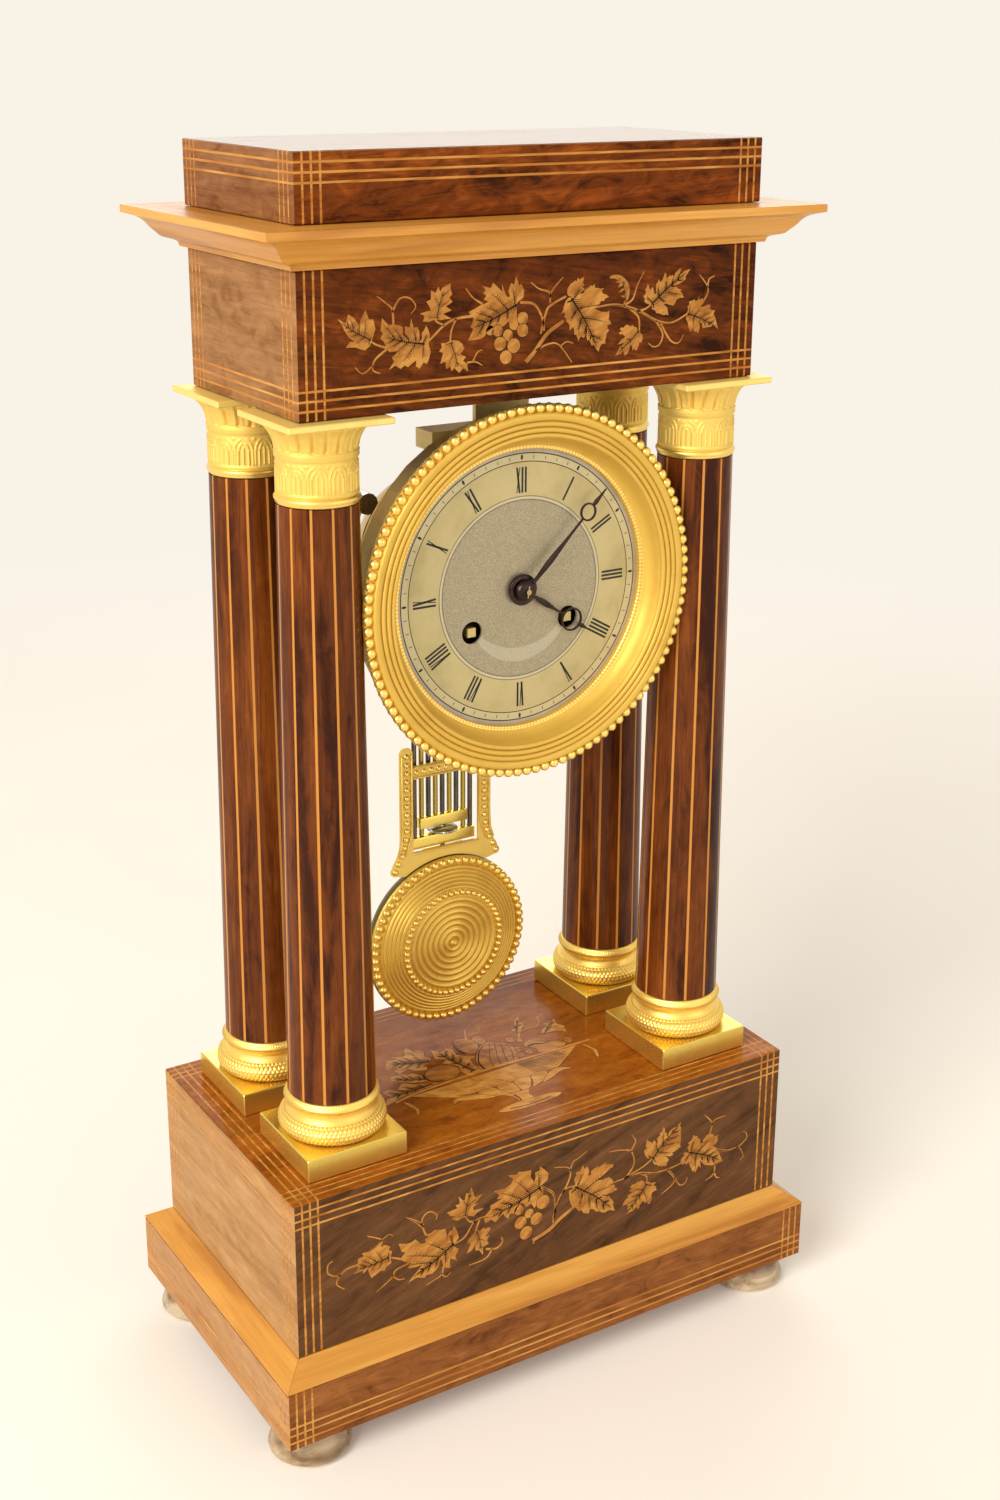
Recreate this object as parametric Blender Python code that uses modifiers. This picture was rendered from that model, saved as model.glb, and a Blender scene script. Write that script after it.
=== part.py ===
"""Portico clock: veneered case on four columns, movement under the frieze, gridiron pendulum.

Metres, +Z up, +X to the right and the dial facing -Y. The origin lies on the ground under
the middle of the case. Each sub-part is one object in the collection portico_clock.
"""
import math

import bmesh
import bpy
from mathutils import Matrix, Vector

# Clearances
SEAT_GAP = 0.0003
MESH_GAP = 0.0003
CUT_OVERRUN = 0.002
WELD_DISTANCE = 0.00001
EDGE_BREAK = 0.0004

# Feet
FOOT_RADIUS = 0.0170
FOOT_HEIGHT = 0.0142
FOOT_INSET = 0.0174
FOOT_NECK_RADIUS = 0.0125
FOOT_BASE_RADIUS = 0.0125
FOOT_RIM_HEIGHT = 0.0030
DOWEL_RADIUS = 0.0045
FOOT_DOWEL_LENGTH = 0.0100

# Plinth, its light moulding, and the base box
PLINTH_STEP = 0.0094
PLINTH_DEPTH = 0.1442
PLINTH_THICKNESS = 0.0260
MOULDING_RISE = 0.0070
MOULDING_LIP = 0.0004
BASE_PAST_COLUMN = 0.0341
BASE_DEPTH = 0.1248
BASE_HEIGHT = 0.0685

# Columns
COLUMN_TO_BEZEL = 0.0110
COLUMN_Y = 0.0294
BLOCK_WIDTH = 0.0440
BLOCK_HEIGHT = 0.0098
COLUMN_BASE_HEIGHT = 0.0170
COLUMN_BASE_RADIUS = 0.0217
COLUMN_SEATS = 6
SHAFT_FOOT_RADIUS = 0.01765
SHAFT_HEAD_RADIUS = 0.0152
TENON_DEPTH = 0.0120
CAPITAL_HEIGHT = 0.0289
CAPITAL_RADIUS = 0.0196
ABACUS_WIDTH = 0.0420
ABACUS_THICKNESS = 0.0024

# Frieze, cornice and top box
FRIEZE_PAST_COLUMN = 0.0145
FRIEZE_DEPTH = 0.0900
FRIEZE_HEIGHT = 0.0518
CORNICE_HEIGHT = 0.0147
CORNICE_FOOT_PROJECTION = 0.0022
CORNICE_PROJECTION = 0.0186
CORNICE_LIP = 0.0029
TOP_STEP = 0.0001
TOP_DEPTH = 0.0914
TOP_HEIGHT = 0.0240

# Dial and bezel: the bezel hangs this far under the frieze
BEZEL_DROP = 0.0023
BEZEL_RADIUS = 0.0740
BEZEL_SIGHT_SHARE = 0.7446
BEZEL_OVERHANG = 0.0080
BEZEL_BACK_Y = -0.0397
BEZEL_DEPTH = 0.0043
BEZEL_SPIGOT_LENGTH = 0.0037
BEZEL_WALL = 0.0020
COLLAR_WALL = 0.0012
COLLAR_DEPTH = 0.0204
WEB_THICKNESS = 0.0015
WEB_OPENING_RADIUS = 0.0465
DIAL_LAP = 0.0009
DIAL_THICKNESS = 0.0010
DIAL_FRONT_Y = -0.0329
DIAL_HOLE_RADIUS = 0.0042
DIAL_FOOT_RADIUS = 0.0012
DIAL_FOOT_CIRCLE = 0.0440
WINDING_X = 0.0220
WINDING_DROP = 0.0145
WINDING_HOLE_RADIUS = 0.0045

# Movement plates
PLATE_RADIUS = 0.0490
PLATE_THICKNESS = 0.0024
PLATE_SPACING = 0.0290
PILLAR_RADIUS = 0.0025
PILLAR_CIRCLE = 0.0425
PILLAR_ANGLES = (20, 55, 125, 160, 270)

# Arbors and wheels
ARBOR_RADIUS = 0.0011
WHEEL_THICKNESS = 0.0012
WHEEL_RIM = 0.0016
WHEEL_HUB_RADIUS = 0.0030
WHEEL_CROSSINGS = 5
CROSSING_ARM = 0.0016
WINDING_ARBOR_RADIUS = 0.0024
WINDING_SQUARE = 0.0036
BARREL_RADIUS = 0.0185
BARREL_LENGTH = 0.0190
GREAT_WHEEL_RADIUS = 0.0198
GREAT_WHEEL_THICKNESS = 0.0015
SECOND_PINION_RADIUS = 0.0027
SECOND_ARBOR = (0.0137, 0.0068)
CENTRE_PINION_RADIUS = 0.0016
CENTRE_WHEEL_RADIUS = 0.0137
THIRD_PINION_RADIUS = 0.0012
THIRD_ARBOR_ANGLE = 114
ESCAPE_PINION_RADIUS = 0.0010
ESCAPE_RISE = 0.0251
ESCAPE_WHEEL_RADIUS = 0.0090
ESCAPE_TEETH = 30
PALLET_RISE = 0.0401
CENTRE_WHEEL_Y = -0.0190
SECOND_WHEEL_Y = -0.0168
ESCAPE_WHEEL_Y = -0.0100
BARREL_FRONT_Y = -0.0150
THIRD_WHEEL_Y = 0.0032

# Motion work and hands
CANNON_PIPE_RADIUS = 0.0022
CANNON_PINION_RADIUS = 0.0029
CANNON_PINION_LENGTH = 0.0030
CANNON_LENGTH = 0.0120
HOUR_PIPE_WALL = 0.0011
MINUTE_STUD = (0.0085, 0.0085)
MINUTE_STUD_RADIUS = 0.0010
MINUTE_PINION_RADIUS = 0.0022
MINUTE_PINION_LENGTH = 0.0038
HAND_THICKNESS = 0.0008
HAND_GAP = 0.0006
HOUR_HAND_LENGTH = 0.0374
HOUR_RING_AT = 0.0272
HOUR_RING_RADIUS = 0.0048
HOUR_BOSS_RADIUS = 0.0062
HOUR_BOSS_DEPTH = 0.0019
MINUTE_HAND_CLEARANCE = 0.0036
MINUTE_RING_AT = 0.0397
MINUTE_RING_RADIUS = 0.0037
COLLET_RADIUS = 0.0045
COLLET_DEPTH = 0.0026
RING_STROKE = 0.0009
ARBOR_TIP = 0.0006
HOUR_HAND_ANGLE = 123.75
MINUTE_HAND_ANGLE = 45.0

# Hanger that carries the movement from the frieze
HANGER_PLATE = 0.0022
HANGER_WIDTH = 0.0240
HANGER_FOOT_WIDTH = 0.0400
HANGER_FOOT_DEPTH = 0.0290
HANGER_SPAN = 0.0620
HANGER_ARM_HEIGHT = 0.0022
HANGER_ARM_RISE = 0.0597
HANGER_ARM_DEPTH = 0.0127
HANGER_END_WIDTH = 0.0043
HANGER_END_DROP = 0.0052

# Bell, its stand and hammer
BELL_RADIUS = 0.0360
BELL_DEPTH = 0.0200
BELL_WALL = 0.0012
BELL_FRONT_Y = 0.0330
BELL_HOLE_RADIUS = 0.0022
STAND_X = 0.0300
STAND_DROP = 0.0300
STAND_RADIUS = 0.0020
STAND_STRAP = 0.0022
STAND_PIN_RADIUS = 0.0016
HAMMER_ARBOR = (-0.0400, 0.0040)
HAMMER_HEAD_RADIUS = 0.0045
HAMMER_HEAD_LENGTH = 0.0090
HAMMER_REST_GAP = 0.0015
HAMMER_DIRECTION = 143.1
HAMMER_WIRE_RADIUS = 0.0009

# Suspension and crutch
PENDULUM_Y = 0.0285
COCK_WIDTH = 0.0180
COCK_PLATE = 0.0018
COCK_HEIGHT = 0.0055
COCK_REACH = 0.0207
COCK_SHELF = 0.0025
COCK_TOP = 0.0490
SPRING_THICKNESS = 0.0004
SPRING_WIDTH = 0.0050
SPRING_SLOT = 0.0018
SPRING_TOP_RISE = 0.0078
CHOP_WIDTH = 0.0060
CHOP_HEIGHT = 0.0060
CHOP_DROP = 0.0041
CRUTCH_LENGTH = 0.0322
CRUTCH_WIDTH = 0.0036
CRUTCH_PLATE = 0.0015
CRUTCH_FORK = 0.0028
CRUTCH_PRONG = 0.0011
PALLET_SPAN = 0.0072
PALLET_THICKNESS = 0.0014

# Gridiron pendulum
ROD_RADIUS = 0.0011
ROD_PITCH = 0.00344
ROD_COUNT = 9
BAR_DEPTH = 0.0036
BAR_END = 0.0015
LOWER_BAR_HEIGHT = 0.0051
UPPER_BAR_HEIGHT = 0.0050
TOP_BAR_HEIGHT = 0.0040
LOWER_BAR_DROP = 0.1684
UPPER_BAR_GAP = 0.0036
TOP_BAR_DROP = 0.0401
TOP_BAR_STEP = 0.0070
HANGER_ROD_RADIUS = 0.0015

# Bob, its frame and rating nut
BOB_DROP = 0.2124
BOB_CLEARANCE = 0.0097
BOB_RADIUS = 0.0385
BOB_BACK = 0.0060
BOB_RIM_FRONT = 0.0061
BOB_CROWN = 0.0113
BOB_INNER_RING = 0.0232
BOB_EDGE = 0.0023
FRAME_THICKNESS = 0.0012
FRAME_HALF_WIDTH = 0.0223
FRAME_INNER = 0.0161
FRAME_TIP_HALF_WIDTH = 0.0270
FRAME_TOP_RISE = 0.0917
FRAME_BAR_RISE = 0.0769
FRAME_BAR_HEIGHT = 0.0059
FRAME_WINDOW_RISE = 0.0434
FRAME_TIP_RISE = 0.0362
FRAME_TIP_RADIUS = 0.0020
FRAME_FLARE_RISE = 0.0500
TAB_WIDTH = 0.0200
TAB_DEPTH = 0.0023
TAB_RISE = 0.0430
STUD_RADIUS = 0.0012
NUT_RADIUS = 0.0068
NUT_THICKNESS = 0.0026

# Rings worked out from the bezel, and widths from the columns, which stand just outside it
COLLAR_RADIUS = BEZEL_RADIUS - BEZEL_OVERHANG
BEZEL_SIGHT_RADIUS = BEZEL_RADIUS * BEZEL_SIGHT_SHARE
DIAL_RADIUS = BEZEL_SIGHT_RADIUS + DIAL_LAP
MINUTE_HAND_LENGTH = BEZEL_SIGHT_RADIUS - MINUTE_HAND_CLEARANCE
COLUMN_X = BEZEL_RADIUS + COLUMN_TO_BEZEL
FRIEZE_WIDTH = 2 * (COLUMN_X + FRIEZE_PAST_COLUMN)
TOP_WIDTH = FRIEZE_WIDTH + 2 * TOP_STEP
BASE_WIDTH = 2 * (COLUMN_X + BASE_PAST_COLUMN)
PLINTH_WIDTH = BASE_WIDTH + 2 * PLINTH_STEP

# The columns are as long as the bezel and the pendulum under it need
DIAL_DROP = BEZEL_DROP + BEZEL_RADIUS
OPEN_HEIGHT = DIAL_DROP - PALLET_RISE + BOB_DROP + BOB_RADIUS + BOB_CLEARANCE
COLUMN_METAL = BLOCK_HEIGHT + COLUMN_BASE_HEIGHT + CAPITAL_HEIGHT + ABACUS_THICKNESS
SHAFT_LENGTH = OPEN_HEIGHT - COLUMN_METAL - COLUMN_SEATS * SEAT_GAP

# Heights and planes worked out from the sizes above
PLINTH_Z = FOOT_HEIGHT + SEAT_GAP
MOULDING_Z = PLINTH_Z + PLINTH_THICKNESS + SEAT_GAP
BASE_Z = MOULDING_Z + MOULDING_RISE + SEAT_GAP
BLOCK_Z = BASE_Z + BASE_HEIGHT + SEAT_GAP
COLUMN_BASE_Z = BLOCK_Z + BLOCK_HEIGHT + SEAT_GAP
SHAFT_Z = COLUMN_BASE_Z + COLUMN_BASE_HEIGHT + SEAT_GAP
CAPITAL_Z = SHAFT_Z + SHAFT_LENGTH + SEAT_GAP
ABACUS_Z = CAPITAL_Z + CAPITAL_HEIGHT + SEAT_GAP
FRIEZE_Z = ABACUS_Z + ABACUS_THICKNESS + SEAT_GAP
CORNICE_Z = FRIEZE_Z + FRIEZE_HEIGHT + SEAT_GAP
TOP_Z = CORNICE_Z + CORNICE_HEIGHT + SEAT_GAP
SOCKET_RADIUS = DOWEL_RADIUS + SEAT_GAP
DIAL_Z = FRIEZE_Z - DIAL_DROP
COLLAR_FRONT_Y = BEZEL_BACK_Y + SEAT_GAP
WEB_BACK_Y = COLLAR_FRONT_Y + COLLAR_DEPTH
WEB_FRONT_Y = WEB_BACK_Y - WEB_THICKNESS
FRONT_PLATE_BACK_Y = WEB_FRONT_Y - SEAT_GAP
FRONT_PLATE_FRONT_Y = FRONT_PLATE_BACK_Y - PLATE_THICKNESS
BACK_PLATE_FRONT_Y = FRONT_PLATE_BACK_Y + PLATE_SPACING
BACK_PLATE_BACK_Y = BACK_PLATE_FRONT_Y + PLATE_THICKNESS
PIVOT_Z = DIAL_Z + PALLET_RISE
BOB_Z = PIVOT_Z - BOB_DROP
LOWER_BAR_Z = PIVOT_Z - LOWER_BAR_DROP
NUT_Z = LOWER_BAR_Z + LOWER_BAR_HEIGHT + SEAT_GAP
UPPER_BAR_Z = LOWER_BAR_Z + LOWER_BAR_HEIGHT + UPPER_BAR_GAP
TOP_BAR_Z = PIVOT_Z - TOP_BAR_DROP - TOP_BAR_HEIGHT

# Facets round a full turn
FACETS_COLUMN = 16
FACETS_FOOT = 16
FACETS_RING = 40
FACETS_DISC = 36
FACETS_BELL = 24
FACETS_WHEEL = 20
FACETS_SMALL = 12
FACETS_ROD = 8

# Upright pieces keep the local Z axis, and pieces that face the viewer turn it to world -Y
UPRIGHT = Matrix.Identity(4)
FACING = Matrix.Rotation(math.radians(90), 4, "X")

# Outlines as shares of the sizes that they follow: (radius share, height share)
COLUMN_BASE_SHARES = (
    (0.835, 1.00), (0.873, 0.93), (0.873, 0.79), (0.829, 0.735), (0.811, 0.66),
    (0.825, 0.57), (0.857, 0.53), (0.895, 0.49), (0.972, 0.38), (1.0, 0.24), (0.963, 0.07), (0.885, 0.0),
)
CAPITAL_SHARES = (
    (1.0, 1.0), (0.945, 0.965), (0.862, 0.895), (0.795, 0.79), (0.770, 0.70), (0.796, 0.655),
    (0.791, 0.60), (0.765, 0.575), (0.765, 0.16), (0.801, 0.135), (0.816, 0.08), (0.801, 0.03), (0.755, 0.0),
)
CORNICE_SHARES = ((0.265, 0.89), (0.40, 0.75), (0.495, 0.57), (0.61, 0.40), (0.70, 0.28), (0.944, 0.17))
BEZEL_SHARES = (
    (0.966, 0.0), (0.988, 0.22), (1.0, 0.52), (0.988, 0.88), (0.955, 0.92), (0.935, 0.60), (0.905, 0.62),
    (0.885, 0.80), (0.860, 0.55), (0.835, 0.70), (0.812, 0.42), (0.795, 0.45), (0.782, 0.05),
)
BELL_SHARES = ((1.0, 0.0), (0.965, 0.10), (0.93, 0.35), (0.84, 0.66), (0.62, 0.90), (0.30, 1.0))
BOB_FACE_SHARES = ((0.955, 0.16), (0.915, 0.02), (0.80, 0.28), (0.66, 0.72))


def new_collection(name, hidden=False):
    """A collection in the scene; a hidden one keeps cutters and joined shapes out of the render."""
    made = bpy.data.collections.new(name)
    bpy.context.scene.collection.children.link(made)
    made.hide_render = hidden
    return made


for old in list(bpy.data.objects):
    bpy.data.objects.remove(old, do_unlink=True)

PARTS = new_collection("portico_clock")
TOOLS = new_collection("cutters_and_unions", hidden=True)


def material(name, colour, roughness, metallic=0.0):
    """A plain Principled material; the render's finishes are made elsewhere."""
    made = bpy.data.materials.new(name)
    made.use_nodes = True
    shader = made.node_tree.nodes["Principled BSDF"]
    shader.inputs["Base Color"].default_value = (*colour, 1.0)
    shader.inputs["Roughness"].default_value = roughness
    shader.inputs["Metallic"].default_value = metallic
    return made


ROSEWOOD = material("rosewood", (0.10, 0.035, 0.015), 0.25)
LIGHT_WOOD = material("light_wood", (0.72, 0.42, 0.14), 0.35)
FOOT_WOOD = material("foot_wood", (0.45, 0.33, 0.20), 0.40)
GILT = material("gilt_bronze", (0.85, 0.58, 0.16), 0.35, 1.0)
BRASS = material("brass", (0.62, 0.48, 0.18), 0.30, 1.0)
SILVERED = material("silvered_brass", (0.66, 0.62, 0.50), 0.40, 1.0)
STEEL = material("steel", (0.50, 0.49, 0.47), 0.30, 1.0)
BLUED_STEEL = material("blued_steel", (0.06, 0.04, 0.035), 0.30, 1.0)
BELL_METAL = material("bell_metal", (0.60, 0.45, 0.22), 0.30, 1.0)


def keep(obj, name, finish, collection=PARTS):
    """Names an object, gives it its material and files it in its collection."""
    obj.name = name
    obj.data.name = name
    obj.data.materials.clear()
    obj.data.materials.append(finish)
    for holder in list(obj.users_collection):
        holder.objects.unlink(obj)
    collection.objects.link(obj)
    return obj


def as_tool(obj):
    """Files an object among the cutters, out of the render."""
    for holder in list(obj.users_collection):
        holder.objects.unlink(obj)
    TOOLS.objects.link(obj)
    obj.hide_render = True
    obj.display_type = "WIRE"
    return obj


def smooth(obj, angle=math.radians(35)):
    """Smooth shading with the corners kept sharp."""
    obj.data.shade_smooth()
    obj.data.set_sharp_from_angle(angle=angle)


def boolean(target, tool, operation):
    """Adds one exact Boolean with a tool object, which leaves the render."""
    step = target.modifiers.new(f"{operation.lower()}_{len(target.modifiers)}", "BOOLEAN")
    step.operation = operation
    step.solver = "EXACT"
    step.object = as_tool(tool)
    return target


def joined(target, *pieces):
    for piece in pieces:
        boolean(target, piece, "UNION")
    return target


def cut(target, *pieces):
    for piece in pieces:
        boolean(target, piece, "DIFFERENCE")
    return target


def turned(name, outline, facets, finish, place, stance=UPRIGHT):
    """A body turned from (radius, height) points that run down its outer side, by Screw."""
    mesh = bpy.data.meshes.new(name)
    closed = outline[0][0] > 0 or outline[-1][0] > 0
    points = [(radius, 0.0, height) for radius, height in outline]
    edges = [(i, i + 1) for i in range(len(points) - 1)]
    if closed:
        edges.append((len(points) - 1, 0))
    mesh.from_pydata(points, edges, [])
    obj = bpy.data.objects.new(name, mesh)
    bpy.context.scene.collection.objects.link(obj)
    obj.matrix_world = Matrix.Translation(place) @ stance
    screw = obj.modifiers.new("turn", "SCREW")
    screw.angle = math.radians(360)
    screw.steps = facets
    screw.render_steps = facets
    screw.use_merge_vertices = True
    screw.merge_threshold = WELD_DISTANCE
    screw.use_smooth_shade = True
    return keep(obj, name, finish)


def rod(name, radius, start, end, facets=FACETS_SMALL, finish=STEEL):
    """A round bar between two points."""
    start = Vector(start)
    end = Vector(end)
    bpy.ops.mesh.primitive_cylinder_add(radius=radius, depth=(end - start).length, vertices=facets)
    obj = bpy.context.object
    turn = (end - start).to_track_quat("Z", "Y").to_matrix().to_4x4()
    obj.matrix_world = Matrix.Translation((start + end) / 2) @ turn
    smooth(obj)
    return keep(obj, name, finish)


def box(name, low, high, finish=BRASS, edge=0.0):
    """A block between two corners, with its edges broken where asked."""
    low = Vector(low)
    high = Vector(high)
    bpy.ops.mesh.primitive_cube_add(size=1)
    obj = bpy.context.object
    obj.data.transform(Matrix.Diagonal((*(high - low), 1.0)))
    obj.matrix_world = Matrix.Translation((low + high) / 2)
    if edge:
        bevel = obj.modifiers.new("broken_edge", "BEVEL")
        bevel.width = edge
        bevel.segments = 1
        bevel.limit_method = "ANGLE"
    return keep(obj, name, finish)


def centred_box(name, width, depth, height, bottom, finish, edge=EDGE_BREAK, centre=(0.0, 0.0)):
    """A block that stands on a height, centred on a point in plan."""
    x, y = centre
    low = (x - width / 2, y - depth / 2, bottom)
    high = (x + width / 2, y + depth / 2, bottom + height)
    return box(name, low, high, finish, edge)


def lofted_board(name, sections, finish):
    """A board whose rectangular sections (half width, half depth, height) change with height."""
    work = bmesh.new()
    rings = []
    for half_width, half_depth, height in sections:
        corners = ((-1, -1), (1, -1), (1, 1), (-1, 1))
        rings.append([work.verts.new((sx * half_width, sy * half_depth, height)) for sx, sy in corners])
    for lower, upper in zip(rings, rings[1:]):
        for i in range(4):
            j = (i + 1) % 4
            work.faces.new((lower[i], lower[j], upper[j], upper[i]))
    work.faces.new(reversed(rings[0]))
    work.faces.new(rings[-1])
    mesh = bpy.data.meshes.new(name)
    work.to_mesh(mesh)
    work.free()
    obj = bpy.data.objects.new(name, mesh)
    bpy.context.scene.collection.objects.link(obj)
    return keep(obj, name, finish)


def plate(name, outlines, thickness, place, finish, stance=FACING):
    """A flat piece from 2D outlines, the first one outside and the others holes, centred on its place."""
    curve = bpy.data.curves.new(name, "CURVE")
    curve.dimensions = "2D"
    curve.fill_mode = "BOTH"
    curve.extrude = thickness / 2
    for outline in outlines:
        spline = curve.splines.new("POLY")
        spline.points.add(len(outline) - 1)
        for point, (x, y) in zip(spline.points, outline):
            point.co = (x, y, 0.0, 1.0)
        spline.use_cyclic_u = True
    return curve_to_mesh(name, curve, Matrix.Translation(place) @ stance, finish)


def wire(name, path, radius, finish):
    """A bent round wire through given points."""
    curve = bpy.data.curves.new(name, "CURVE")
    curve.dimensions = "3D"
    curve.bevel_depth = radius
    curve.bevel_resolution = 1
    curve.use_fill_caps = True
    spline = curve.splines.new("POLY")
    spline.points.add(len(path) - 1)
    for point, position in zip(spline.points, path):
        point.co = (*position, 1.0)
    return curve_to_mesh(name, curve, Matrix.Identity(4), finish)


def curve_to_mesh(name, curve, matrix, finish):
    """Turns a curve into a welded mesh object and removes the curve."""
    source = bpy.data.objects.new(f"{name}_curve", curve)
    bpy.context.scene.collection.objects.link(source)
    bpy.context.view_layer.update()
    graph = bpy.context.evaluated_depsgraph_get()
    mesh = bpy.data.meshes.new_from_object(source.evaluated_get(graph))
    bpy.data.objects.remove(source, do_unlink=True)
    work = bmesh.new()
    work.from_mesh(mesh)
    bmesh.ops.remove_doubles(work, verts=work.verts, dist=WELD_DISTANCE / 10)
    bmesh.ops.recalc_face_normals(work, faces=work.faces)
    work.to_mesh(mesh)
    work.free()
    obj = bpy.data.objects.new(name, mesh)
    bpy.context.scene.collection.objects.link(obj)
    obj.matrix_world = matrix
    smooth(obj)
    return keep(obj, name, finish)


def circle(radius, facets, centre=(0.0, 0.0)):
    """Points round a circle in plan."""
    steps = [2 * math.pi * i / facets for i in range(facets)]
    return [(centre[0] + radius * math.cos(a), centre[1] + radius * math.sin(a)) for a in steps]


def at_dial(x, rise, y=0.0):
    """A place given from the dial centre: across, up, and its distance in depth."""
    return (x, y, DIAL_Z + rise)


def polar(radius, degrees):
    return (radius * math.cos(math.radians(degrees)), radius * math.sin(math.radians(degrees)))


def corners():
    """The four corners of the case: name and signs along X and Y."""
    for depth_name, sy in (("front", -1), ("rear", 1)):
        for side_name, sx in (("left", -1), ("right", 1)):
            yield f"{depth_name}_{side_name}", sx, sy


def drill(target, name, radius, start, end, facets=FACETS_SMALL):
    """Bores a round hole from one point to another."""
    return cut(target, rod(f"{name}_drill", radius, start, end, facets))


def feet():
    for where, sx, sy in corners():
        x = sx * (PLINTH_WIDTH / 2 - FOOT_INSET)
        y = sy * (PLINTH_DEPTH / 2 - FOOT_INSET)
        dome = FOOT_HEIGHT - FOOT_RIM_HEIGHT
        outline = [
            (0.0, FOOT_HEIGHT + FOOT_DOWEL_LENGTH),
            (DOWEL_RADIUS, FOOT_HEIGHT + FOOT_DOWEL_LENGTH),
            (DOWEL_RADIUS, FOOT_HEIGHT),
            (FOOT_NECK_RADIUS, FOOT_HEIGHT),
            (FOOT_NECK_RADIUS + (FOOT_RADIUS - FOOT_NECK_RADIUS) * 0.62, FOOT_RIM_HEIGHT + dome * 0.55),
            (FOOT_RADIUS - EDGE_BREAK, FOOT_RIM_HEIGHT + dome * 0.15),
            (FOOT_RADIUS, FOOT_RIM_HEIGHT),
            (FOOT_RADIUS - EDGE_BREAK, FOOT_RIM_HEIGHT / 2),
            (FOOT_BASE_RADIUS, 0.0),
            (0.0, 0.0),
        ]
        turned(f"foot_{where}", outline, FACETS_FOOT, FOOT_WOOD, (x, y, 0.0))


def case():
    plinth = centred_box("plinth", PLINTH_WIDTH, PLINTH_DEPTH, PLINTH_THICKNESS, PLINTH_Z, ROSEWOOD)
    for where, sx, sy in corners():
        x = sx * (PLINTH_WIDTH / 2 - FOOT_INSET)
        y = sy * (PLINTH_DEPTH / 2 - FOOT_INSET)
        top = PLINTH_Z + FOOT_DOWEL_LENGTH
        drill(plinth, f"plinth_{where}", SOCKET_RADIUS, (x, y, PLINTH_Z - CUT_OVERRUN), (x, y, top))
    lofted_board(
        "plinth_moulding",
        (
            (PLINTH_WIDTH / 2, PLINTH_DEPTH / 2, MOULDING_Z),
            (PLINTH_WIDTH / 2, PLINTH_DEPTH / 2, MOULDING_Z + MOULDING_LIP),
            (BASE_WIDTH / 2, BASE_DEPTH / 2, MOULDING_Z + MOULDING_RISE),
        ),
        LIGHT_WOOD,
    )
    base = centred_box("base_box", BASE_WIDTH, BASE_DEPTH, BASE_HEIGHT, BASE_Z, ROSEWOOD)
    frieze = centred_box("frieze_box", FRIEZE_WIDTH, FRIEZE_DEPTH, FRIEZE_HEIGHT, FRIEZE_Z, ROSEWOOD)
    base_top = BASE_Z + BASE_HEIGHT
    for where, sx, sy in corners():
        x = sx * COLUMN_X
        y = sy * COLUMN_Y
        depth = TENON_DEPTH + SEAT_GAP
        socket = (x, y, base_top - depth)
        drill(base, f"base_{where}", SOCKET_RADIUS, socket, (x, y, base_top + CUT_OVERRUN))
        socket = (x, y, FRIEZE_Z + depth)
        drill(frieze, f"frieze_{where}", SOCKET_RADIUS, (x, y, FRIEZE_Z - CUT_OVERRUN), socket)
    cornice()
    centred_box("top_box", TOP_WIDTH, TOP_DEPTH, TOP_HEIGHT, TOP_Z, ROSEWOOD)


def cornice():
    """The cyma moulding: a small fillet, the S curve, and the upright lip."""
    foot = (FRIEZE_WIDTH / 2 + CORNICE_FOOT_PROJECTION, FRIEZE_DEPTH / 2 + CORNICE_FOOT_PROJECTION)
    reach = CORNICE_PROJECTION - CORNICE_FOOT_PROJECTION
    curve_height = CORNICE_HEIGHT - CORNICE_LIP
    sections = [(*foot, CORNICE_Z)]
    for inward, rise in reversed(CORNICE_SHARES):
        out = reach * (1 - inward)
        sections.append((foot[0] + out, foot[1] + out, CORNICE_Z + curve_height * rise))
    sections.append((foot[0] + reach, foot[1] + reach, CORNICE_Z + curve_height))
    sections.append((foot[0] + reach, foot[1] + reach, CORNICE_Z + CORNICE_HEIGHT))
    lofted_board("cornice", sections, LIGHT_WOOD)


def bored_outline(shares, radius, height):
    """A bored turned outline: outer side top to bottom, then up the socket."""
    outer = [(radius * r, height * h) for r, h in shares]
    return outer + [(SOCKET_RADIUS, 0.0), (SOCKET_RADIUS, height)]


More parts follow.
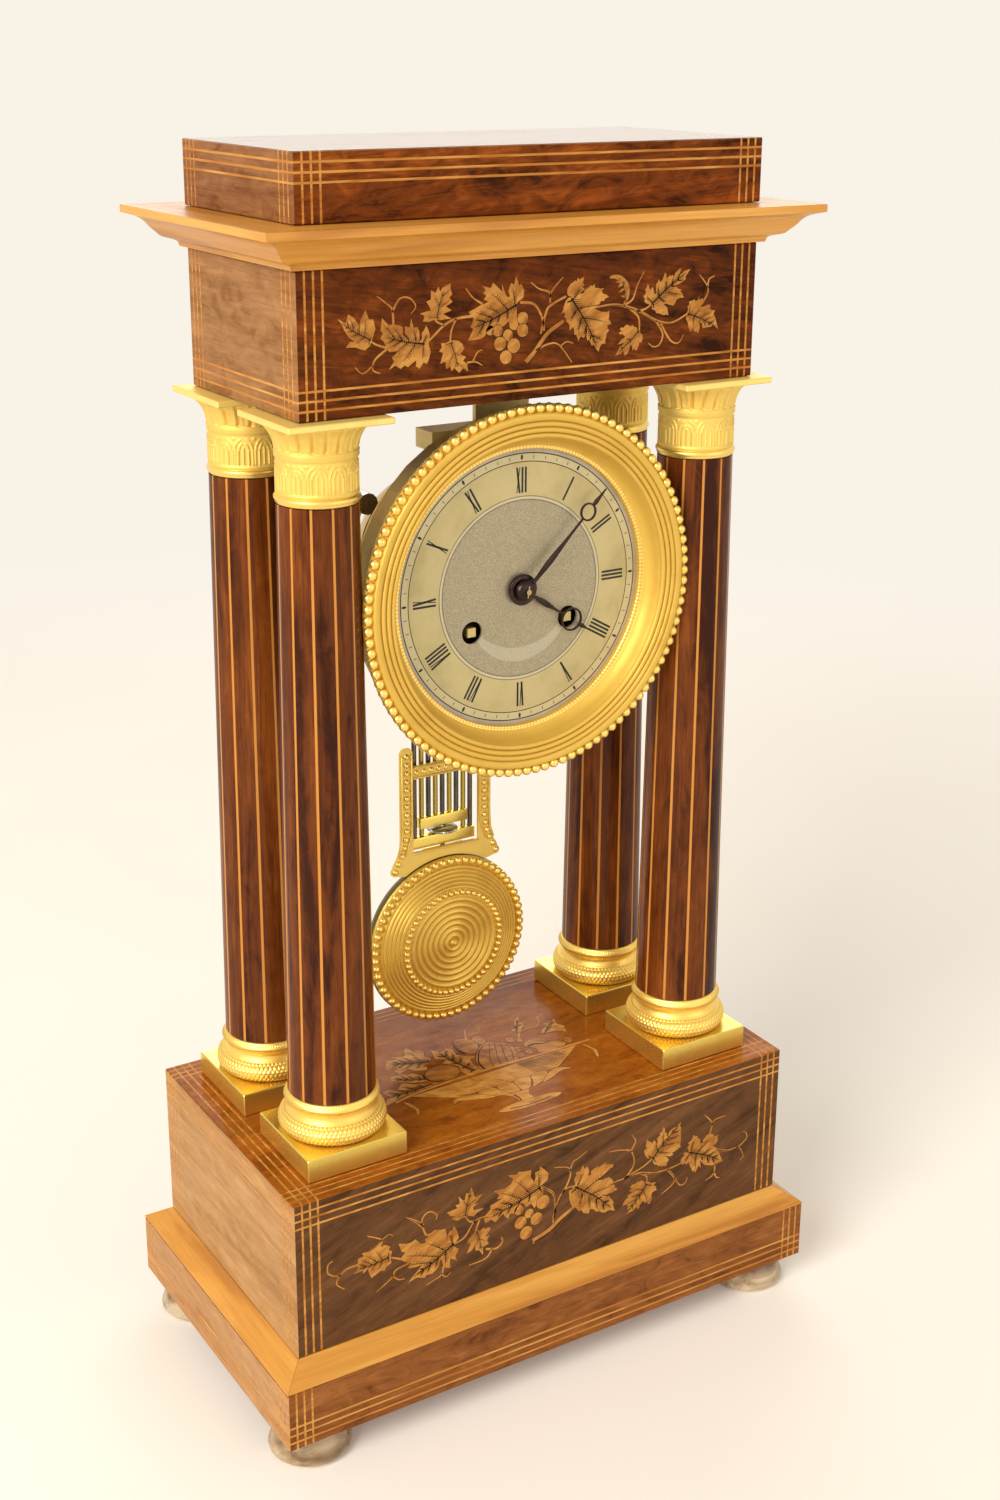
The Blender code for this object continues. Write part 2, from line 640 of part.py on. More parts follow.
def columns():
    lower_tenon = COLUMN_BASE_HEIGHT + BLOCK_HEIGHT + TENON_DEPTH + 3 * SEAT_GAP
    upper_tenon = CAPITAL_HEIGHT + ABACUS_THICKNESS + TENON_DEPTH + 3 * SEAT_GAP
    shaft_outline = [
        (0.0, SHAFT_LENGTH + upper_tenon),
        (DOWEL_RADIUS, SHAFT_LENGTH + upper_tenon),
        (DOWEL_RADIUS, SHAFT_LENGTH),
        (SHAFT_HEAD_RADIUS, SHAFT_LENGTH),
        (SHAFT_FOOT_RADIUS, 0.0),
        (DOWEL_RADIUS, 0.0),
        (DOWEL_RADIUS, -lower_tenon),
        (0.0, -lower_tenon),
    ]
    base_outline = bored_outline(COLUMN_BASE_SHARES, COLUMN_BASE_RADIUS, COLUMN_BASE_HEIGHT)
    capital_outline = bored_outline(CAPITAL_SHARES, CAPITAL_RADIUS, CAPITAL_HEIGHT)
    for where, sx, sy in corners():
        x = sx * COLUMN_X
        y = sy * COLUMN_Y
        block = centred_box(
            f"column_block_{where}", BLOCK_WIDTH, BLOCK_WIDTH, BLOCK_HEIGHT, BLOCK_Z, BRASS, centre=(x, y)
        )
        bottom = (x, y, BLOCK_Z - CUT_OVERRUN)
        drill(block, f"block_{where}", SOCKET_RADIUS, bottom, (x, y, COLUMN_BASE_Z + CUT_OVERRUN))
        turned(f"column_base_{where}", base_outline, FACETS_COLUMN, GILT, (x, y, COLUMN_BASE_Z))
        turned(f"column_shaft_{where}", shaft_outline, FACETS_COLUMN, ROSEWOOD, (x, y, SHAFT_Z))
        turned(f"capital_{where}", capital_outline, FACETS_COLUMN, GILT, (x, y, CAPITAL_Z))
        abacus = centred_box(
            f"abacus_{where}", ABACUS_WIDTH, ABACUS_WIDTH, ABACUS_THICKNESS, ABACUS_Z, BRASS, centre=(x, y)
        )
        bottom = (x, y, ABACUS_Z - CUT_OVERRUN)
        drill(abacus, f"abacus_{where}", SOCKET_RADIUS, bottom, (x, y, FRIEZE_Z + CUT_OVERRUN))


def bezel_and_collar():
    """The turned bezel with its spigot, and the short brass collar that carries it."""
    face = [(BEZEL_RADIUS * r, BEZEL_DEPTH * h) for r, h in BEZEL_SHARES]
    spigot = COLLAR_RADIUS - COLLAR_WALL - SEAT_GAP
    lip_back = BEZEL_BACK_Y - (DIAL_FRONT_Y - SEAT_GAP)
    outline = face + [
        (BEZEL_SIGHT_RADIUS + BEZEL_WALL, lip_back + WHEEL_THICKNESS),
        (BEZEL_SIGHT_RADIUS, lip_back + WHEEL_THICKNESS),
        (BEZEL_SIGHT_RADIUS, lip_back),
        (BEZEL_SIGHT_RADIUS + 2 * BEZEL_WALL, lip_back),
        (spigot - BEZEL_WALL, -BEZEL_SPIGOT_LENGTH),
        (spigot, -BEZEL_SPIGOT_LENGTH),
        (spigot, 0.0),
    ]
    outline.reverse()
    turned("bezel", outline, FACETS_RING, GILT, (0.0, BEZEL_BACK_Y, DIAL_Z), FACING)
    inner = COLLAR_RADIUS - COLLAR_WALL
    collar = [
        (COLLAR_RADIUS, 0.0),
        (COLLAR_RADIUS, -COLLAR_DEPTH),
        (WEB_OPENING_RADIUS, -COLLAR_DEPTH),
        (WEB_OPENING_RADIUS, WEB_THICKNESS - COLLAR_DEPTH),
        (inner, WEB_THICKNESS - COLLAR_DEPTH),
        (inner, 0.0),
    ]
    turned("movement_collar", collar, FACETS_DISC, BRASS, (0.0, COLLAR_FRONT_Y, DIAL_Z), FACING)


def dial():
    """The silvered dial with its winding holes and the three riveted feet."""
    holes = [
        circle(DIAL_HOLE_RADIUS, FACETS_SMALL),
        circle(WINDING_HOLE_RADIUS, FACETS_SMALL, (WINDING_X, -WINDING_DROP)),
        circle(WINDING_HOLE_RADIUS, FACETS_SMALL, (-WINDING_X, -WINDING_DROP)),
    ]
    middle_y = DIAL_FRONT_Y + DIAL_THICKNESS / 2
    outlines = [circle(DIAL_RADIUS, FACETS_DISC), *holes]
    face = plate("dial", outlines, DIAL_THICKNESS, at_dial(0.0, 0.0, middle_y), SILVERED)
    for angle in (90, 215, 325):
        x, rise = polar(DIAL_FOOT_CIRCLE, angle)
        joined(face, rod("dial_foot", DIAL_FOOT_RADIUS, at_dial(x, rise, middle_y),
                         at_dial(x, rise, FRONT_PLATE_BACK_Y), FACETS_ROD))


def front_plate():
    """The movement's front plate, with the stud that the minute wheel turns on."""
    holes = [
        circle(ARBOR_RADIUS + SEAT_GAP, FACETS_SMALL),
        circle(WINDING_ARBOR_RADIUS + SEAT_GAP, FACETS_SMALL, (WINDING_X, -WINDING_DROP)),
        circle(WINDING_ARBOR_RADIUS + SEAT_GAP, FACETS_SMALL, (-WINDING_X, -WINDING_DROP)),
    ]
    for angle in (90, 215, 325):
        holes.append(circle(DIAL_FOOT_RADIUS + SEAT_GAP, FACETS_ROD, polar(DIAL_FOOT_CIRCLE, angle)))
    middle_y = FRONT_PLATE_BACK_Y - PLATE_THICKNESS / 2
    made = plate(
        "front_plate", [circle(PLATE_RADIUS, FACETS_DISC), *holes], PLATE_THICKNESS,
        at_dial(0.0, 0.0, middle_y), BRASS,
    )
    stud_end = FRONT_PLATE_FRONT_Y - SEAT_GAP - WHEEL_THICKNESS - MINUTE_PINION_LENGTH
    joined(made, rod("minute_stud", MINUTE_STUD_RADIUS, at_dial(*MINUTE_STUD, middle_y),
                     at_dial(*MINUTE_STUD, stud_end), FACETS_ROD))


def back_plate():
    """The back plate with its riveted pillars and the stand that holds the bell from behind."""
    holes = [
        circle(ARBOR_RADIUS + SEAT_GAP, FACETS_SMALL, (0.0, PALLET_RISE)),
        circle(ARBOR_RADIUS + SEAT_GAP, FACETS_SMALL, HAMMER_ARBOR),
    ]
    middle_y = BACK_PLATE_FRONT_Y + PLATE_THICKNESS / 2
    made = plate(
        "back_plate", [circle(PLATE_RADIUS, FACETS_DISC), *holes], PLATE_THICKNESS,
        at_dial(0.0, 0.0, middle_y), BRASS,
    )
    for angle in PILLAR_ANGLES:
        x, rise = polar(PILLAR_CIRCLE, angle)
        start = at_dial(x, rise, FRONT_PLATE_BACK_Y + SEAT_GAP)
        joined(made, rod("pillar", PILLAR_RADIUS, start, at_dial(x, rise, middle_y), FACETS_ROD))
    strap_y = BELL_FRONT_Y + BELL_DEPTH + SEAT_GAP + STAND_RADIUS
    foot = at_dial(STAND_X, -STAND_DROP, middle_y)
    corner = at_dial(STAND_X, -STAND_DROP, strap_y + STAND_STRAP / 2)
    post = rod("bell_post", STAND_RADIUS, foot, corner, FACETS_SMALL)
    arm_start = at_dial(STAND_X, -STAND_DROP, strap_y)
    arm = rod("bell_arm", STAND_STRAP / 2, arm_start, at_dial(0.0, 0.0, strap_y), FACETS_ROD)
    pin_front = at_dial(0.0, 0.0, BELL_FRONT_Y + BELL_DEPTH - BELL_WALL - STAND_RADIUS)
    pin_back = at_dial(0.0, 0.0, strap_y + STAND_STRAP)
    pin = rod("bell_pin", STAND_PIN_RADIUS, pin_front, pin_back, FACETS_ROD)
    joined(made, post, arm, pin)


def wheel_outlines(radius, bore=0.0):
    """A crossed-out wheel: rim, arms and hub, in plan."""
    outlines = [circle(radius, FACETS_WHEEL)]
    inside = radius - WHEEL_RIM
    for k in range(WHEEL_CROSSINGS):
        turn = 2 * math.pi / WHEEL_CROSSINGS
        outer_half = turn / 2 - CROSSING_ARM / 2 / inside
        inner_half = turn / 2 - CROSSING_ARM / 2 / WHEEL_HUB_RADIUS
        middle = turn * k
        outer_angles = (middle - outer_half, middle, middle + outer_half)
        inner_angles = (middle + inner_half, middle, middle - inner_half)
        outlines.append(
            [(inside * math.cos(a), inside * math.sin(a)) for a in outer_angles]
            + [(WHEEL_HUB_RADIUS * math.cos(a), WHEEL_HUB_RADIUS * math.sin(a)) for a in inner_angles]
        )
    if bore:
        outlines.append(circle(bore, FACETS_SMALL))
    return outlines


def wheel_on_arbor(name, radius, wheel_back_y, pinion_radius, pinion_span, place, arbor_span):
    """A crossed wheel with its pinion on an arbor, all turning together about an axis along Y."""
    x, rise = place
    arbor_front, arbor_back = (at_dial(x, rise, y) for y in arbor_span)
    arbor = rod(name, ARBOR_RADIUS, arbor_front, arbor_back, FACETS_SMALL, BRASS)
    middle = at_dial(x, rise, wheel_back_y - WHEEL_THICKNESS / 2)
    disc = plate(f"{name}_disc", wheel_outlines(radius), WHEEL_THICKNESS, middle, BRASS)
    pinion_front, pinion_back = (at_dial(x, rise, y) for y in pinion_span)
    pinion = rod(f"{name}_pinion", pinion_radius, pinion_front, pinion_back, FACETS_SMALL)
    return joined(arbor, disc, pinion)


def going_train():
    """Second, centre, third and escape wheels; each wheel clears the pinion it drives by MESH_GAP."""
    between = (FRONT_PLATE_BACK_Y + SEAT_GAP, BACK_PLATE_FRONT_Y - SEAT_GAP)
    second_radius = math.hypot(*SECOND_ARBOR) - CENTRE_PINION_RADIUS - MESH_GAP
    great_wheel_y = BARREL_FRONT_Y + BARREL_LENGTH
    wheel_on_arbor(
        "second_wheel", second_radius, SECOND_WHEEL_Y, SECOND_PINION_RADIUS,
        (great_wheel_y - MESH_GAP, great_wheel_y + GREAT_WHEEL_THICKNESS + MESH_GAP), SECOND_ARBOR, between,
    )
    tip = DIAL_FRONT_Y - HAND_GAP - HOUR_BOSS_DEPTH - HAND_GAP - COLLET_DEPTH - ARBOR_TIP
    wheel_on_arbor(
        "centre_wheel", CENTRE_WHEEL_RADIUS, CENTRE_WHEEL_Y, CENTRE_PINION_RADIUS,
        (CENTRE_WHEEL_Y - WHEEL_THICKNESS / 2, SECOND_WHEEL_Y + MESH_GAP), (0.0, 0.0), (tip, between[1]),
    )
    third_at = polar(CENTRE_WHEEL_RADIUS + THIRD_PINION_RADIUS + MESH_GAP, THIRD_ARBOR_ANGLE)
    third_to_escape = math.hypot(third_at[0], ESCAPE_RISE - third_at[1])
    third_radius = third_to_escape - ESCAPE_PINION_RADIUS - ARBOR_RADIUS
    wheel_on_arbor(
        "third_wheel", third_radius, THIRD_WHEEL_Y, THIRD_PINION_RADIUS,
        (CENTRE_WHEEL_Y - WHEEL_THICKNESS - MESH_GAP, CENTRE_WHEEL_Y + MESH_GAP), third_at, between,
    )
    escape_wheel(between)


def escape_wheel(between):
    """The escape wheel with its pointed, leaning teeth."""
    outline = []
    for k in range(ESCAPE_TEETH):
        start = 360 * k / ESCAPE_TEETH
        pitch = 360 / ESCAPE_TEETH
        outline.append(polar(ESCAPE_WHEEL_RADIUS - WHEEL_RIM / 2, start))
        outline.append(polar(ESCAPE_WHEEL_RADIUS, start + pitch / 2))
    disc = plate("escape_disc", [outline], WHEEL_THICKNESS,
                 at_dial(0.0, ESCAPE_RISE, ESCAPE_WHEEL_Y - WHEEL_THICKNESS / 2), BRASS)
    arbor = rod("escape_wheel", ARBOR_RADIUS, at_dial(0.0, ESCAPE_RISE, between[0]),
                at_dial(0.0, ESCAPE_RISE, between[1]), FACETS_SMALL, BRASS)
    joined(arbor, disc)


def barrels():
    """Going barrel on the right and strike barrel on the left, each round its winding arbor."""
    for name, side in (("going", 1), ("strike", -1)):
        x = side * WINDING_X
        back = BARREL_LENGTH + GREAT_WHEEL_THICKNESS
        outline = [
            (WINDING_ARBOR_RADIUS + SEAT_GAP, 0.0),
            (BARREL_RADIUS, 0.0),
            (BARREL_RADIUS, -BARREL_LENGTH),
            (GREAT_WHEEL_RADIUS, -BARREL_LENGTH),
            (GREAT_WHEEL_RADIUS, -back),
            (WINDING_ARBOR_RADIUS + SEAT_GAP, -back),
        ]
        centre = at_dial(x, -WINDING_DROP, BARREL_FRONT_Y)
        turned(f"{name}_barrel", outline, FACETS_WHEEL, BRASS, centre, FACING)
        square_front = DIAL_FRONT_Y + SEAT_GAP
        square_back = FRONT_PLATE_FRONT_Y - SEAT_GAP
        arbor = rod(f"{name}_winding_arbor", WINDING_ARBOR_RADIUS,
                    at_dial(x, -WINDING_DROP, square_back - SEAT_GAP),
                    at_dial(x, -WINDING_DROP, BACK_PLATE_FRONT_Y - SEAT_GAP))
        half = WINDING_SQUARE / 2
        square = box(f"{name}_square", at_dial(x - half, -WINDING_DROP - half, square_front),
                     at_dial(x + half, -WINDING_DROP + half, square_back), STEEL)
        joined(arbor, square)


def motion_work():
    """Cannon pinion, minute wheel and hour wheel between the front plate and the dial."""
    back = FRONT_PLATE_FRONT_Y - SEAT_GAP
    bore = ARBOR_RADIUS + SEAT_GAP
    turned(
        "cannon_pinion",
        [
            (bore, CANNON_LENGTH),
            (CANNON_PIPE_RADIUS, CANNON_LENGTH),
            (CANNON_PIPE_RADIUS, CANNON_PINION_LENGTH),
            (CANNON_PINION_RADIUS, CANNON_PINION_LENGTH),
            (CANNON_PINION_RADIUS, 0.0),
            (bore, 0.0),
        ],
        FACETS_SMALL, STEEL, at_dial(0.0, 0.0, back), FACING,
    )
    centres = math.hypot(*MINUTE_STUD)
    minute_wheel_radius = centres - CANNON_PINION_RADIUS - MESH_GAP
    minute_bore = MINUTE_STUD_RADIUS + SEAT_GAP
    turned(
        "minute_wheel",
        [
            (minute_bore, WHEEL_THICKNESS + MINUTE_PINION_LENGTH),
            (MINUTE_PINION_RADIUS, WHEEL_THICKNESS + MINUTE_PINION_LENGTH),
            (MINUTE_PINION_RADIUS, WHEEL_THICKNESS),
            (minute_wheel_radius, WHEEL_THICKNESS),
            (minute_wheel_radius, 0.0),
            (minute_bore, 0.0),
        ],
        FACETS_WHEEL, BRASS, at_dial(*MINUTE_STUD, back), FACING,
    )
    pipe_bore = CANNON_PIPE_RADIUS + SEAT_GAP
    pipe = pipe_bore + HOUR_PIPE_WALL
    start = back - CANNON_PINION_LENGTH - SEAT_GAP
    hour_radius = centres - MINUTE_PINION_RADIUS - MESH_GAP
    pipe_front = DIAL_FRONT_Y - HAND_GAP - HOUR_BOSS_DEPTH
    turned(
        "hour_wheel",
        [
            (pipe_bore, start - pipe_front),
            (pipe, start - pipe_front),
            (pipe, WHEEL_THICKNESS),
            (hour_radius, WHEEL_THICKNESS),
            (hour_radius, 0.0),
            (pipe_bore, 0.0),
        ],
        FACETS_WHEEL, BRASS, at_dial(0.0, 0.0, start), FACING,
    )
    return pipe


def hand_outline(length, ring_at, ring_radius, boss_radius, waist):
    """Half widths along a ring-tipped hand, mirrored into one outline that points up."""
    half = []
    for k in range(7):
        angle = math.pi * (1 - k / 8)
        half.append((boss_radius * math.sin(angle), boss_radius * math.cos(angle)))
    stem = ring_at - ring_radius - boss_radius
    for share, width_share in ((0.02, 0.9), (0.30, 1.5), (0.55, 1.0), (0.98, 0.7)):
        half.append((waist * width_share, boss_radius + stem * share))
    for k in range(1, 8):
        angle = math.pi * (1 - k / 8)
        half.append((ring_radius * math.sin(angle), ring_at + ring_radius * math.cos(angle)))
    half.append((waist, ring_at + ring_radius))
    half.append((waist / 4, length))
    return half + [(-x, y) for x, y in reversed(half) if x > 0]


def hands(hour_pipe):
    """Ring-tipped hour and minute hands, turned to the time that the photograph shows."""
    hour_y = DIAL_FRONT_Y - HAND_GAP - HOUR_BOSS_DEPTH + HAND_THICKNESS / 2
    hour_turn = Matrix.Rotation(math.radians(-HOUR_HAND_ANGLE), 4, "Z")
    hour = plate(
        "hour_hand",
        [
            hand_outline(HOUR_HAND_LENGTH, HOUR_RING_AT, HOUR_RING_RADIUS, HOUR_BOSS_RADIUS, RING_STROKE),
            circle(hour_pipe + SEAT_GAP, FACETS_SMALL),
            circle(HOUR_RING_RADIUS - RING_STROKE, FACETS_SMALL, (0.0, HOUR_RING_AT)),
        ],
        HAND_THICKNESS, at_dial(0.0, 0.0, hour_y), BLUED_STEEL, FACING @ hour_turn,
    )
    boss = turned(
        "hour_boss",
        [
            (hour_pipe + SEAT_GAP, HOUR_BOSS_DEPTH),
            (HOUR_BOSS_RADIUS - EDGE_BREAK, HOUR_BOSS_DEPTH),
            (HOUR_BOSS_RADIUS - EDGE_BREAK, 0.0),
            (hour_pipe + SEAT_GAP, 0.0),
        ],
        FACETS_SMALL, BLUED_STEEL, at_dial(0.0, 0.0, DIAL_FRONT_Y - HAND_GAP), FACING,
    )
    joined(hour, boss)
    collet_back = DIAL_FRONT_Y - HAND_GAP - HOUR_BOSS_DEPTH - HAND_GAP
    minute_y = collet_back - COLLET_DEPTH / 2
    minute_turn = Matrix.Rotation(math.radians(-MINUTE_HAND_ANGLE), 4, "Z")
    bore = ARBOR_RADIUS + SEAT_GAP
    minute = plate(
        "minute_hand",
        [
            hand_outline(MINUTE_HAND_LENGTH, MINUTE_RING_AT, MINUTE_RING_RADIUS, COLLET_RADIUS, RING_STROKE),
            circle(bore, FACETS_SMALL),
            circle(MINUTE_RING_RADIUS - RING_STROKE, FACETS_SMALL, (0.0, MINUTE_RING_AT)),
        ],
        HAND_THICKNESS, at_dial(0.0, 0.0, minute_y), BLUED_STEEL, FACING @ minute_turn,
    )
    collet = turned(
        "minute_collet",
        [
            (bore, COLLET_DEPTH),
            (COLLET_RADIUS * 0.55, COLLET_DEPTH),
            (COLLET_RADIUS - EDGE_BREAK, COLLET_DEPTH * 0.7),
            (COLLET_RADIUS - EDGE_BREAK, 0.0),
            (bore, 0.0),
        ],
        FACETS_SMALL, BLUED_STEEL, at_dial(0.0, 0.0, collet_back), FACING,
    )
    joined(minute, collet)


def hanger():
    """The brass yoke screwed under the frieze: a tongue on the collar's web and two turned-down arms."""
    front = WEB_BACK_Y + SEAT_GAP
    back = front + HANGER_PLATE
    top = FRIEZE_Z - SEAT_GAP
    bottom = DIAL_Z + WEB_OPENING_RADIUS + SEAT_GAP + HANGER_PLATE
    half = HANGER_WIDTH / 2
    made = box("movement_hanger", (-half, front, bottom), (half, back, top), BRASS)
    foot_half = HANGER_FOOT_WIDTH / 2
    foot_high = (foot_half, front + HANGER_FOOT_DEPTH, top)
    foot = box("hanger_foot", (-foot_half, front, top - HANGER_PLATE), foot_high)
    span = HANGER_SPAN / 2
    arm_z = DIAL_Z + HANGER_ARM_RISE
    arm_back = front + HANGER_ARM_DEPTH
    arm = box("hanger_arm", (-span, front, arm_z), (span, arm_back, arm_z + HANGER_ARM_HEIGHT))
    joined(made, foot, arm)
    for side in (-1, 1):
        outer = side * span
        inner = side * (span - HANGER_END_WIDTH)
        low = (min(outer, inner), front, arm_z - HANGER_END_DROP)
        high = (max(outer, inner), arm_back, arm_z + HANGER_ARM_HEIGHT / 2)
        joined(made, box("hanger_end", low, high))


def bell():
    """The bell, mouth to the front, with a hole at the crown for its stand."""
    outer = [(BELL_RADIUS * r, BELL_DEPTH * h) for r, h in BELL_SHARES]
    inner = [(r - BELL_WALL, h - BELL_WALL * share) for (r, h), share in zip(outer, (0, 0.1, 0.4, 0.7, 1, 1))]
    hole = BELL_HOLE_RADIUS
    outline = [(hole, BELL_DEPTH)] + list(reversed(outer)) + inner + [(hole, BELL_DEPTH - BELL_WALL)]
    stance = Matrix.Rotation(math.radians(-90), 4, "X")
    turned("bell", outline, FACETS_BELL, BELL_METAL, at_dial(0.0, 0.0, BELL_FRONT_Y), stance)


def hammer():
    """The strike hammer: arbor between the plates, a bent wire arm, and the head beside the bell's rim."""
    x, rise = HAMMER_ARBOR
    arbor_back = BACK_PLATE_BACK_Y + 2 * ARBOR_RADIUS
    arbor_front = at_dial(x, rise, FRONT_PLATE_BACK_Y + SEAT_GAP)
    arbor = rod("hammer", ARBOR_RADIUS, arbor_front, at_dial(x, rise, arbor_back), FACETS_SMALL, STEEL)
    head_x, head_rise = polar(BELL_RADIUS + HAMMER_REST_GAP + HAMMER_HEAD_RADIUS, HAMMER_DIRECTION)
    head_front = BELL_FRONT_Y - HAMMER_HEAD_RADIUS
    head = rod("hammer_head", HAMMER_HEAD_RADIUS, at_dial(head_x, head_rise, head_front),
               at_dial(head_x, head_rise, head_front + HAMMER_HEAD_LENGTH), FACETS_SMALL)
    path = []
    reach_y = head_front + HAMMER_HEAD_RADIUS - (arbor_back - ARBOR_RADIUS)
    for along, up in ((0.0, 0.0), (0.45, 0.06), (0.80, 0.20), (0.97, 0.50), (1.0, 0.80), (1.0, 1.0)):
        side = math.sin(math.pi * up) * HAMMER_WIRE_RADIUS
        path.append(at_dial(x + (head_x - x) * up - side, rise + (head_rise - rise) * up,
                            arbor_back - ARBOR_RADIUS + reach_y * along))
    joined(arbor, wire("hammer_arm", path, HAMMER_WIRE_RADIUS, STEEL), head)


def suspension_cock():
    """The bracket on the back plate that the pendulum hangs from, with a slot for the spring."""
    front = BACK_PLATE_BACK_Y + SEAT_GAP
    top = DIAL_Z + COCK_TOP
    half = COCK_WIDTH / 2
    made = box("suspension_cock", (-half, front, top - COCK_HEIGHT), (half, front + COCK_PLATE, top), BRASS)
    shelf = box("cock_shelf", (-half, front, top - COCK_SHELF), (half, front + COCK_REACH, top))
    joined(made, shelf)
    rib_outline = [(0.0, 0.0), (COCK_REACH * 0.7, 0.0), (0.0, COCK_SHELF - COCK_HEIGHT)]
    sideways = Matrix.Rotation(math.radians(90), 4, "Z") @ FACING
    for side in (-1, 1):
        place = (side * (half - COCK_PLATE / 2), front, top - COCK_SHELF / 2)
        joined(made, plate("cock_rib", [rib_outline], COCK_PLATE, place, BRASS, sideways))
    slot_half = SPRING_WIDTH / 2 + SEAT_GAP
    slot = box("spring_slot", (-SPRING_SLOT / 2, PENDULUM_Y - slot_half, top - COCK_SHELF - CUT_OVERRUN),
               (SPRING_SLOT / 2, PENDULUM_Y + slot_half, top + CUT_OVERRUN))
    cut(made, slot)


def crutch():
    """Pallet arbor with its anchor over the escape wheel, and the crutch arm with its fork."""
    arbor_front = FRONT_PLATE_BACK_Y + SEAT_GAP
    plate_front = BACK_PLATE_BACK_Y + SEAT_GAP
    plate_back = plate_front + CRUTCH_PLATE
    arbor = rod("crutch", ARBOR_RADIUS, (0.0, arbor_front, PIVOT_Z), (0.0, plate_back + EDGE_BREAK, PIVOT_Z),
                FACETS_SMALL, STEEL)
    gap = ESCAPE_RISE + ESCAPE_WHEEL_RADIUS + MESH_GAP - PALLET_RISE
    leg = PALLET_SPAN + PALLET_THICKNESS
    drop = gap - 2 * PALLET_THICKNESS
    crown = 2 * ARBOR_RADIUS
    anchor_outline = [
        (-leg, drop), (-leg, gap + PALLET_THICKNESS), (-ARBOR_RADIUS, crown), (ARBOR_RADIUS, crown),
        (leg, gap + PALLET_THICKNESS), (leg, drop), (PALLET_SPAN, drop), (PALLET_SPAN, gap + MESH_GAP),
        (0.0, gap + 2 * PALLET_THICKNESS), (-PALLET_SPAN, gap + MESH_GAP), (-PALLET_SPAN, drop),
    ]
    anchor = plate("pallets", [anchor_outline], WHEEL_THICKNESS,
                   (0.0, ESCAPE_WHEEL_Y - WHEEL_THICKNESS / 2, PIVOT_Z), STEEL)
    half = CRUTCH_WIDTH / 2
    fork = CRUTCH_FORK / 2 + CRUTCH_PRONG + SEAT_GAP
    bottom = -CRUTCH_LENGTH
    arm_outline = [
        (-half, half / 2), (-half / 2, 1.5 * half), (half / 2, 1.5 * half), (half, half / 2),
        (half, bottom + 2 * CRUTCH_WIDTH),
        (fork, bottom + CRUTCH_WIDTH), (fork, bottom), (-fork, bottom), (-fork, bottom + CRUTCH_WIDTH),
        (-half, bottom + 2 * CRUTCH_WIDTH),
    ]
    arm_place = (0.0, plate_front + CRUTCH_PLATE / 2, PIVOT_Z)
    arm = plate("crutch_arm", [arm_outline], CRUTCH_PLATE, arm_place, STEEL)
    joined(arbor, anchor, arm)
    prong_z = PIVOT_Z + bottom + CRUTCH_PRONG
    for side in (-1, 1):
        x = side * (fork - CRUTCH_PRONG / 2)
        joined(arbor, rod("crutch_prong", CRUTCH_PRONG / 2, (x, plate_front + CRUTCH_PLATE / 2, prong_z),
                          (x, PENDULUM_Y + HANGER_ROD_RADIUS, prong_z), FACETS_ROD))


def suspension_spring():
    """The thin suspension strip with the brass chop that the pendulum hooks on."""
    half = SPRING_WIDTH / 2
    thin = SPRING_THICKNESS / 2
    chop_top = PIVOT_Z - CHOP_DROP
    chop_bottom = chop_top - CHOP_HEIGHT
    made = box("suspension_spring", (-thin, PENDULUM_Y - half, chop_bottom + CHOP_HEIGHT / 2),
               (thin, PENDULUM_Y + half, PIVOT_Z + SPRING_TOP_RISE), STEEL)
    chop = CHOP_WIDTH / 2
    joined(made, box("spring_chop", (-chop, PENDULUM_Y - half - SPRING_THICKNESS, chop_bottom),
                     (chop, PENDULUM_Y + half + SPRING_THICKNESS, chop_top), BRASS))


def bar(name, half_span, bottom, height, finish=BRASS):
    """A crossbar of the gridiron."""
    half = BAR_DEPTH / 2
    low = (-half_span, PENDULUM_Y - half, bottom)
    return box(name, low, (half_span, PENDULUM_Y + half, bottom + height), finish)


def grid_rod(index, bottom, top):
    """One of the nine rods, counted from -4 to 4 across the grid."""
    x = index * ROD_PITCH
    return rod("grid_rod", ROD_RADIUS, (x, PENDULUM_Y, bottom), (x, PENDULUM_Y, top), FACETS_ROD)


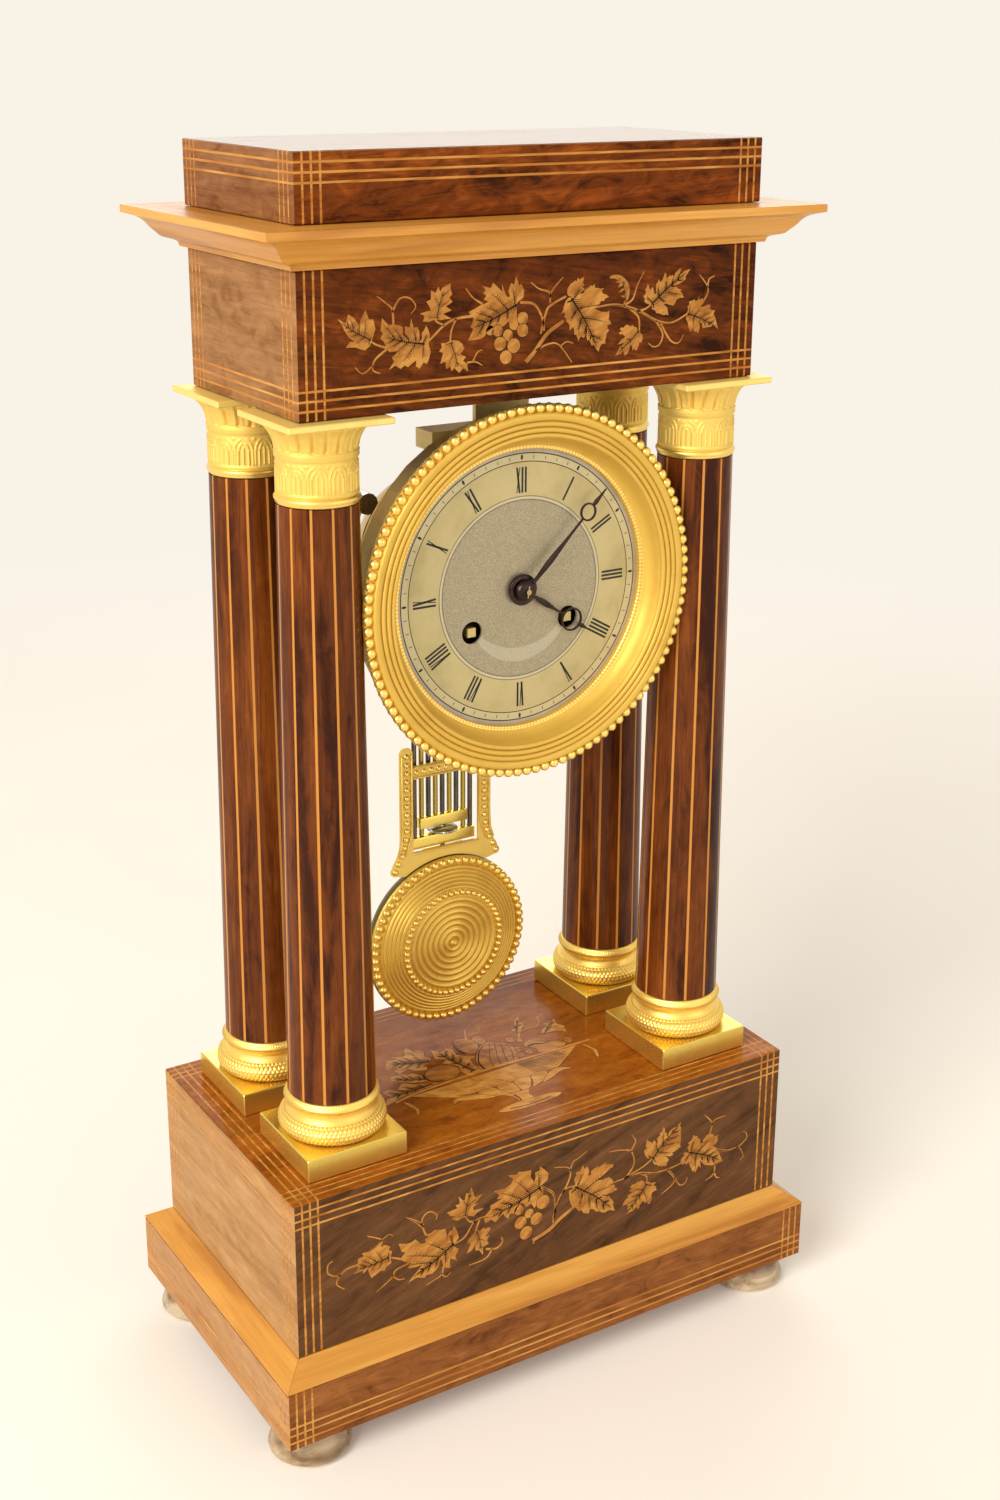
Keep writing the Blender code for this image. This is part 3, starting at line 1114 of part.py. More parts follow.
def gridiron():
    """Nine rods in three nested grids, held by crossbars; each grid ends just short of the next one's bar."""
    ends = ROD_COUNT // 2
    inside = TOP_BAR_HEIGHT / 2
    outer_top = TOP_BAR_Z
    middle_top = outer_top - TOP_BAR_STEP
    inner_top = middle_top - TOP_BAR_STEP
    lower_face = LOWER_BAR_Z + LOWER_BAR_HEIGHT
    upper_face = UPPER_BAR_Z + UPPER_BAR_HEIGHT

    outer = bar("gridiron_outer", ends * ROD_PITCH + BAR_END, LOWER_BAR_Z, LOWER_BAR_HEIGHT)
    joined(outer, bar("outer_top_bar", ends * ROD_PITCH + BAR_END, outer_top, TOP_BAR_HEIGHT))
    for index in (-ends, ends):
        joined(outer, grid_rod(index, lower_face - inside, outer_top + inside))
    chop_bottom = PIVOT_Z - CHOP_DROP - CHOP_HEIGHT
    joined(outer, rod("pendulum_rod", HANGER_ROD_RADIUS, (0.0, PENDULUM_Y, outer_top + inside),
                      (0.0, PENDULUM_Y, chop_bottom - SEAT_GAP), FACETS_SMALL))
    stud_hole = STUD_RADIUS + SEAT_GAP
    drill(outer, "stud", stud_hole, (0.0, PENDULUM_Y, LOWER_BAR_Z - CUT_OVERRUN),
          (0.0, PENDULUM_Y, lower_face + SEAT_GAP), FACETS_SMALL)

    middle = bar("gridiron_middle", (ends - 1) * ROD_PITCH + BAR_END, middle_top, TOP_BAR_HEIGHT)
    joined(middle, bar("upper_cross_bar", (ends - 1) * ROD_PITCH + BAR_END, UPPER_BAR_Z, UPPER_BAR_HEIGHT))
    for index in (1 - ends, ends - 1):
        joined(middle, grid_rod(index, lower_face + SEAT_GAP, middle_top + inside))
    for index in (2 - ends, ends - 2):
        joined(middle, grid_rod(index, upper_face - inside, middle_top + inside))

    inner = bar("gridiron_inner", (ends - 3) * ROD_PITCH + BAR_END, inner_top, TOP_BAR_HEIGHT)
    for index in (3 - ends, 0, ends - 3):
        joined(inner, grid_rod(index, upper_face + SEAT_GAP, inner_top + inside))


def pendulum_frame():
    """The pierced ornament frame over the gridiron: two bars with flared feet, a crossbar, and a web."""
    right = []
    arc = BOB_RADIUS + SEAT_GAP
    reach = math.asin((FRAME_HALF_WIDTH - FRAME_TIP_RADIUS) / arc)
    steps = 5
    for k in range(steps + 1):
        angle = reach * k / steps
        right.append((arc * math.sin(angle), arc * math.cos(angle)))
    tip = (FRAME_TIP_HALF_WIDTH - FRAME_TIP_RADIUS, FRAME_TIP_RISE)
    for degrees in (-100, -50, 0, 50):
        dx, dz = polar(FRAME_TIP_RADIUS, degrees)
        right.append((tip[0] + dx, tip[1] + dz))
    flare = FRAME_FLARE_RISE - FRAME_TIP_RISE
    splay = FRAME_TIP_HALF_WIDTH - FRAME_HALF_WIDTH
    for out, up in ((0.45, 0.35), (0.14, 0.65), (0.0, 1.0)):
        right.append((FRAME_HALF_WIDTH + splay * out, FRAME_TIP_RISE + flare * up))
    bar_radius = (FRAME_HALF_WIDTH - FRAME_INNER) / 2
    head = (FRAME_INNER + bar_radius, FRAME_TOP_RISE - bar_radius)
    for k in range(7):
        dx, dz = polar(bar_radius, 30 * k)
        right.append((head[0] + dx, head[1] + dz))
    right.append((FRAME_INNER, FRAME_BAR_RISE + FRAME_BAR_HEIGHT))
    outline = right + [(-x, z) for x, z in reversed(right) if x > 0]
    window = [
        (-FRAME_INNER, FRAME_WINDOW_RISE), (FRAME_INNER, FRAME_WINDOW_RISE),
        (FRAME_INNER, FRAME_BAR_RISE), (-FRAME_INNER, FRAME_BAR_RISE),
    ]
    middle_y = PENDULUM_Y - BAR_DEPTH / 2 - SEAT_GAP - FRAME_THICKNESS / 2
    plate("pendulum_frame", [outline, window], FRAME_THICKNESS, (0.0, middle_y, BOB_Z), GILT)


def bob():
    """The turned bob with its raised centre, the tab behind the frame, and the threaded stud."""
    face = [(BOB_RADIUS * r, BOB_RIM_FRONT + (BOB_CROWN - BOB_RIM_FRONT) * h) for r, h in BOB_FACE_SHARES]
    outline = [
        (0.0, BOB_CROWN - EDGE_BREAK),
        (BOB_INNER_RING - BOB_EDGE, BOB_CROWN - EDGE_BREAK),
        (BOB_INNER_RING - BOB_EDGE / 2, BOB_CROWN),
        (BOB_INNER_RING, BOB_CROWN - EDGE_BREAK),
        *reversed(face),
        (BOB_RADIUS, BOB_RIM_FRONT - BOB_EDGE / 2),
        (BOB_RADIUS, BOB_EDGE),
        (BOB_RADIUS - BOB_EDGE, -BOB_EDGE),
        (BOB_RADIUS - 2 * BOB_EDGE, -BOB_BACK),
        (0.0, -BOB_BACK),
    ]
    made = turned("pendulum_bob", outline, FACETS_DISC, GILT, (0.0, PENDULUM_Y, BOB_Z), FACING)
    tab_front = PENDULUM_Y - BAR_DEPTH / 2
    half = TAB_WIDTH / 2
    tab = box("bob_tab", (-half, tab_front, BOB_Z + BOB_RADIUS - 2 * BOB_EDGE),
              (half, tab_front + TAB_DEPTH, BOB_Z + TAB_RISE), BRASS)
    stud_top = UPPER_BAR_Z - 3 * SEAT_GAP
    stud = rod("bob_stud", STUD_RADIUS, (0.0, PENDULUM_Y, BOB_Z + TAB_RISE - TAB_DEPTH),
               (0.0, PENDULUM_Y, stud_top), FACETS_ROD, STEEL)
    joined(made, tab, stud)


def rating_nut():
    """The lens-shaped rating nut between the two lower bars."""
    bore = STUD_RADIUS + SEAT_GAP
    rim = NUT_THICKNESS / 6
    outline = [
        (bore, NUT_THICKNESS),
        (NUT_RADIUS * 0.55, NUT_THICKNESS),
        (NUT_RADIUS, NUT_THICKNESS / 2 + rim),
        (NUT_RADIUS, NUT_THICKNESS / 2 - rim),
        (NUT_RADIUS * 0.55, 0.0),
        (bore, 0.0),
    ]
    turned("rating_nut", outline, FACETS_COLUMN, BRASS, (0.0, PENDULUM_Y, NUT_Z))


feet()
case()
columns()
bezel_and_collar()
dial()
front_plate()
back_plate()
going_train()
barrels()
hands(motion_work())
hanger()
bell()
hammer()
suspension_cock()
crutch()
suspension_spring()
gridiron()
pendulum_frame()
bob()
rating_nut()
bpy.context.view_layer.update()
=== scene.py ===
# %% [markdown]
# # A portico clock, dressed for its portrait
# The clock's solids come ready made and packed: they are the frame, and they carry every joint. This lesson
# puts the finish on them. Flat pieces keep their solid and get a material; turned, chased and inlaid pieces
# are modelled again, finer, in the same place, and each rides on the body that it belongs to.

# %% Loading the frame
import math

import bmesh
import bpy
from mathutils import Matrix, Vector


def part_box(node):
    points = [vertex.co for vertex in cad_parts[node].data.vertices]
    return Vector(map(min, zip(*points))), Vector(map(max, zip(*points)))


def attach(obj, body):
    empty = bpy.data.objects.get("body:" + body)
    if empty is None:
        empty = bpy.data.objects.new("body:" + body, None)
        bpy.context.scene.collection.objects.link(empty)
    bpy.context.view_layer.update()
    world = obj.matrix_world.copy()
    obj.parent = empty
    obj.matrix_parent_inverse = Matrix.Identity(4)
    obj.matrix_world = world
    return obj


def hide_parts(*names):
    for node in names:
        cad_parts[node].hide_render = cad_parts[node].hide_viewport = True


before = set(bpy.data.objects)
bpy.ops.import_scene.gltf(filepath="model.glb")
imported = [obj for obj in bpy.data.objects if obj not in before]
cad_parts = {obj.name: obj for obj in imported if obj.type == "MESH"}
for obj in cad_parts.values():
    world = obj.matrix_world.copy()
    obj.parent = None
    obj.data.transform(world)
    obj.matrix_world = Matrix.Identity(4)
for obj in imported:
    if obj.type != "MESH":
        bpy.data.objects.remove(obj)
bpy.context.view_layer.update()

MM = 0.001

# %% [markdown]
# ## Camera
# The photographer stood a little to the left of the clock and looked down on it. The place and the two turns
# below give the same view. A small shift moves the picture's centre without bending the uprights.

# %% Camera
CAMERA_PLACE = Vector((-0.4001, -0.6612, 0.5443))
CAMERA_YAW = 0.55654
CAMERA_PITCH = -0.32216
CAMERA_ROLL = 0.00543
CAMERA_LENS = 47.773

ahead = Vector((math.sin(CAMERA_YAW) * math.cos(CAMERA_PITCH),
                math.cos(CAMERA_YAW) * math.cos(CAMERA_PITCH), math.sin(CAMERA_PITCH)))
level = Vector((math.cos(CAMERA_YAW), -math.sin(CAMERA_YAW), 0.0))
upright = level.cross(ahead)
across = level * math.cos(CAMERA_ROLL) + upright * math.sin(CAMERA_ROLL)
upward = upright * math.cos(CAMERA_ROLL) - level * math.sin(CAMERA_ROLL)
turn = Matrix((across, upward, -ahead)).transposed().to_4x4()

lens = bpy.data.cameras.new("camera")
lens.sensor_fit = "VERTICAL"
lens.sensor_height = 36.0
lens.lens = CAMERA_LENS
lens.shift_y = -0.04
lens.clip_start = 0.01
camera = bpy.data.objects.new("camera", lens)
bpy.context.scene.collection.objects.link(camera)
camera.matrix_world = Matrix.Translation(CAMERA_PLACE) @ turn
bpy.context.scene.camera = camera
print("camera at", [round(v, 3) for v in CAMERA_PLACE])

# %% [markdown]
# ## Helpers for nodes
# Materials here are node trees. A wire stands for a node's output, and sums with wires add the nodes that
# work them out, so that a pattern reads like the arithmetic it is. Further helpers name the few nodes that
# are used all the time, and one makes a node group, for an effect that several finishes share.

# %% Wires
class Wire:
    """A value that changes over a surface; sums with it add nodes."""

    def __init__(self, socket):
        self.socket = socket
        self.tree = socket.id_data

    def __add__(self, other):
        return calc("ADD", self, other)

    def __sub__(self, other):
        return calc("SUBTRACT", self, other)

    def __rsub__(self, other):
        return calc("SUBTRACT", other, self)

    def __mul__(self, other):
        return calc("MULTIPLY", self, other)

    def __truediv__(self, other):
        return calc("DIVIDE", self, other)

    def __lt__(self, other):
        return calc("LESS_THAN", self, other)

    def __gt__(self, other):
        return calc("GREATER_THAN", self, other)

    def __abs__(self):
        return calc("ABSOLUTE", self)


class Outputs:
    """A node's outputs as wires, by number or by name."""

    def __init__(self, sockets):
        self.sockets = sockets

    def __getitem__(self, key):
        return Wire(self.sockets[key])


def feed(inputs, wires):
    """Links each wire to its input, and sets any other value on it."""
    for name, value in wires.items():
        if isinstance(value, Wire):
            value.tree.links.new(value.socket, inputs[name])
        else:
            inputs[name].default_value = value


def node(tree, kind, wires, **settings):
    """Adds a node and gives its outputs."""
    made = tree.nodes.new(kind)
    for name, value in settings.items():
        setattr(made, name, value)
    feed(made.inputs, wires)
    return Outputs(made.outputs)


def tree_of(*values):
    return next(value.tree for value in values if isinstance(value, Wire))


def calc(operation, *values):
    """One arithmetic step."""
    return node(tree_of(*values), "ShaderNodeMath", dict(enumerate(values)), operation=operation)[0]


print("wires ready")

# %% Node helpers
def blend(share, first, second, how="MIX"):
    """Two colours mixed by a share."""
    wires = {0: share, 6: first, 7: second}
    return node(tree_of(share, first, second), "ShaderNodeMix", wires, data_type="RGBA", blend_type=how)[2]


def remap(value, low, high, new_low=0.0, new_high=1.0, kind="SMOOTHSTEP"):
    """A value stretched from one span to another."""
    wires = {"Value": value, "From Min": low, "From Max": high, "To Min": new_low, "To Max": new_high}
    return node(value.tree, "ShaderNodeMapRange", wires, interpolation_type=kind)[0]


def noise(vector, scale, detail=2.0, roughness=0.5, distortion=0.0):
    """Noise between about 0.3 and 0.7."""
    wires = {"Vector": vector, "Scale": scale, "Detail": detail, "Roughness": roughness,
             "Distortion": distortion}
    return node(vector.tree, "ShaderNodeTexNoise", wires)[0]


def stretch(vector, scale, rotation=(0.0, 0.0, 0.0)):
    """A vector with its axes scaled apart, so that noise turns into streaks."""
    return node(vector.tree, "ShaderNodeMapping", {"Vector": vector, "Scale": scale, "Rotation": rotation})[0]


def split(vector):
    return node(vector.tree, "ShaderNodeSeparateXYZ", {0: vector})


def joined(x, y, z):
    return node(tree_of(x, y, z), "ShaderNodeCombineXYZ", {0: x, 1: y, 2: z})[0]


def length_of(vector):
    return node(vector.tree, "ShaderNodeVectorMath", {0: vector}, operation="LENGTH")["Value"]


def grey(value):
    return node(value.tree, "ShaderNodeCombineColor", {0: value, 1: value, 2: value})[0]


def bump(height, strength, distance):
    """A normal that follows a height."""
    wires = {"Height": height, "Strength": strength, "Distance": distance}
    return node(height.tree, "ShaderNodeBump", wires)[0]


def surface(tree):
    """The surface's place and direction."""
    return node(tree, "ShaderNodeTexCoord", {})


def turn_and_height(tree):
    """The share of the turn and the height, from a turned piece's UV map."""
    share, height, _ = split(node(tree, "ShaderNodeUVMap", {})[0])
    return share, height


def larger(first, second):
    return calc("MAXIMUM", first, second)


def colour(red, green, blue):
    """A colour as it is read off a screen, from 0 to 255, as the linear values that shaders want."""
    def linear(value):
        share = value / 255
        return share / 12.92 if share <= 0.04045 else ((share + 0.055) / 1.055) ** 2.4
    return (linear(red), linear(green), linear(blue), 1.0)


def colours(*rows):
    return tuple(colour(*row) for row in rows)


def node_group(name, inputs, outputs):
    """A group with named sockets; an input's kind follows from its value, None for a vector."""
    tree = bpy.data.node_groups.new(name, "ShaderNodeTree")
    for label, value in inputs.items():
        kind = "Vector" if value is None else "Color" if isinstance(value, tuple) else "Float"
        socket = tree.interface.new_socket(label, in_out="INPUT", socket_type=f"NodeSocket{kind}")
        if value is not None:
            socket.default_value = value
    for label, kind in outputs.items():
        tree.interface.new_socket(label, in_out="OUTPUT", socket_type=f"NodeSocket{kind}")
    return tree, node(tree, "NodeGroupInput", {}), tree.nodes.new("NodeGroupOutput").inputs


def placed(group, wires):
    """A group placed in a material or another group with its own values."""
    return node(tree_of(*wires.values()), "ShaderNodeGroup", wires, node_tree=group)


def new_material(name, **shader_values):
    """A material and its shader's inputs; plain values go straight on them."""
    made = bpy.data.materials.new(name)
    made.use_nodes = True
    inputs = made.node_tree.nodes["Principled BSDF"].inputs
    feed(inputs, {label.replace("_", " "): value for label, value in shader_values.items()})
    return made, made.node_tree, inputs


print("node helpers ready")

# %% [markdown]
# ## Veneer
# Rosewood veneer is red-brown with flowing near-black bands, fine fibres and short open pores. A photograph
# could be wrapped on, but layered noise stretched along the grain gives the same at any size, with no
# seams. Figure, fibres and pores are one group, used by every wood with its own colours.

# %% Wood figure group
wood_figure, given, result = node_group(
    "wood_figure",
    {"Vector": None, "Dark": (0, 0, 0, 1), "Middle": (0.1, 0.05, 0.02, 1), "Light": (0.2, 0.1, 0.05, 1),
     "Figure": 55.0, "Burl": 0.0, "Streaks": 0.6, "Fibres": 0.3, "Pores": 0.5},
    {"Color": "Color", "Height": "Float", "Sheen": "Float"},
)


def drawn_out(along, *settings):
    """Noise drawn out along the grain."""
    return noise(stretch(given["Vector"], (along, 1.0, 1.0)), *settings)


straight = drawn_out(0.10, given["Figure"], 3.0, 0.55, 0.9)
patchy = drawn_out(0.45, given["Figure"] * 1.5, 6.0, 0.65, 1.2)
bands = straight + (patchy - straight) * given["Burl"]
low_half = blend(remap(bands, 0.36, 0.50), given["Dark"], given["Middle"])
figure = blend(remap(bands, 0.48, 0.66), low_half, given["Light"])
streak_noise = drawn_out(0.07, 260.0, 3.0, 0.6, 0.5)
streaked = blend(remap(streak_noise, 0.52, 0.64) * given["Streaks"], figure, given["Dark"])
fibre_noise = drawn_out(0.03, 1500.0)
fibre_tone = grey(remap(fibre_noise, 0.3, 0.7, 0.45, 1.0, "LINEAR"))
fibred = blend(given["Fibres"], streaked, fibre_tone, "MULTIPLY")
pore = remap(drawn_out(0.05, 1300.0, 1.0), 0.62, 0.70) * given["Pores"]
feed(result, {
    "Color": blend(pore, fibred, given["Dark"]),
    "Height": calc("MULTIPLY_ADD", pore, -1.0, fibre_noise),
    "Sheen": calc("MULTIPLY_ADD", pore, 0.25, streak_noise),
})


def wood(vector, tones, figure, streaks, fibres, pores, burl=0.0):
    """The figure of one wood, from its dark, middle and light tones."""
    return placed(wood_figure, {
        "Vector": vector, "Dark": tones[0], "Middle": tones[1], "Light": tones[2], "Figure": figure,
        "Streaks": streaks, "Fibres": fibres, "Pores": pores, "Burl": burl,
    })


def wood_skin(grain, smooth, rough, strength, depth):
    """The roughness and fine relief that a figure gives a shader."""
    return {"Roughness": remap(grain["Sheen"], 0.3, 0.8, smooth, rough),
            "Normal": bump(grain["Height"], strength, depth)}


print("wood figure group:", len(wood_figure.nodes), "nodes")

# %% [markdown]
# ## Stringing
# Three thin light lines run beside the edges of each box, let into the veneer and polished flush. They could
# be strips of geometry, but flush lines have no height, so a mask does it: the distance from an edge is
# compared with three line places. The masks know the face they are on by its normal.

# %% Stringing group
LINE_FIRST = 3.6 * MM
LINE_PITCH = 3.4 * MM
LINE_HALF = 0.42 * MM
LAST_LINE = 2.0
SQUARE_ON = 0.7

string_lines, given, result = node_group("string_lines", {"Distance": 0.0}, {"Mask": "Float"})
steps_in = (given["Distance"] - LINE_FIRST) / LINE_PITCH
nearest = calc("MINIMUM", calc("MAXIMUM", calc("ROUND", steps_in), 0.0), LAST_LINE)
half_share = LINE_HALF / LINE_PITCH
feed(result, {"Mask": remap(abs(steps_in - nearest), half_share * 1.15, half_share * 0.85)})

box_stringing, given, result = node_group(
    "box_stringing",
    {"Position": None, "Normal": None, "Half Width": 0.1, "Half Depth": 0.05, "Bottom": 0.0, "Top": 0.1,
     "Line Bottom": 0.0, "Line Top": 0.0, "Line Upper Face": 0.0},
    {"Mask": "Float"},
)
x, y, z = split(given["Position"])
facing_x, facing_y, facing_z = split(given["Normal"])


def lines_at(distance):
    return placed(string_lines, {"Distance": distance})["Mask"]


lines_x = lines_at(given["Half Width"] - abs(x))
lines_y = lines_at(given["Half Depth"] - abs(y))
level_lines = larger(lines_at(z - given["Bottom"]) * given["Line Bottom"],
                     lines_at(given["Top"] - z) * given["Line Top"])
front_mask = (facing_y < -SQUARE_ON) * larger(lines_x, level_lines)
side_mask = (abs(facing_x) > SQUARE_ON) * larger(lines_y, level_lines)
top_mask = (facing_z > SQUARE_ON) * given["Line Upper Face"] * larger(lines_x, lines_y)
feed(result, {"Mask": larger(larger(front_mask, side_mask), top_mask)})
places = [round((LINE_FIRST + k * LINE_PITCH) / MM, 1) for k in range(3)]
print("stringing: lines at", places, "mm from the edges")

# %% [markdown]
# ## Which way the grain runs
# Veneer is laid with its grain along each face, so a side's grain runs from front to back. Noise in space
# would show end grain there. This group turns the position so that its first axis is always along the face.

# %% Grain direction group
grain_along, given, result = node_group("grain_along", {"Position": None, "Sideways": 0.0},
                                        {"Vector": "Vector"})
x, y, z = split(given["Position"])
chosen = node(grain_along, "ShaderNodeMix", {0: given["Sideways"], 4: joined(x, y, z), 5: joined(y, x, z)},
              data_type="VECTOR")
feed(result, {"Vector": chosen[1]})
print("grain direction group ready")

# %% [markdown]
# ## Rosewood boxes
# Plinth, base, frieze and top box are carcasses under veneer, French polished. Their solids have the right
# shape and broken edges, so they stay and only get a finish each: the same wood, but each box was cut from
# another part of the log and has its own tone. The sides take lighter tones of their own, painted light from
# the lamp at the left; the upper faces of base and top box take tones that are partly the veneer's own colour
# and partly painted light, on the top box with a painted pale haze of reflection. The polish is a clear coat
# over a soft base.

# %% Rosewood for the boxes
STRING_TONES = colours((180, 112, 46), (200, 133, 60), (218, 158, 80))


def paint(finish, *node_names):
    """Gives solids that stay a better material."""
    for name in node_names:
        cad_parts[name].data.materials.clear()
        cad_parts[name].data.materials.append(finish)


def boxed_rosewood(name, node_name, figure, lines, tones, lit_side_tones, lit_top_tones=None, turn=0.0,
                   top_polish=0.1, burl=0.6):
    """Rosewood with the stringing of one box; lines are bottom, top and upper face. Side tones are painted
    light, upper-face tones partly painted light.
    """
    low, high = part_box(node_name)
    made, tree, inputs = new_material(name, Specular_IOR_Level=0.03, Coat_Roughness=0.14)
    here = surface(tree)
    stringing = placed(box_stringing, {
        "Position": here["Object"], "Normal": here["Normal"], "Half Width": (high.x - low.x) / 2,
        "Half Depth": (high.y - low.y) / 2, "Bottom": low.z, "Top": high.z,
        "Line Bottom": lines[0], "Line Top": lines[1], "Line Upper Face": lines[2],
    })["Mask"]
    facing_x, facing_y, facing_z = split(here["Normal"])
    sideways = abs(facing_x) > SQUARE_ON
    on_top = facing_z > SQUARE_ON
    # Painted light: sides take lighter tones as if lit from the left, upper faces tones partly painted light.
    front_and_lit_side_tones = [blend(sideways, *pair) for pair in zip(tones, lit_side_tones)]
    tones_with_painted_light = [blend(on_top, *pair) for pair in zip(front_and_lit_side_tones, lit_top_tones or tones)]
    turned_grain = stretch(here["Object"], (1.0, 1.0, 1.0), (0.0, turn, 0.0))
    along = placed(grain_along, {"Position": turned_grain, "Sideways": sideways})["Vector"]
    rosewood = wood(along, tones_with_painted_light, figure, 0.25, 0.38, 0.4, burl)
    string = wood(along, STRING_TONES, 300.0, 0.1, 0.35, 0.1)
    feed(inputs, {
        "Base Color": blend(stringing, rosewood["Color"], string["Color"]),
        "Coat Weight": calc("MULTIPLY_ADD", on_top, top_polish, 0.02),
        **wood_skin(rosewood, 0.28, 0.46, 0.12, 0.15 * MM),
    })
    paint(made, node_name)


# Front tones, then side tones with painted light from the left, then upper-face tones partly painted light.
boxed_rosewood("rosewood_plinth", "plinth", 90.0, (1.0, 0.0, 0.0),
               colours((108, 62, 30), (144, 87, 43), (168, 106, 56)),
               colours((168, 118, 70), (190, 140, 90), (204, 156, 106)))
boxed_rosewood("rosewood_base", "base_box", 90.0, (0.0, 1.0, 1.0),
               colours((76, 50, 30), (103, 68, 41), (124, 83, 51)),
               colours((168, 121, 72), (188, 141, 90), (202, 157, 108)),
               colours((134, 71, 15), (168, 93, 22), (190, 115, 36)), turn=0.35, top_polish=0.06, burl=0.45)
boxed_rosewood("rosewood_frieze", "frieze_box", 95.0, (1.0, 0.0, 0.0),
               colours((50, 22, 6), (97, 47, 14), (136, 67, 22)),
               colours((138, 92, 50), (162, 114, 70), (180, 132, 86)), turn=-0.15)
boxed_rosewood("rosewood_top", "top_box", 95.0, (0.0, 1.0, 0.0),
               colours((60, 27, 7), (119, 58, 16), (163, 84, 26)),
               colours((118, 68, 34), (146, 96, 56), (164, 114, 70)),
               colours((112, 66, 36), (140, 92, 56), (162, 112, 72)), turn=0.08, top_polish=0.9)
print("rosewood on four boxes")

# %% [markdown]
# ## Helpers for turned and cut shapes
# Most of the clock was made on a lathe, so most pieces start as a half outline that is spun about an axis.
# The operator leaves doubled points where the turn closes and at the poles, so they are merged and the
# normals made to point outwards before anything else happens. Flat pieces start as outlines that are filled.

# %% Shape helpers
WELD = 0.002 * MM
UPRIGHT = Matrix.Identity(4)
FACING = Matrix.Rotation(math.radians(90), 4, "X")
FULL_TURN = 2 * math.pi
CORNERS = ("front_left", "front_right", "rear_left", "rear_right")


def in_mm(points):
    return [(a * MM, b * MM) for a, b in points]


def spun(outline, steps, closed=False):
    """A turned body about Z from (radius, height) points; closed joins the last point to the first."""
    work = bmesh.new()
    points = [work.verts.new((radius, 0.0, height)) for radius, height in outline]
    edges = [work.edges.new(pair) for pair in zip(points, points[1:])]
    if closed:
        edges.append(work.edges.new((points[-1], points[0])))
    bmesh.ops.spin(work, geom=points + edges, cent=(0, 0, 0), axis=(0, 0, 1), angle=FULL_TURN, steps=steps,
                   use_merge=True)
    bmesh.ops.remove_doubles(work, verts=work.verts, dist=WELD)
    bmesh.ops.recalc_face_normals(work, faces=work.faces)
    return work


def arc(centre, radius, start, end, steps):
    """Points along an arc, angles in degrees."""
    angles = [math.radians(start + (end - start) * k / steps) for k in range(steps + 1)]
    return [(centre[0] + radius * math.cos(angle), centre[1] + radius * math.sin(angle)) for angle in angles]


def ring_points(radius, steps, centre=(0.0, 0.0)):
    return arc(centre, radius, 0.0, 360.0 * (steps - 1) / steps, steps - 1)


def smooth_line(points, pieces=6):
    """A smooth curve through points, with the same number of pieces between each two."""
    out = []
    last = len(points) - 1
    for i in range(last):
        before, start, end, after = [Vector(points[max(0, min(last, i + k))]) for k in (-1, 0, 1, 2)]
        bend = 2 * before - 5 * start + 4 * end - after
        twist = 3 * start - before - 3 * end + after
        for j in range(pieces):
            t = j / pieces
            out.append(tuple(start + 0.5 * ((end - before) * t + bend * t * t + twist * t * t * t)))
    out.append(tuple(points[last]))
    return out


def moved_verts(found):
    return [v for v in found if isinstance(v, bmesh.types.BMVert)]


def thickened(work, bottom, top):
    """Gives flat faces on the plane Z = 0 a thickness, from a bottom to a top."""
    bmesh.ops.translate(work, verts=work.verts, vec=(0, 0, bottom))
    raised = bmesh.ops.extrude_face_region(work, geom=list(work.faces))["geom"]
    bmesh.ops.translate(work, verts=moved_verts(raised), vec=(0, 0, top - bottom))
    bmesh.ops.recalc_face_normals(work, faces=work.faces)
    return work


def flat_shape(outlines, bottom, top):
    """A flat piece lying in XY, from closed outlines; the ones inside others are holes."""
    work = bmesh.new()
    edges = []
    for outline in outlines:
        loop = [work.verts.new((x, y, 0.0)) for x, y in outline]
        edges += [work.edges.new(pair) for pair in zip(loop, loop[1:] + loop[:1])]
    bmesh.ops.triangle_fill(work, use_beauty=True, edges=edges)
    return thickened(work, bottom, top)


def soften(work, width, angle=35.0, segments=2):
    """Rounds the edges sharper than an angle."""
    sharp = [e for e in work.edges if len(e.link_faces) == 2 and e.calc_face_angle() > math.radians(angle)]
    bmesh.ops.bevel(work, geom=sharp, offset=width, offset_type="OFFSET", affect="EDGES", segments=segments,
                    profile=0.5, material=-1, clamp_overlap=True)
    return work


def block(low, high, edge):
    """A rectangular block between two corners, with its edges rounded a little."""
    low, high = Vector(low), Vector(high)
    work = bmesh.new()
    bmesh.ops.create_cube(work, size=1.0)
    bmesh.ops.scale(work, vec=high - low, verts=work.verts)
    bmesh.ops.translate(work, vec=(low + high) / 2, verts=work.verts)
    return soften(work, edge)


def pin(radius, start, end, steps=24, edge=0.0):
    """A round rod between two points."""
    start, end = Vector(start), Vector(end)
    length = (end - start).length
    outline = [(0.0, 0.0), (radius - edge, 0.0), (radius, edge), (radius, length - edge),
               (radius - edge, length), (0.0, length)]
    if not edge:
        outline = outline[:2] + outline[4:]
    aim = (end - start).to_track_quat("Z", "Y").to_matrix().to_4x4()
    return placed_shape(spun(outline, steps), start, aim)


def placed_shape(work, place=(0.0, 0.0, 0.0), stance=UPRIGHT):
    bmesh.ops.transform(work, matrix=Matrix.Translation(place) @ stance, verts=work.verts)
    return work


print("shape helpers ready")

# %% Piece helpers
def gathered(*works):
    """Several shapes in one mesh."""
    total = works[0]
    for work in works[1:]:
        mesh = bpy.data.meshes.new("part")
        work.to_mesh(mesh)
        work.free()
        total.from_mesh(mesh)
        bpy.data.meshes.remove(mesh)
    return total


def add_bead(work, spot, radius, flatten=1.0):
    """One small round bead."""
    at = Matrix.Translation(spot) @ Matrix.Diagonal((1.0, 1.0, flatten, 1.0))
    bmesh.ops.create_icosphere(work, subdivisions=2, radius=radius, matrix=at)


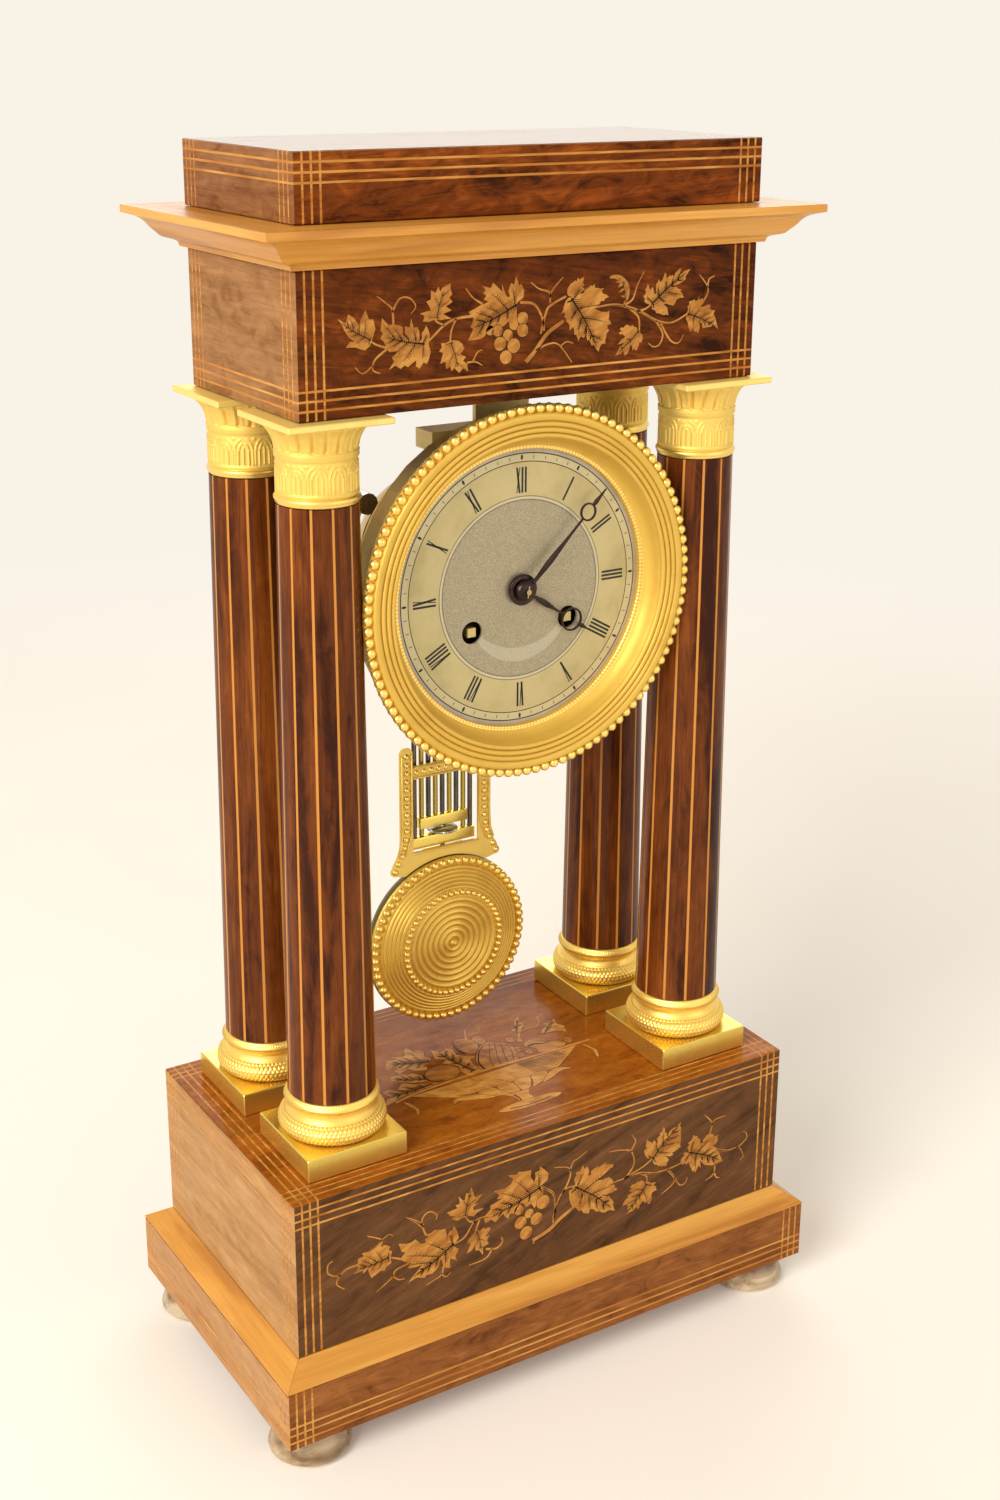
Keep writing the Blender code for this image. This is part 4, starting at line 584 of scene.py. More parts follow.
def cut_below(work, height):
    """Cuts away what sinks in below a height."""
    bmesh.ops.bisect_plane(work, geom=work.verts[:] + work.edges[:] + work.faces[:], dist=WELD,
                           plane_co=(0, 0, height), plane_no=(0, 0, -1), clear_outer=True)
    return work


def turn_map(work):
    """A UV map for a turned piece about Z: share of the turn across, height in metres up."""
    layer = work.loops.layers.uv.verify()
    for face in work.faces:
        middle = face.calc_center_median()
        mid_share = math.atan2(middle.y, middle.x) / FULL_TURN
        for loop in face.loops:
            co = loop.vert.co
            share = math.atan2(co.y, co.x) / FULL_TURN
            if math.hypot(co.x, co.y) < WELD:
                share = mid_share
            loop[layer].uv = (share + round(mid_share - share) + 0.5, co.z)
    return work


def finished(work, name, finish, body, nodes=(), crease=40.0):
    """Turns a shape into a piece of the clock that rides on a body."""
    mesh = bpy.data.meshes.new(name)
    work.to_mesh(mesh)
    work.free()
    mesh.materials.append(finish)
    mesh.shade_smooth()
    mesh.set_sharp_from_angle(angle=math.radians(crease))
    obj = bpy.data.objects.new(name, mesh)
    bpy.context.scene.collection.objects.link(obj)
    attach(obj, body)
    if nodes:
        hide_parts(*nodes)
    return obj


def middle_of(node_name):
    low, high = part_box(node_name)
    return (low + high) / 2


def at_corners(work, name, node_name, finish, height=0.0, crease=40.0, turns=None):
    """Sets copies of one shape on the clock's four corners, each in the place of its solid."""
    made = []
    for where in CORNERS:
        solid = f"{node_name}_{where}"
        centre = middle_of(solid)
        stance = Matrix.Rotation(math.radians(turns[where]), 4, "Z") if turns else UPRIGHT
        copy = placed_shape(work.copy(), (centre.x, centre.y, height), stance)
        made.append(finished(copy, f"{name}_{where}", finish, "clock_case", [solid], crease))
    work.free()
    return made


def pushed_out(vert, radius, by):
    """Moves a point of a turned piece away from the axis."""
    vert.co.x *= (radius + by) / radius
    vert.co.y *= (radius + by) / radius


def second_finish(piece, finish, chosen):
    """Gives a second material to the faces that a test on their middles picks."""
    piece.data.materials.append(finish)
    for face in piece.data.polygons:
        if chosen(face.center):
            face.material_index = 1


print("piece helpers ready")

# %% [markdown]
# ## Light wood
# The cornice and the slope above the plinth are pale satinwood, mitred at the corners, so the grain turns
# with each side. Their material finds the side it is on by which edge of the rectangle is nearer. The cornice
# outline is an S curve: its solid has few flats, so here the same outline is extruded up in finer steps.

# %% Satinwood
PALE_TONES = colours((190, 124, 48), (214, 148, 61), (228, 166, 77))


def satinwood(name, node_name):
    """Pale wood with its grain along each side of a mitred frame."""
    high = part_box(node_name)[1]
    made, tree, inputs = new_material(name, Coat_Weight=0.15, Coat_Roughness=0.2, Specular_IOR_Level=0.2)
    here = surface(tree)["Object"]
    x, y, z = split(here)
    to_side = high.x - abs(x)
    to_front = high.y - abs(y)
    along = placed(grain_along, {"Position": here, "Sideways": to_side < to_front})["Vector"]
    grain = wood(along, PALE_TONES, 60.0, 0.15, 0.2, 0.1)
    joint = remap(abs(to_side - to_front), 0.12 * MM, 0.3 * MM, 1.0, 0.0)
    feed(inputs, {"Base Color": blend(joint, grain["Color"], PALE_TONES[0]),
                  **wood_skin(grain, 0.32, 0.46, 0.12, 0.1 * MM)})
    return made


cornice_wood = satinwood("satinwood_cornice", "cornice")
paint(satinwood("satinwood_slope", "plinth_moulding"), "plinth_moulding")
print("satinwood on the slope")

# %% Cornice
CORNICE_REACH = 16.4 * MM
CORNICE_CURVE_HEIGHT = 11.8 * MM
LIP_EDGE = 0.3 * MM
CYMA = ((1.0, 0.0), (0.944, 0.17), (0.70, 0.28), (0.61, 0.40), (0.495, 0.57), (0.40, 0.75), (0.265, 0.89),
        (0.0, 1.0))


def rising_board(half_width, half_depth, bottom, sections):
    """A rectangular board extruded upwards in steps: each section is (inset, height)."""
    work = bmesh.new()
    bmesh.ops.create_grid(work, x_segments=1, y_segments=1, size=1.0)
    inset, height = sections[0]
    scale = Vector((half_width - inset, half_depth - inset, 1.0))
    bmesh.ops.scale(work, vec=scale, verts=work.verts)
    bmesh.ops.translate(work, vec=(0, 0, bottom + height), verts=work.verts)
    top = list(work.faces)
    for last, (inset, height) in zip(sections, sections[1:]):
        raised = bmesh.ops.extrude_face_region(work, geom=top)["geom"]
        old_top = top
        top = [f for f in raised if isinstance(f, bmesh.types.BMFace)]
        wide = (half_width - inset) / (half_width - last[0])
        deep = (half_depth - inset) / (half_depth - last[0])
        bmesh.ops.scale(work, vec=(wide, deep, 1.0), verts=moved_verts(raised))
        bmesh.ops.translate(work, vec=(0, 0, height - last[1]), verts=moved_verts(raised))
        left_over = [f for f in old_top if f.is_valid] if last != sections[0] else []
        if left_over:
            bmesh.ops.delete(work, geom=left_over, context="FACES_ONLY")
    bmesh.ops.recalc_face_normals(work, faces=work.faces)
    return work


cornice_low, cornice_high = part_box("cornice")
profile = [(CORNICE_REACH * inward, CORNICE_CURVE_HEIGHT * rise) for inward, rise in smooth_line(CYMA, 4)]
lip_top = cornice_high.z - cornice_low.z
profile += [(0.0, lip_top - LIP_EDGE), (LIP_EDGE, lip_top)]
work = rising_board(cornice_high.x, cornice_high.y, cornice_low.z, profile)
finished(work, "cornice_board", cornice_wood, "clock_case", ["cornice"], crease=25.0)
print("cornice in", len(profile), "steps")

# %% [markdown]
# ## Metals
# Fire gilding is a matt, warm yellow skin that wears brighter on ridges; cast brass is cooler and greener;
# steel is grey. All are metallic with noise in colour and roughness, so one group gives colour, roughness and
# a fine height, and each metal has its own clean and stained tone.

# %% Metal group
METAL_GRAIN = 2500.0

metal_tone, given, result = node_group(
    "metal_tone",
    {"Vector": None, "Colour": (0.8, 0.6, 0.2, 1), "Stain": (0.4, 0.3, 0.1, 1), "Cloud Scale": 60.0,
     "Stain Share": 0.3, "Grain Scale": METAL_GRAIN, "Smooth": 0.25, "Rough": 0.4},
    {"Color": "Color", "Roughness": "Float", "Height": "Float"},
)
clouds = noise(given["Vector"], given["Cloud Scale"], 4.0, 0.6)
stain = remap(clouds, 0.46, 0.74) * given["Stain Share"]
grain = noise(given["Vector"], given["Grain Scale"])
mixed = calc("MULTIPLY_ADD", grain, 0.4, clouds * 0.6)
feed(result, {
    "Color": blend(stain, given["Colour"], given["Stain"]),
    "Roughness": remap(mixed, 0.35, 0.65, given["Smooth"], given["Rough"], "LINEAR"),
    "Height": grain,
})


def metal_skin(tree, clean, stained, smooth, rough, stain_share, clouds):
    return placed(metal_tone, {
        "Vector": surface(tree)["Object"], "Colour": colour(*clean), "Stain": colour(*stained),
        "Cloud Scale": clouds, "Stain Share": stain_share, "Grain Scale": METAL_GRAIN, "Smooth": smooth,
        "Rough": rough,
    })


def metal(name, clean, stained, smooth, rough, stain_share=0.3, clouds=60.0, metallic=1.0):
    """A metal from its tones, its smoothest and roughest polish, and how stained it is."""
    made, tree, inputs = new_material(name, Metallic=metallic, Specular_IOR_Level=0.3)
    skin = metal_skin(tree, clean, stained, smooth, rough, stain_share, clouds)
    feed(inputs, {"Base Color": skin["Color"], "Roughness": skin["Roughness"],
                  "Normal": bump(skin["Height"], 0.05, 0.06 * MM)})
    return made


gilt = metal("gilt_matt", (236, 204, 108), (210, 166, 74), 0.5, 0.66, metallic=0.7)
gilt_turned = metal("gilt_turned", (218, 180, 82), (190, 146, 54), 0.5, 0.64, 0.35, metallic=0.65)
gilt_bright = metal("gilt_burnished", (248, 216, 120), (224, 176, 80), 0.26, 0.4, 0.25, metallic=0.85)
gilt_deep = metal("gilt_deep", (228, 190, 90), (190, 144, 56), 0.38, 0.54, 0.35, metallic=0.75)
brass = metal("brass_lacquered", (234, 208, 106), (200, 158, 64), 0.24, 0.38, clouds=30.0, metallic=0.9)
rod_brass = metal("brass_rods", (182, 158, 70), (128, 104, 44), 0.24, 0.38, clouds=30.0, metallic=0.9)
satin_brass = metal("brass_satin", (242, 216, 124), (212, 178, 92), 0.44, 0.58, metallic=0.4)
aged_brass = metal("brass_aged", (202, 180, 118), (140, 120, 76), 0.34, 0.54, 0.4, clouds=90.0, metallic=0.8)
hanger_brass = metal("brass_dull", (222, 200, 134), (168, 146, 94), 0.34, 0.5, 0.4, metallic=0.7)
movement_brass = metal("brass_movement", (190, 160, 88), (122, 100, 54), 0.22, 0.42, 0.5, clouds=80.0)
dark_bronze = metal("bronze_dark", (108, 96, 60), (62, 54, 32), 0.3, 0.46, 0.4, metallic=0.9)
steel = metal("steel_polished", (172, 168, 160), (104, 96, 86), 0.18, 0.36, 0.4, clouds=120.0)
rod_steel = metal("steel_dark", (100, 94, 86), (48, 43, 37), 0.2, 0.36, 0.4, clouds=120.0)
blued = metal("steel_blued", (64, 50, 48), (30, 24, 24), 0.22, 0.38, 0.5, clouds=200.0)
bell_metal = metal("bell_metal", (206, 176, 104), (140, 104, 50), 0.16, 0.30, 0.4, clouds=50.0)
print("metals: gilding, brass, steel and bell metal")

# %% [markdown]
# ## Column shafts
# Each shaft is a tapered drum under vertical staves of rosewood, with a thin light string between each two.
# The lines run up the taper, so the pattern follows a UV map: share of the turn across, height up. Each
# stave gets its own tone from its number round the column, because each was cut from another leaf.

# %% Shaft material
STAVES = 12
STRING_ON_SHAFT = 1.0 * MM
LEAF_SHIFT = 0.0035
LOG_SHIFT = 0.3
SHAFT_TONES = colours((60, 25, 8), (111, 55, 18), (147, 78, 27))
shaft_low, shaft_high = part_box("column_shaft_front_left")
SHAFT_FOOT_RADIUS = (shaft_high.x - shaft_low.x) / 2
SHAFT_HEAD_RADIUS = 15.2 * MM
SHAFT_MEAN_RADIUS = 1.07 * SHAFT_HEAD_RADIUS
STAVE_ANGLES = {"front_left": -6.0, "front_right": 7.0, "rear_left": 2.0, "rear_right": -9.0}


def shaft_rosewood(where):
    made, tree, inputs = new_material(f"rosewood_shaft_{where}", Coat_Weight=0.14, Coat_Roughness=0.12,
                                      Specular_IOR_Level=0.06)
    share, height = turn_and_height(tree)
    stave = (share - (0.5 + STAVE_ANGLES[where] / 360)) * STAVES
    number = calc("FLOOR", stave)
    off_middle = abs(calc("FRACT", stave) - 0.5)
    half = STRING_ON_SHAFT / (FULL_TURN * SHAFT_MEAN_RADIUS / STAVES) / 2
    string = remap(off_middle, 0.5 - half * 1.12, 0.5 - half * 0.88)
    tone = node(tree, "ShaderNodeTexWhiteNoise", {"W": number}, noise_dimensions="1D")[0]
    leaf_place = calc("MULTIPLY_ADD", number, LEAF_SHIFT, LOG_SHIFT * CORNERS.index(where))
    along = joined(height, share * (FULL_TURN * SHAFT_FOOT_RADIUS), leaf_place)
    grain = wood(along, SHAFT_TONES, 75.0, 0.4, 0.4, 0.4, burl=0.3)
    shade = grey(remap(tone, 0.0, 1.0, 0.82, 1.08, "LINEAR"))
    toned = blend(1.0, grain["Color"], shade, "MULTIPLY")
    feed(inputs, {"Base Color": blend(string, toned, STRING_TONES[1]),
                  **wood_skin(grain, 0.26, 0.42, 0.1, 0.12 * MM)})
    return made


print("shafts in", STAVES, "staves")

# %% Shafts
TENON_RADIUS = 4.5 * MM
SHAFT_GAP = 0.3 * MM
SHAFT_ROWS = 8
shaft_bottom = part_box("column_base_front_left")[1].z + SHAFT_GAP
shaft_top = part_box("capital_front_left")[0].z - SHAFT_GAP
foot = Vector((SHAFT_FOOT_RADIUS, shaft_bottom))
head = Vector((SHAFT_HEAD_RADIUS, shaft_top))
sides = [tuple(foot.lerp(head, k / SHAFT_ROWS)) for k in range(SHAFT_ROWS + 1)]
for where in CORNERS:
    node_name = f"column_shaft_{where}"
    low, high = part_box(node_name)
    centre = middle_of(node_name)
    outline = [(0.0, low.z), (TENON_RADIUS, low.z), (TENON_RADIUS, shaft_bottom), *sides,
               (TENON_RADIUS, shaft_top), (TENON_RADIUS, high.z), (0.0, high.z)]
    work = placed_shape(turn_map(spun(outline, 96)), (centre.x, centre.y, 0.0))
    finished(work, f"shaft_{where}", shaft_rosewood(where), "clock_case", [node_name])
print("shafts", round((shaft_top - shaft_bottom) / MM, 1), "mm long")

# %% [markdown]
# ## Column bases
# Each base is one gilt turning: a fat ring chased with little overlapping scales, a plain hollow, and a
# milled ring that grips the shaft. The outline is spun finely and its points are moved by the height of the
# scale or the cut that they are on. The same pattern over the UV map paints shade into the hollows between
# the scales in the material and adds a fine edge; the plain hollow of the turning is left smooth.

# %% Chased gilding
SCALES_ROUND = 72
SCALE_ROW = 1.55 * MM
SCALE_BULGE = 3.6
SCALE_SLOPE = 0.8
MILLING_ROUND = 108
MILLING_SLANT = 900.0
base_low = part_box("column_base_front_left")[0]


def chased_gilt(name, bottom):
    """Gilding with scales below and slanting milling above, by height over the bottom, with painted shade
    between the scales.
    """
    made, tree, inputs = new_material(name, Metallic=0.88)
    share, height = turn_and_height(tree)
    rise = height - bottom
    row = rise / SCALE_ROW
    side = calc("FRACT", calc("MULTIPLY_ADD", calc("FLOOR", row), 0.5, share * SCALES_ROUND)) - 0.5
    scale_height = (1.0 - side * side * SCALE_BULGE) * (1.0 - calc("FRACT", row) * SCALE_SLOPE)
    milling = calc("PINGPONG", calc("MULTIPLY_ADD", rise, MILLING_SLANT, share * MILLING_ROUND), 0.5)
    scale_zone = remap(rise, 8.6 * MM, 8.2 * MM)
    mill_zone = remap(rise, 13.2 * MM, 13.5 * MM)
    skin = metal_skin(tree, (248, 212, 112), (222, 172, 74), 0.32, 0.48, 0.25, 90.0)
    # Painted shade: the hollows between the scales are darkened in the colour.
    dark = remap(scale_height, 0.35, 0.05) * scale_zone * 0.5
    feed(inputs, {
        "Base Color": blend(dark, skin["Color"], colour(176, 124, 42)), "Roughness": skin["Roughness"],
        "Normal": bump(scale_height * scale_zone + milling * mill_zone, 0.25, 0.3 * MM),
    })
    return made


chased = chased_gilt("gilt_chased", base_low.z)
print("chasing:", SCALES_ROUND, "scales and", MILLING_ROUND, "cuts round")

# %% Bases
TORUS_CENTRE = Vector((17.2 * MM, 4.15 * MM))
BASE_OUTLINE = (
    in_mm([(4.8, 0.0), (19.0, 0.0)]) + arc(TORUS_CENTRE, 4.5 * MM, -67, 72, 36)
    + smooth_line(in_mm([(18.6, 8.7), (18.1, 9.3), (17.6, 10.9), (17.9, 12.3), (18.4, 12.9)]), 4)
    + arc((18.0 * MM, 14.4 * MM), 1.1 * MM, -50, 60, 6) + in_mm([(18.2, 16.6), (17.75, 17.0), (4.8, 17.0)])
)
STEPS_A_SCALE = 6
SCALE_RELIEF = 0.4 * MM
MILLING_RELIEF = 1.0 * MM
work = placed_shape(spun(BASE_OUTLINE, SCALES_ROUND * STEPS_A_SCALE, closed=True), (0.0, 0.0, base_low.z))
work = turn_map(work)
for vert in work.verts:
    radius = math.hypot(vert.co.x, vert.co.y)
    rise = vert.co.z - base_low.z
    turn_share = math.atan2(vert.co.y, vert.co.x) / FULL_TURN
    if radius > TORUS_CENTRE.x and 0.2 * MM < rise < 8.3 * MM:
        row, up = divmod(rise / SCALE_ROW, 1.0)
        side = (turn_share * SCALES_ROUND + 0.5 * row) % 1.0 - 0.5
        scale = (1.0 - SCALE_BULGE * side * side) * (1.0 - SCALE_SLOPE * up)
        out = (Vector((radius, rise)) - TORUS_CENTRE).normalized() * SCALE_RELIEF * (scale - 0.5)
        pushed_out(vert, radius, out.x)
        vert.co.z += out.y
    elif radius > 17.9 * MM and 13.4 * MM < rise < 15.4 * MM:
        slant = (MILLING_SLANT * rise + MILLING_ROUND * turn_share) % 1.0
        pushed_out(vert, radius, MILLING_RELIEF * (abs(slant - 0.5) - 0.25))
at_corners(work, "base_turning", "column_base", chased, crease=75.0)
paint(brass, *[f"column_block_{where}" for where in CORNERS])
paint(satin_brass, *[f"abacus_{where}" for where in CORNERS])
print("bases with", SCALES_ROUND, "scales a row")

# %% [markdown]
# ## Capitals
# The capital is cast and chased: a bell of broad tongues, a plain collar, and a drum ringed with pointed
# arches. These shapes are large enough to catch the light, so they are real relief. The outline is spun
# finely, and then each point is moved out or in by how far it is from the tongues' and arches' lines.

# %% Capital relief
TONGUES = 20
ARCHES = 12
RELIEF = 0.55 * MM
DRUM_LOW = 4.9 * MM
DRUM_HIGH = 16.2 * MM
BELL_LOW = 19.6 * MM
capital_low, capital_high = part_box("capital_front_left")


def ridge(distance, half_width):
    """A soft ridge: 1 on its line, 0 beyond its half width."""
    share = max(0.0, 1.0 - abs(distance) / half_width)
    return share * share * (3 - 2 * share)


def arch_relief(turn_share, rise, radius):
    """Double pointed arches with a midrib and a bead between their tips."""
    pitch = FULL_TURN * radius / ARCHES
    side = ((turn_share * ARCHES + 0.5) % 1.0 - 0.5) * pitch
    up = rise - DRUM_LOW
    lift = 0.0
    for half_width, height in ((pitch * 0.43, 10.3 * MM), (pitch * 0.25, 8.6 * MM)):
        spring = height * 0.52
        if up < spring:
            lift = max(lift, ridge(abs(side) - half_width, 0.42 * MM))
        elif up < height:
            share = (up - spring) / (height - spring)
            narrowed = half_width * math.sqrt(max(0.0, 1 - share * share))
            lift = max(lift, ridge(abs(side) - narrowed, 0.42 * MM))
    if up < 7.0 * MM:
        lift = max(lift, 0.7 * ridge(side, 0.35 * MM))
    bead_side = abs(side) - pitch / 2
    lift = max(lift, ridge(math.hypot(bead_side, up - 10.2 * MM), 0.75 * MM))
    return 0.45 * MM * lift * ridge(min(0.0, up - 0.3 * MM), 0.4 * MM)


def tongue_relief(turn_share, rise):
    """Broad tongues that swell towards their lower tips and open out at the top."""
    side = (turn_share * TONGUES) % 1.0 - 0.5
    share = (rise - BELL_LOW) / (capital_high.z - capital_low.z - BELL_LOW)
    if share <= 0:
        return 0.0
    tip = 0.14 * (1 - math.sqrt(max(0.0, 1 - (2 * side) ** 2)))
    body = min(1.0, max(0.0, (share - tip) / 0.10))
    groove = ridge(abs(side) - 0.5, 0.20)
    channel = 0.35 * ridge(side, 0.22)
    return RELIEF * (body * (1 - groove) - groove - channel * body) * (1 - 0.25 * share)


BELL_CURVE = smooth_line([(15.6, 19.0), (15.0, 20.2), (15.2, 22.0), (15.9, 24.0), (17.2, 26.3),
                          (18.8, 28.1)], 7)
DRUM_ROWS = 34
CAPITAL_STEPS = 240
CAPITAL_REACH = 19.55 * MM
DRUM = [(14.9 * MM, DRUM_LOW + (DRUM_HIGH - DRUM_LOW) * k / DRUM_ROWS) for k in range(DRUM_ROWS + 1)]
CAPITAL_OUTLINE = (
    in_mm([(4.8, 0.0), (14.9, 0.0), (15.5, 0.5)] + arc((14.9, 2.0), 1.1, -60, 65, 7))
    + in_mm([(15.0, 3.3), (15.3, 3.8), (15.3, 4.4)]) + DRUM
    + in_mm([(15.2, 16.7), (15.5, 17.2), (15.4, 18.3)] + BELL_CURVE
            + [(19.2, 28.55), (19.3, 28.9), (4.8, 28.9)])
)
capital = spun(CAPITAL_OUTLINE, CAPITAL_STEPS, closed=True)
for vert in capital.verts:
    radius = math.hypot(vert.co.x, vert.co.y)
    if radius < 14.0 * MM:
        continue
    turn_share = math.atan2(vert.co.y, vert.co.x) / FULL_TURN
    lift = 0.0
    if DRUM_LOW <= vert.co.z <= DRUM_HIGH:
        lift = arch_relief(turn_share, vert.co.z, radius)
    elif vert.co.z > BELL_LOW:
        lift = tongue_relief(turn_share, vert.co.z)
    pushed_out(vert, radius, min(lift, CAPITAL_REACH - radius))
print("capital relief on", len(capital.verts), "points")

# %% Capitals
CAPITAL_TURNS = {"front_left": 4.0, "front_right": 9.0, "rear_left": 0.0, "rear_right": 12.0}
BRIGHT_LOW = capital_low.z + 0.6 * MM
BRIGHT_HIGH = capital_low.z + 3.3 * MM
castings = at_corners(capital, "capital_casting", "capital", gilt, capital_low.z, 60.0,
                      CAPITAL_TURNS)
for casting in castings:
    second_finish(casting, gilt_bright, lambda spot: BRIGHT_LOW < spot.z < BRIGHT_HIGH)
print(len(castings), "capitals")

# %% [markdown]
# ## Feet
# Four turned buns of pale worn wood. They are spun like the columns; the wood group gives them grain, with
# the colour nearly washed out by handling and old polish.

# %% Feet
foot_wood, tree, inputs = new_material("foot_wood", Coat_Weight=0.4, Coat_Roughness=0.12,
                                       Specular_IOR_Level=0.45)
grain = wood(surface(tree)["Object"], colours((120, 90, 58), (176, 148, 110), (206, 184, 150)), 60.0, 0.35,
             0.3, 0.2)
feed(inputs, {"Base Color": grain["Color"], **wood_skin(grain, 0.26, 0.42, 0.1, 0.1 * MM)})

FOOT_HEIGHT = 14.2
DOWEL_TOP = 24.2
FOOT_OUTLINE = in_mm(
    [(0.0, DOWEL_TOP), (4.5, DOWEL_TOP), (4.5, FOOT_HEIGHT), (12.5, FOOT_HEIGHT)]
    + smooth_line([(12.6, 13.2), (13.8, 11.2), (15.3, 8.2), (16.4, 5.2)], 4)
    + [(16.45, 4.7)] + arc((15.2, 2.9), 1.8, 40, -75, 8) + [(14.4, 0.55), (12.5, 0.0), (0.0, 0.0)]
)
at_corners(spun(FOOT_OUTLINE, 64), "foot_turning", "foot", foot_wood)
print("feet", FOOT_HEIGHT, "mm high, without their dowels")

# %% [markdown]
# ## Bezel
# The bezel was turned from a gilt casting: a row of beads at the rim, a flat, three reeds, a deep hollow and
# a finely milled edge next to the dial. The turned part is one spun outline that follows the solid's. The
# beads are small spheres in a ring, with the parts that sink into the rim cut away, and the milling is too
# fine for geometry, so its faces get a striped bump that follows the turn, with painted shade in each cut.

# %% Bezel
BEZEL_DEPTH = 4.3 * MM
BEZEL_BEADS = 106
BEAD_CIRCLE = 71.9 * MM
BEAD_RADIUS = 2.05 * MM
MILLED_WITHIN = 56.65 * MM
MILLED_DEPTH = 5.6 * MM
MILLING_CUTS = 230
BEZEL_BACK_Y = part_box("bezel")[0].y + BEZEL_DEPTH
DIAL_Z = middle_of("dial").z
dial_front_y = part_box("dial")[0].y


def facing_piece(work, y, x=0.0, z=None):
    """Places a shape that was made about Z so that its Z points at the viewer."""
    return placed_shape(work, (x, y, DIAL_Z if z is None else z), FACING)


def striped_gilt(name, stripes):
    """Gilding with fine cuts across the turn, and painted shade in each cut."""
    made, tree, inputs = new_material(name, Metallic=0.88)
    stripe = calc("PINGPONG", turn_and_height(tree)[0] * stripes, 0.5)
    skin = metal_skin(tree, (252, 216, 120), (222, 168, 68), 0.3, 0.44, 0.25, 90.0)
    # Painted shade: the bottom of each cut is darkened in the colour.
    cut = remap(stripe, 0.22, 0.05) * 0.5
    feed(inputs, {"Base Color": blend(cut, skin["Color"], colour(176, 116, 30)),
                  "Roughness": skin["Roughness"], "Normal": bump(stripe, 0.5, 0.3 * MM)})
    return made


def is_milled(spot):
    return math.hypot(spot.x, spot.z - DIAL_Z) < MILLED_WITHIN and spot.y < BEZEL_BACK_Y + MILLED_DEPTH


BEZEL_OUTLINE = in_mm(
    [(71.5, 0.0), (73.1, 0.35), (73.4, 1.2), (73.0, 1.9), (71.3, 2.0), (70.5, 2.3), (70.3, 3.0), (70.1, 3.9),
     (69.7, 4.2), (69.1, 4.3), (68.0, 4.2), (67.4, 3.95), (67.1, 3.3)]
    + arc((65.95, 3.15), 1.05, 0, 180, 8) + [(64.85, 3.0)] + arc((63.75, 3.0), 1.05, 0, 180, 8)
    + [(62.65, 2.75)] + arc((61.6, 2.75), 1.0, 0, 180, 8)
    + smooth_line([(60.5, 2.2), (60.0, 1.0), (59.2, -1.2), (58.1, -3.0), (57.0, -4.0), (56.7, -4.3)], 4)
    + arc((55.85, -5.0), 0.75, 75, 180, 5)
    + [(55.1, -6.5), (59.1, -6.5), (62.5, -3.7), (64.5, -3.7), (64.5, 0.0)]
)
work = facing_piece(turn_map(spun(BEZEL_OUTLINE, 240, closed=True)), BEZEL_BACK_Y)
ring = finished(work, "bezel_ring", gilt_turned, "clock_case", ["bezel"], crease=50.0)
second_finish(ring, striped_gilt("gilt_milled", MILLING_CUTS), is_milled)


def seated_beads(count, circle_radius, bead_radius, height):
    """A ring of beads about Z, cut off where they sink in."""
    work = bmesh.new()
    for x, y in ring_points(circle_radius, count):
        add_bead(work, (x, y, height), bead_radius)
    return cut_below(work, height - 0.55 * bead_radius)


work = facing_piece(seated_beads(BEZEL_BEADS, BEAD_CIRCLE, BEAD_RADIUS, 2.2 * MM), BEZEL_BACK_Y)
finished(work, "bezel_beads", gilt_bright, "clock_case", crease=180.0)
print("bezel with", BEZEL_BEADS, "beads")

# %% [markdown]
# ## Dial
# The dial is silvered brass. Its plate is a disc with three holes and three feet. The rings on it are
# engraved and the metal between them was finished in different ways, so one material picks its tone by the
# distance from the centre. Figures are filled with black wax, and they are thin raised strokes here, since
# their edges must be crisp: Roman numerals with their heads outward, sixty strokes and twelve ovals.

# %% Dial metal
silvered, tree, inputs = new_material("dial_silvered", Metallic=0.55)
here = surface(tree)["Object"]
x, y, z = split(here)
flat = joined(x, z - DIAL_Z, 0.0)
radius = length_of(flat)
centre_grain = noise(here, 1800.0)
cloudy = noise(here, 55.0, 4.0, 0.65)


def engraved(at, half_width):
    """1 on a circle of a radius."""
    return remap(abs(radius - at), half_width * 1.25, half_width * 0.75)


def distance_from(up):
    """How far it is from a place above or below the dial's centre."""
    moved = node(tree, "ShaderNodeVectorMath", {0: flat, 1: (0.0, up, 0.0)}, operation="SUBTRACT")
    return length_of(moved[0])


chapter_tone = blend(remap(cloudy, 0.35, 0.7), *colours((194, 178, 128), (184, 167, 116)))
edge_tone = blend(remap(cloudy, 0.35, 0.7), *colours((182, 171, 152), (166, 155, 138)))
crescent = (remap(distance_from(-6.0 * MM), 23.4 * MM, 23.1 * MM)
            * remap(distance_from(2.6 * MM), 26.1 * MM, 26.4 * MM)
            * remap(split(flat)[1], -15.5 * MM, -17.5 * MM))
lines = larger(engraved(53.3 * MM, 0.2 * MM), engraved(50.05 * MM, 0.16 * MM))
fine_lines = larger(engraved(36.6 * MM, 0.18 * MM), engraved(35.2 * MM, 0.18 * MM))
tone = blend(remap(centre_grain, 0.3, 0.7), *colours((146, 134, 108), (178, 165, 135)))
for share, over in (
    (remap(radius, 35.9 * MM, 36.1 * MM), chapter_tone),
    (remap(radius, 50.0 * MM, 50.2 * MM) * 0.6, colour(202, 191, 152)),
    (remap(radius, 53.2 * MM, 53.5 * MM), edge_tone),
    (remap(cloudy, 0.50, 0.72) * 0.2, colour(150, 138, 104)),
    (crescent * 0.45, colour(200, 190, 168)),
    (engraved(35.9 * MM, 0.4 * MM) * 0.6, colour(212, 202, 172)),
    (fine_lines * 0.7, colour(96, 86, 68)),
    (lines, colour(40, 33, 25)),
):
    tone = blend(share, tone, over)
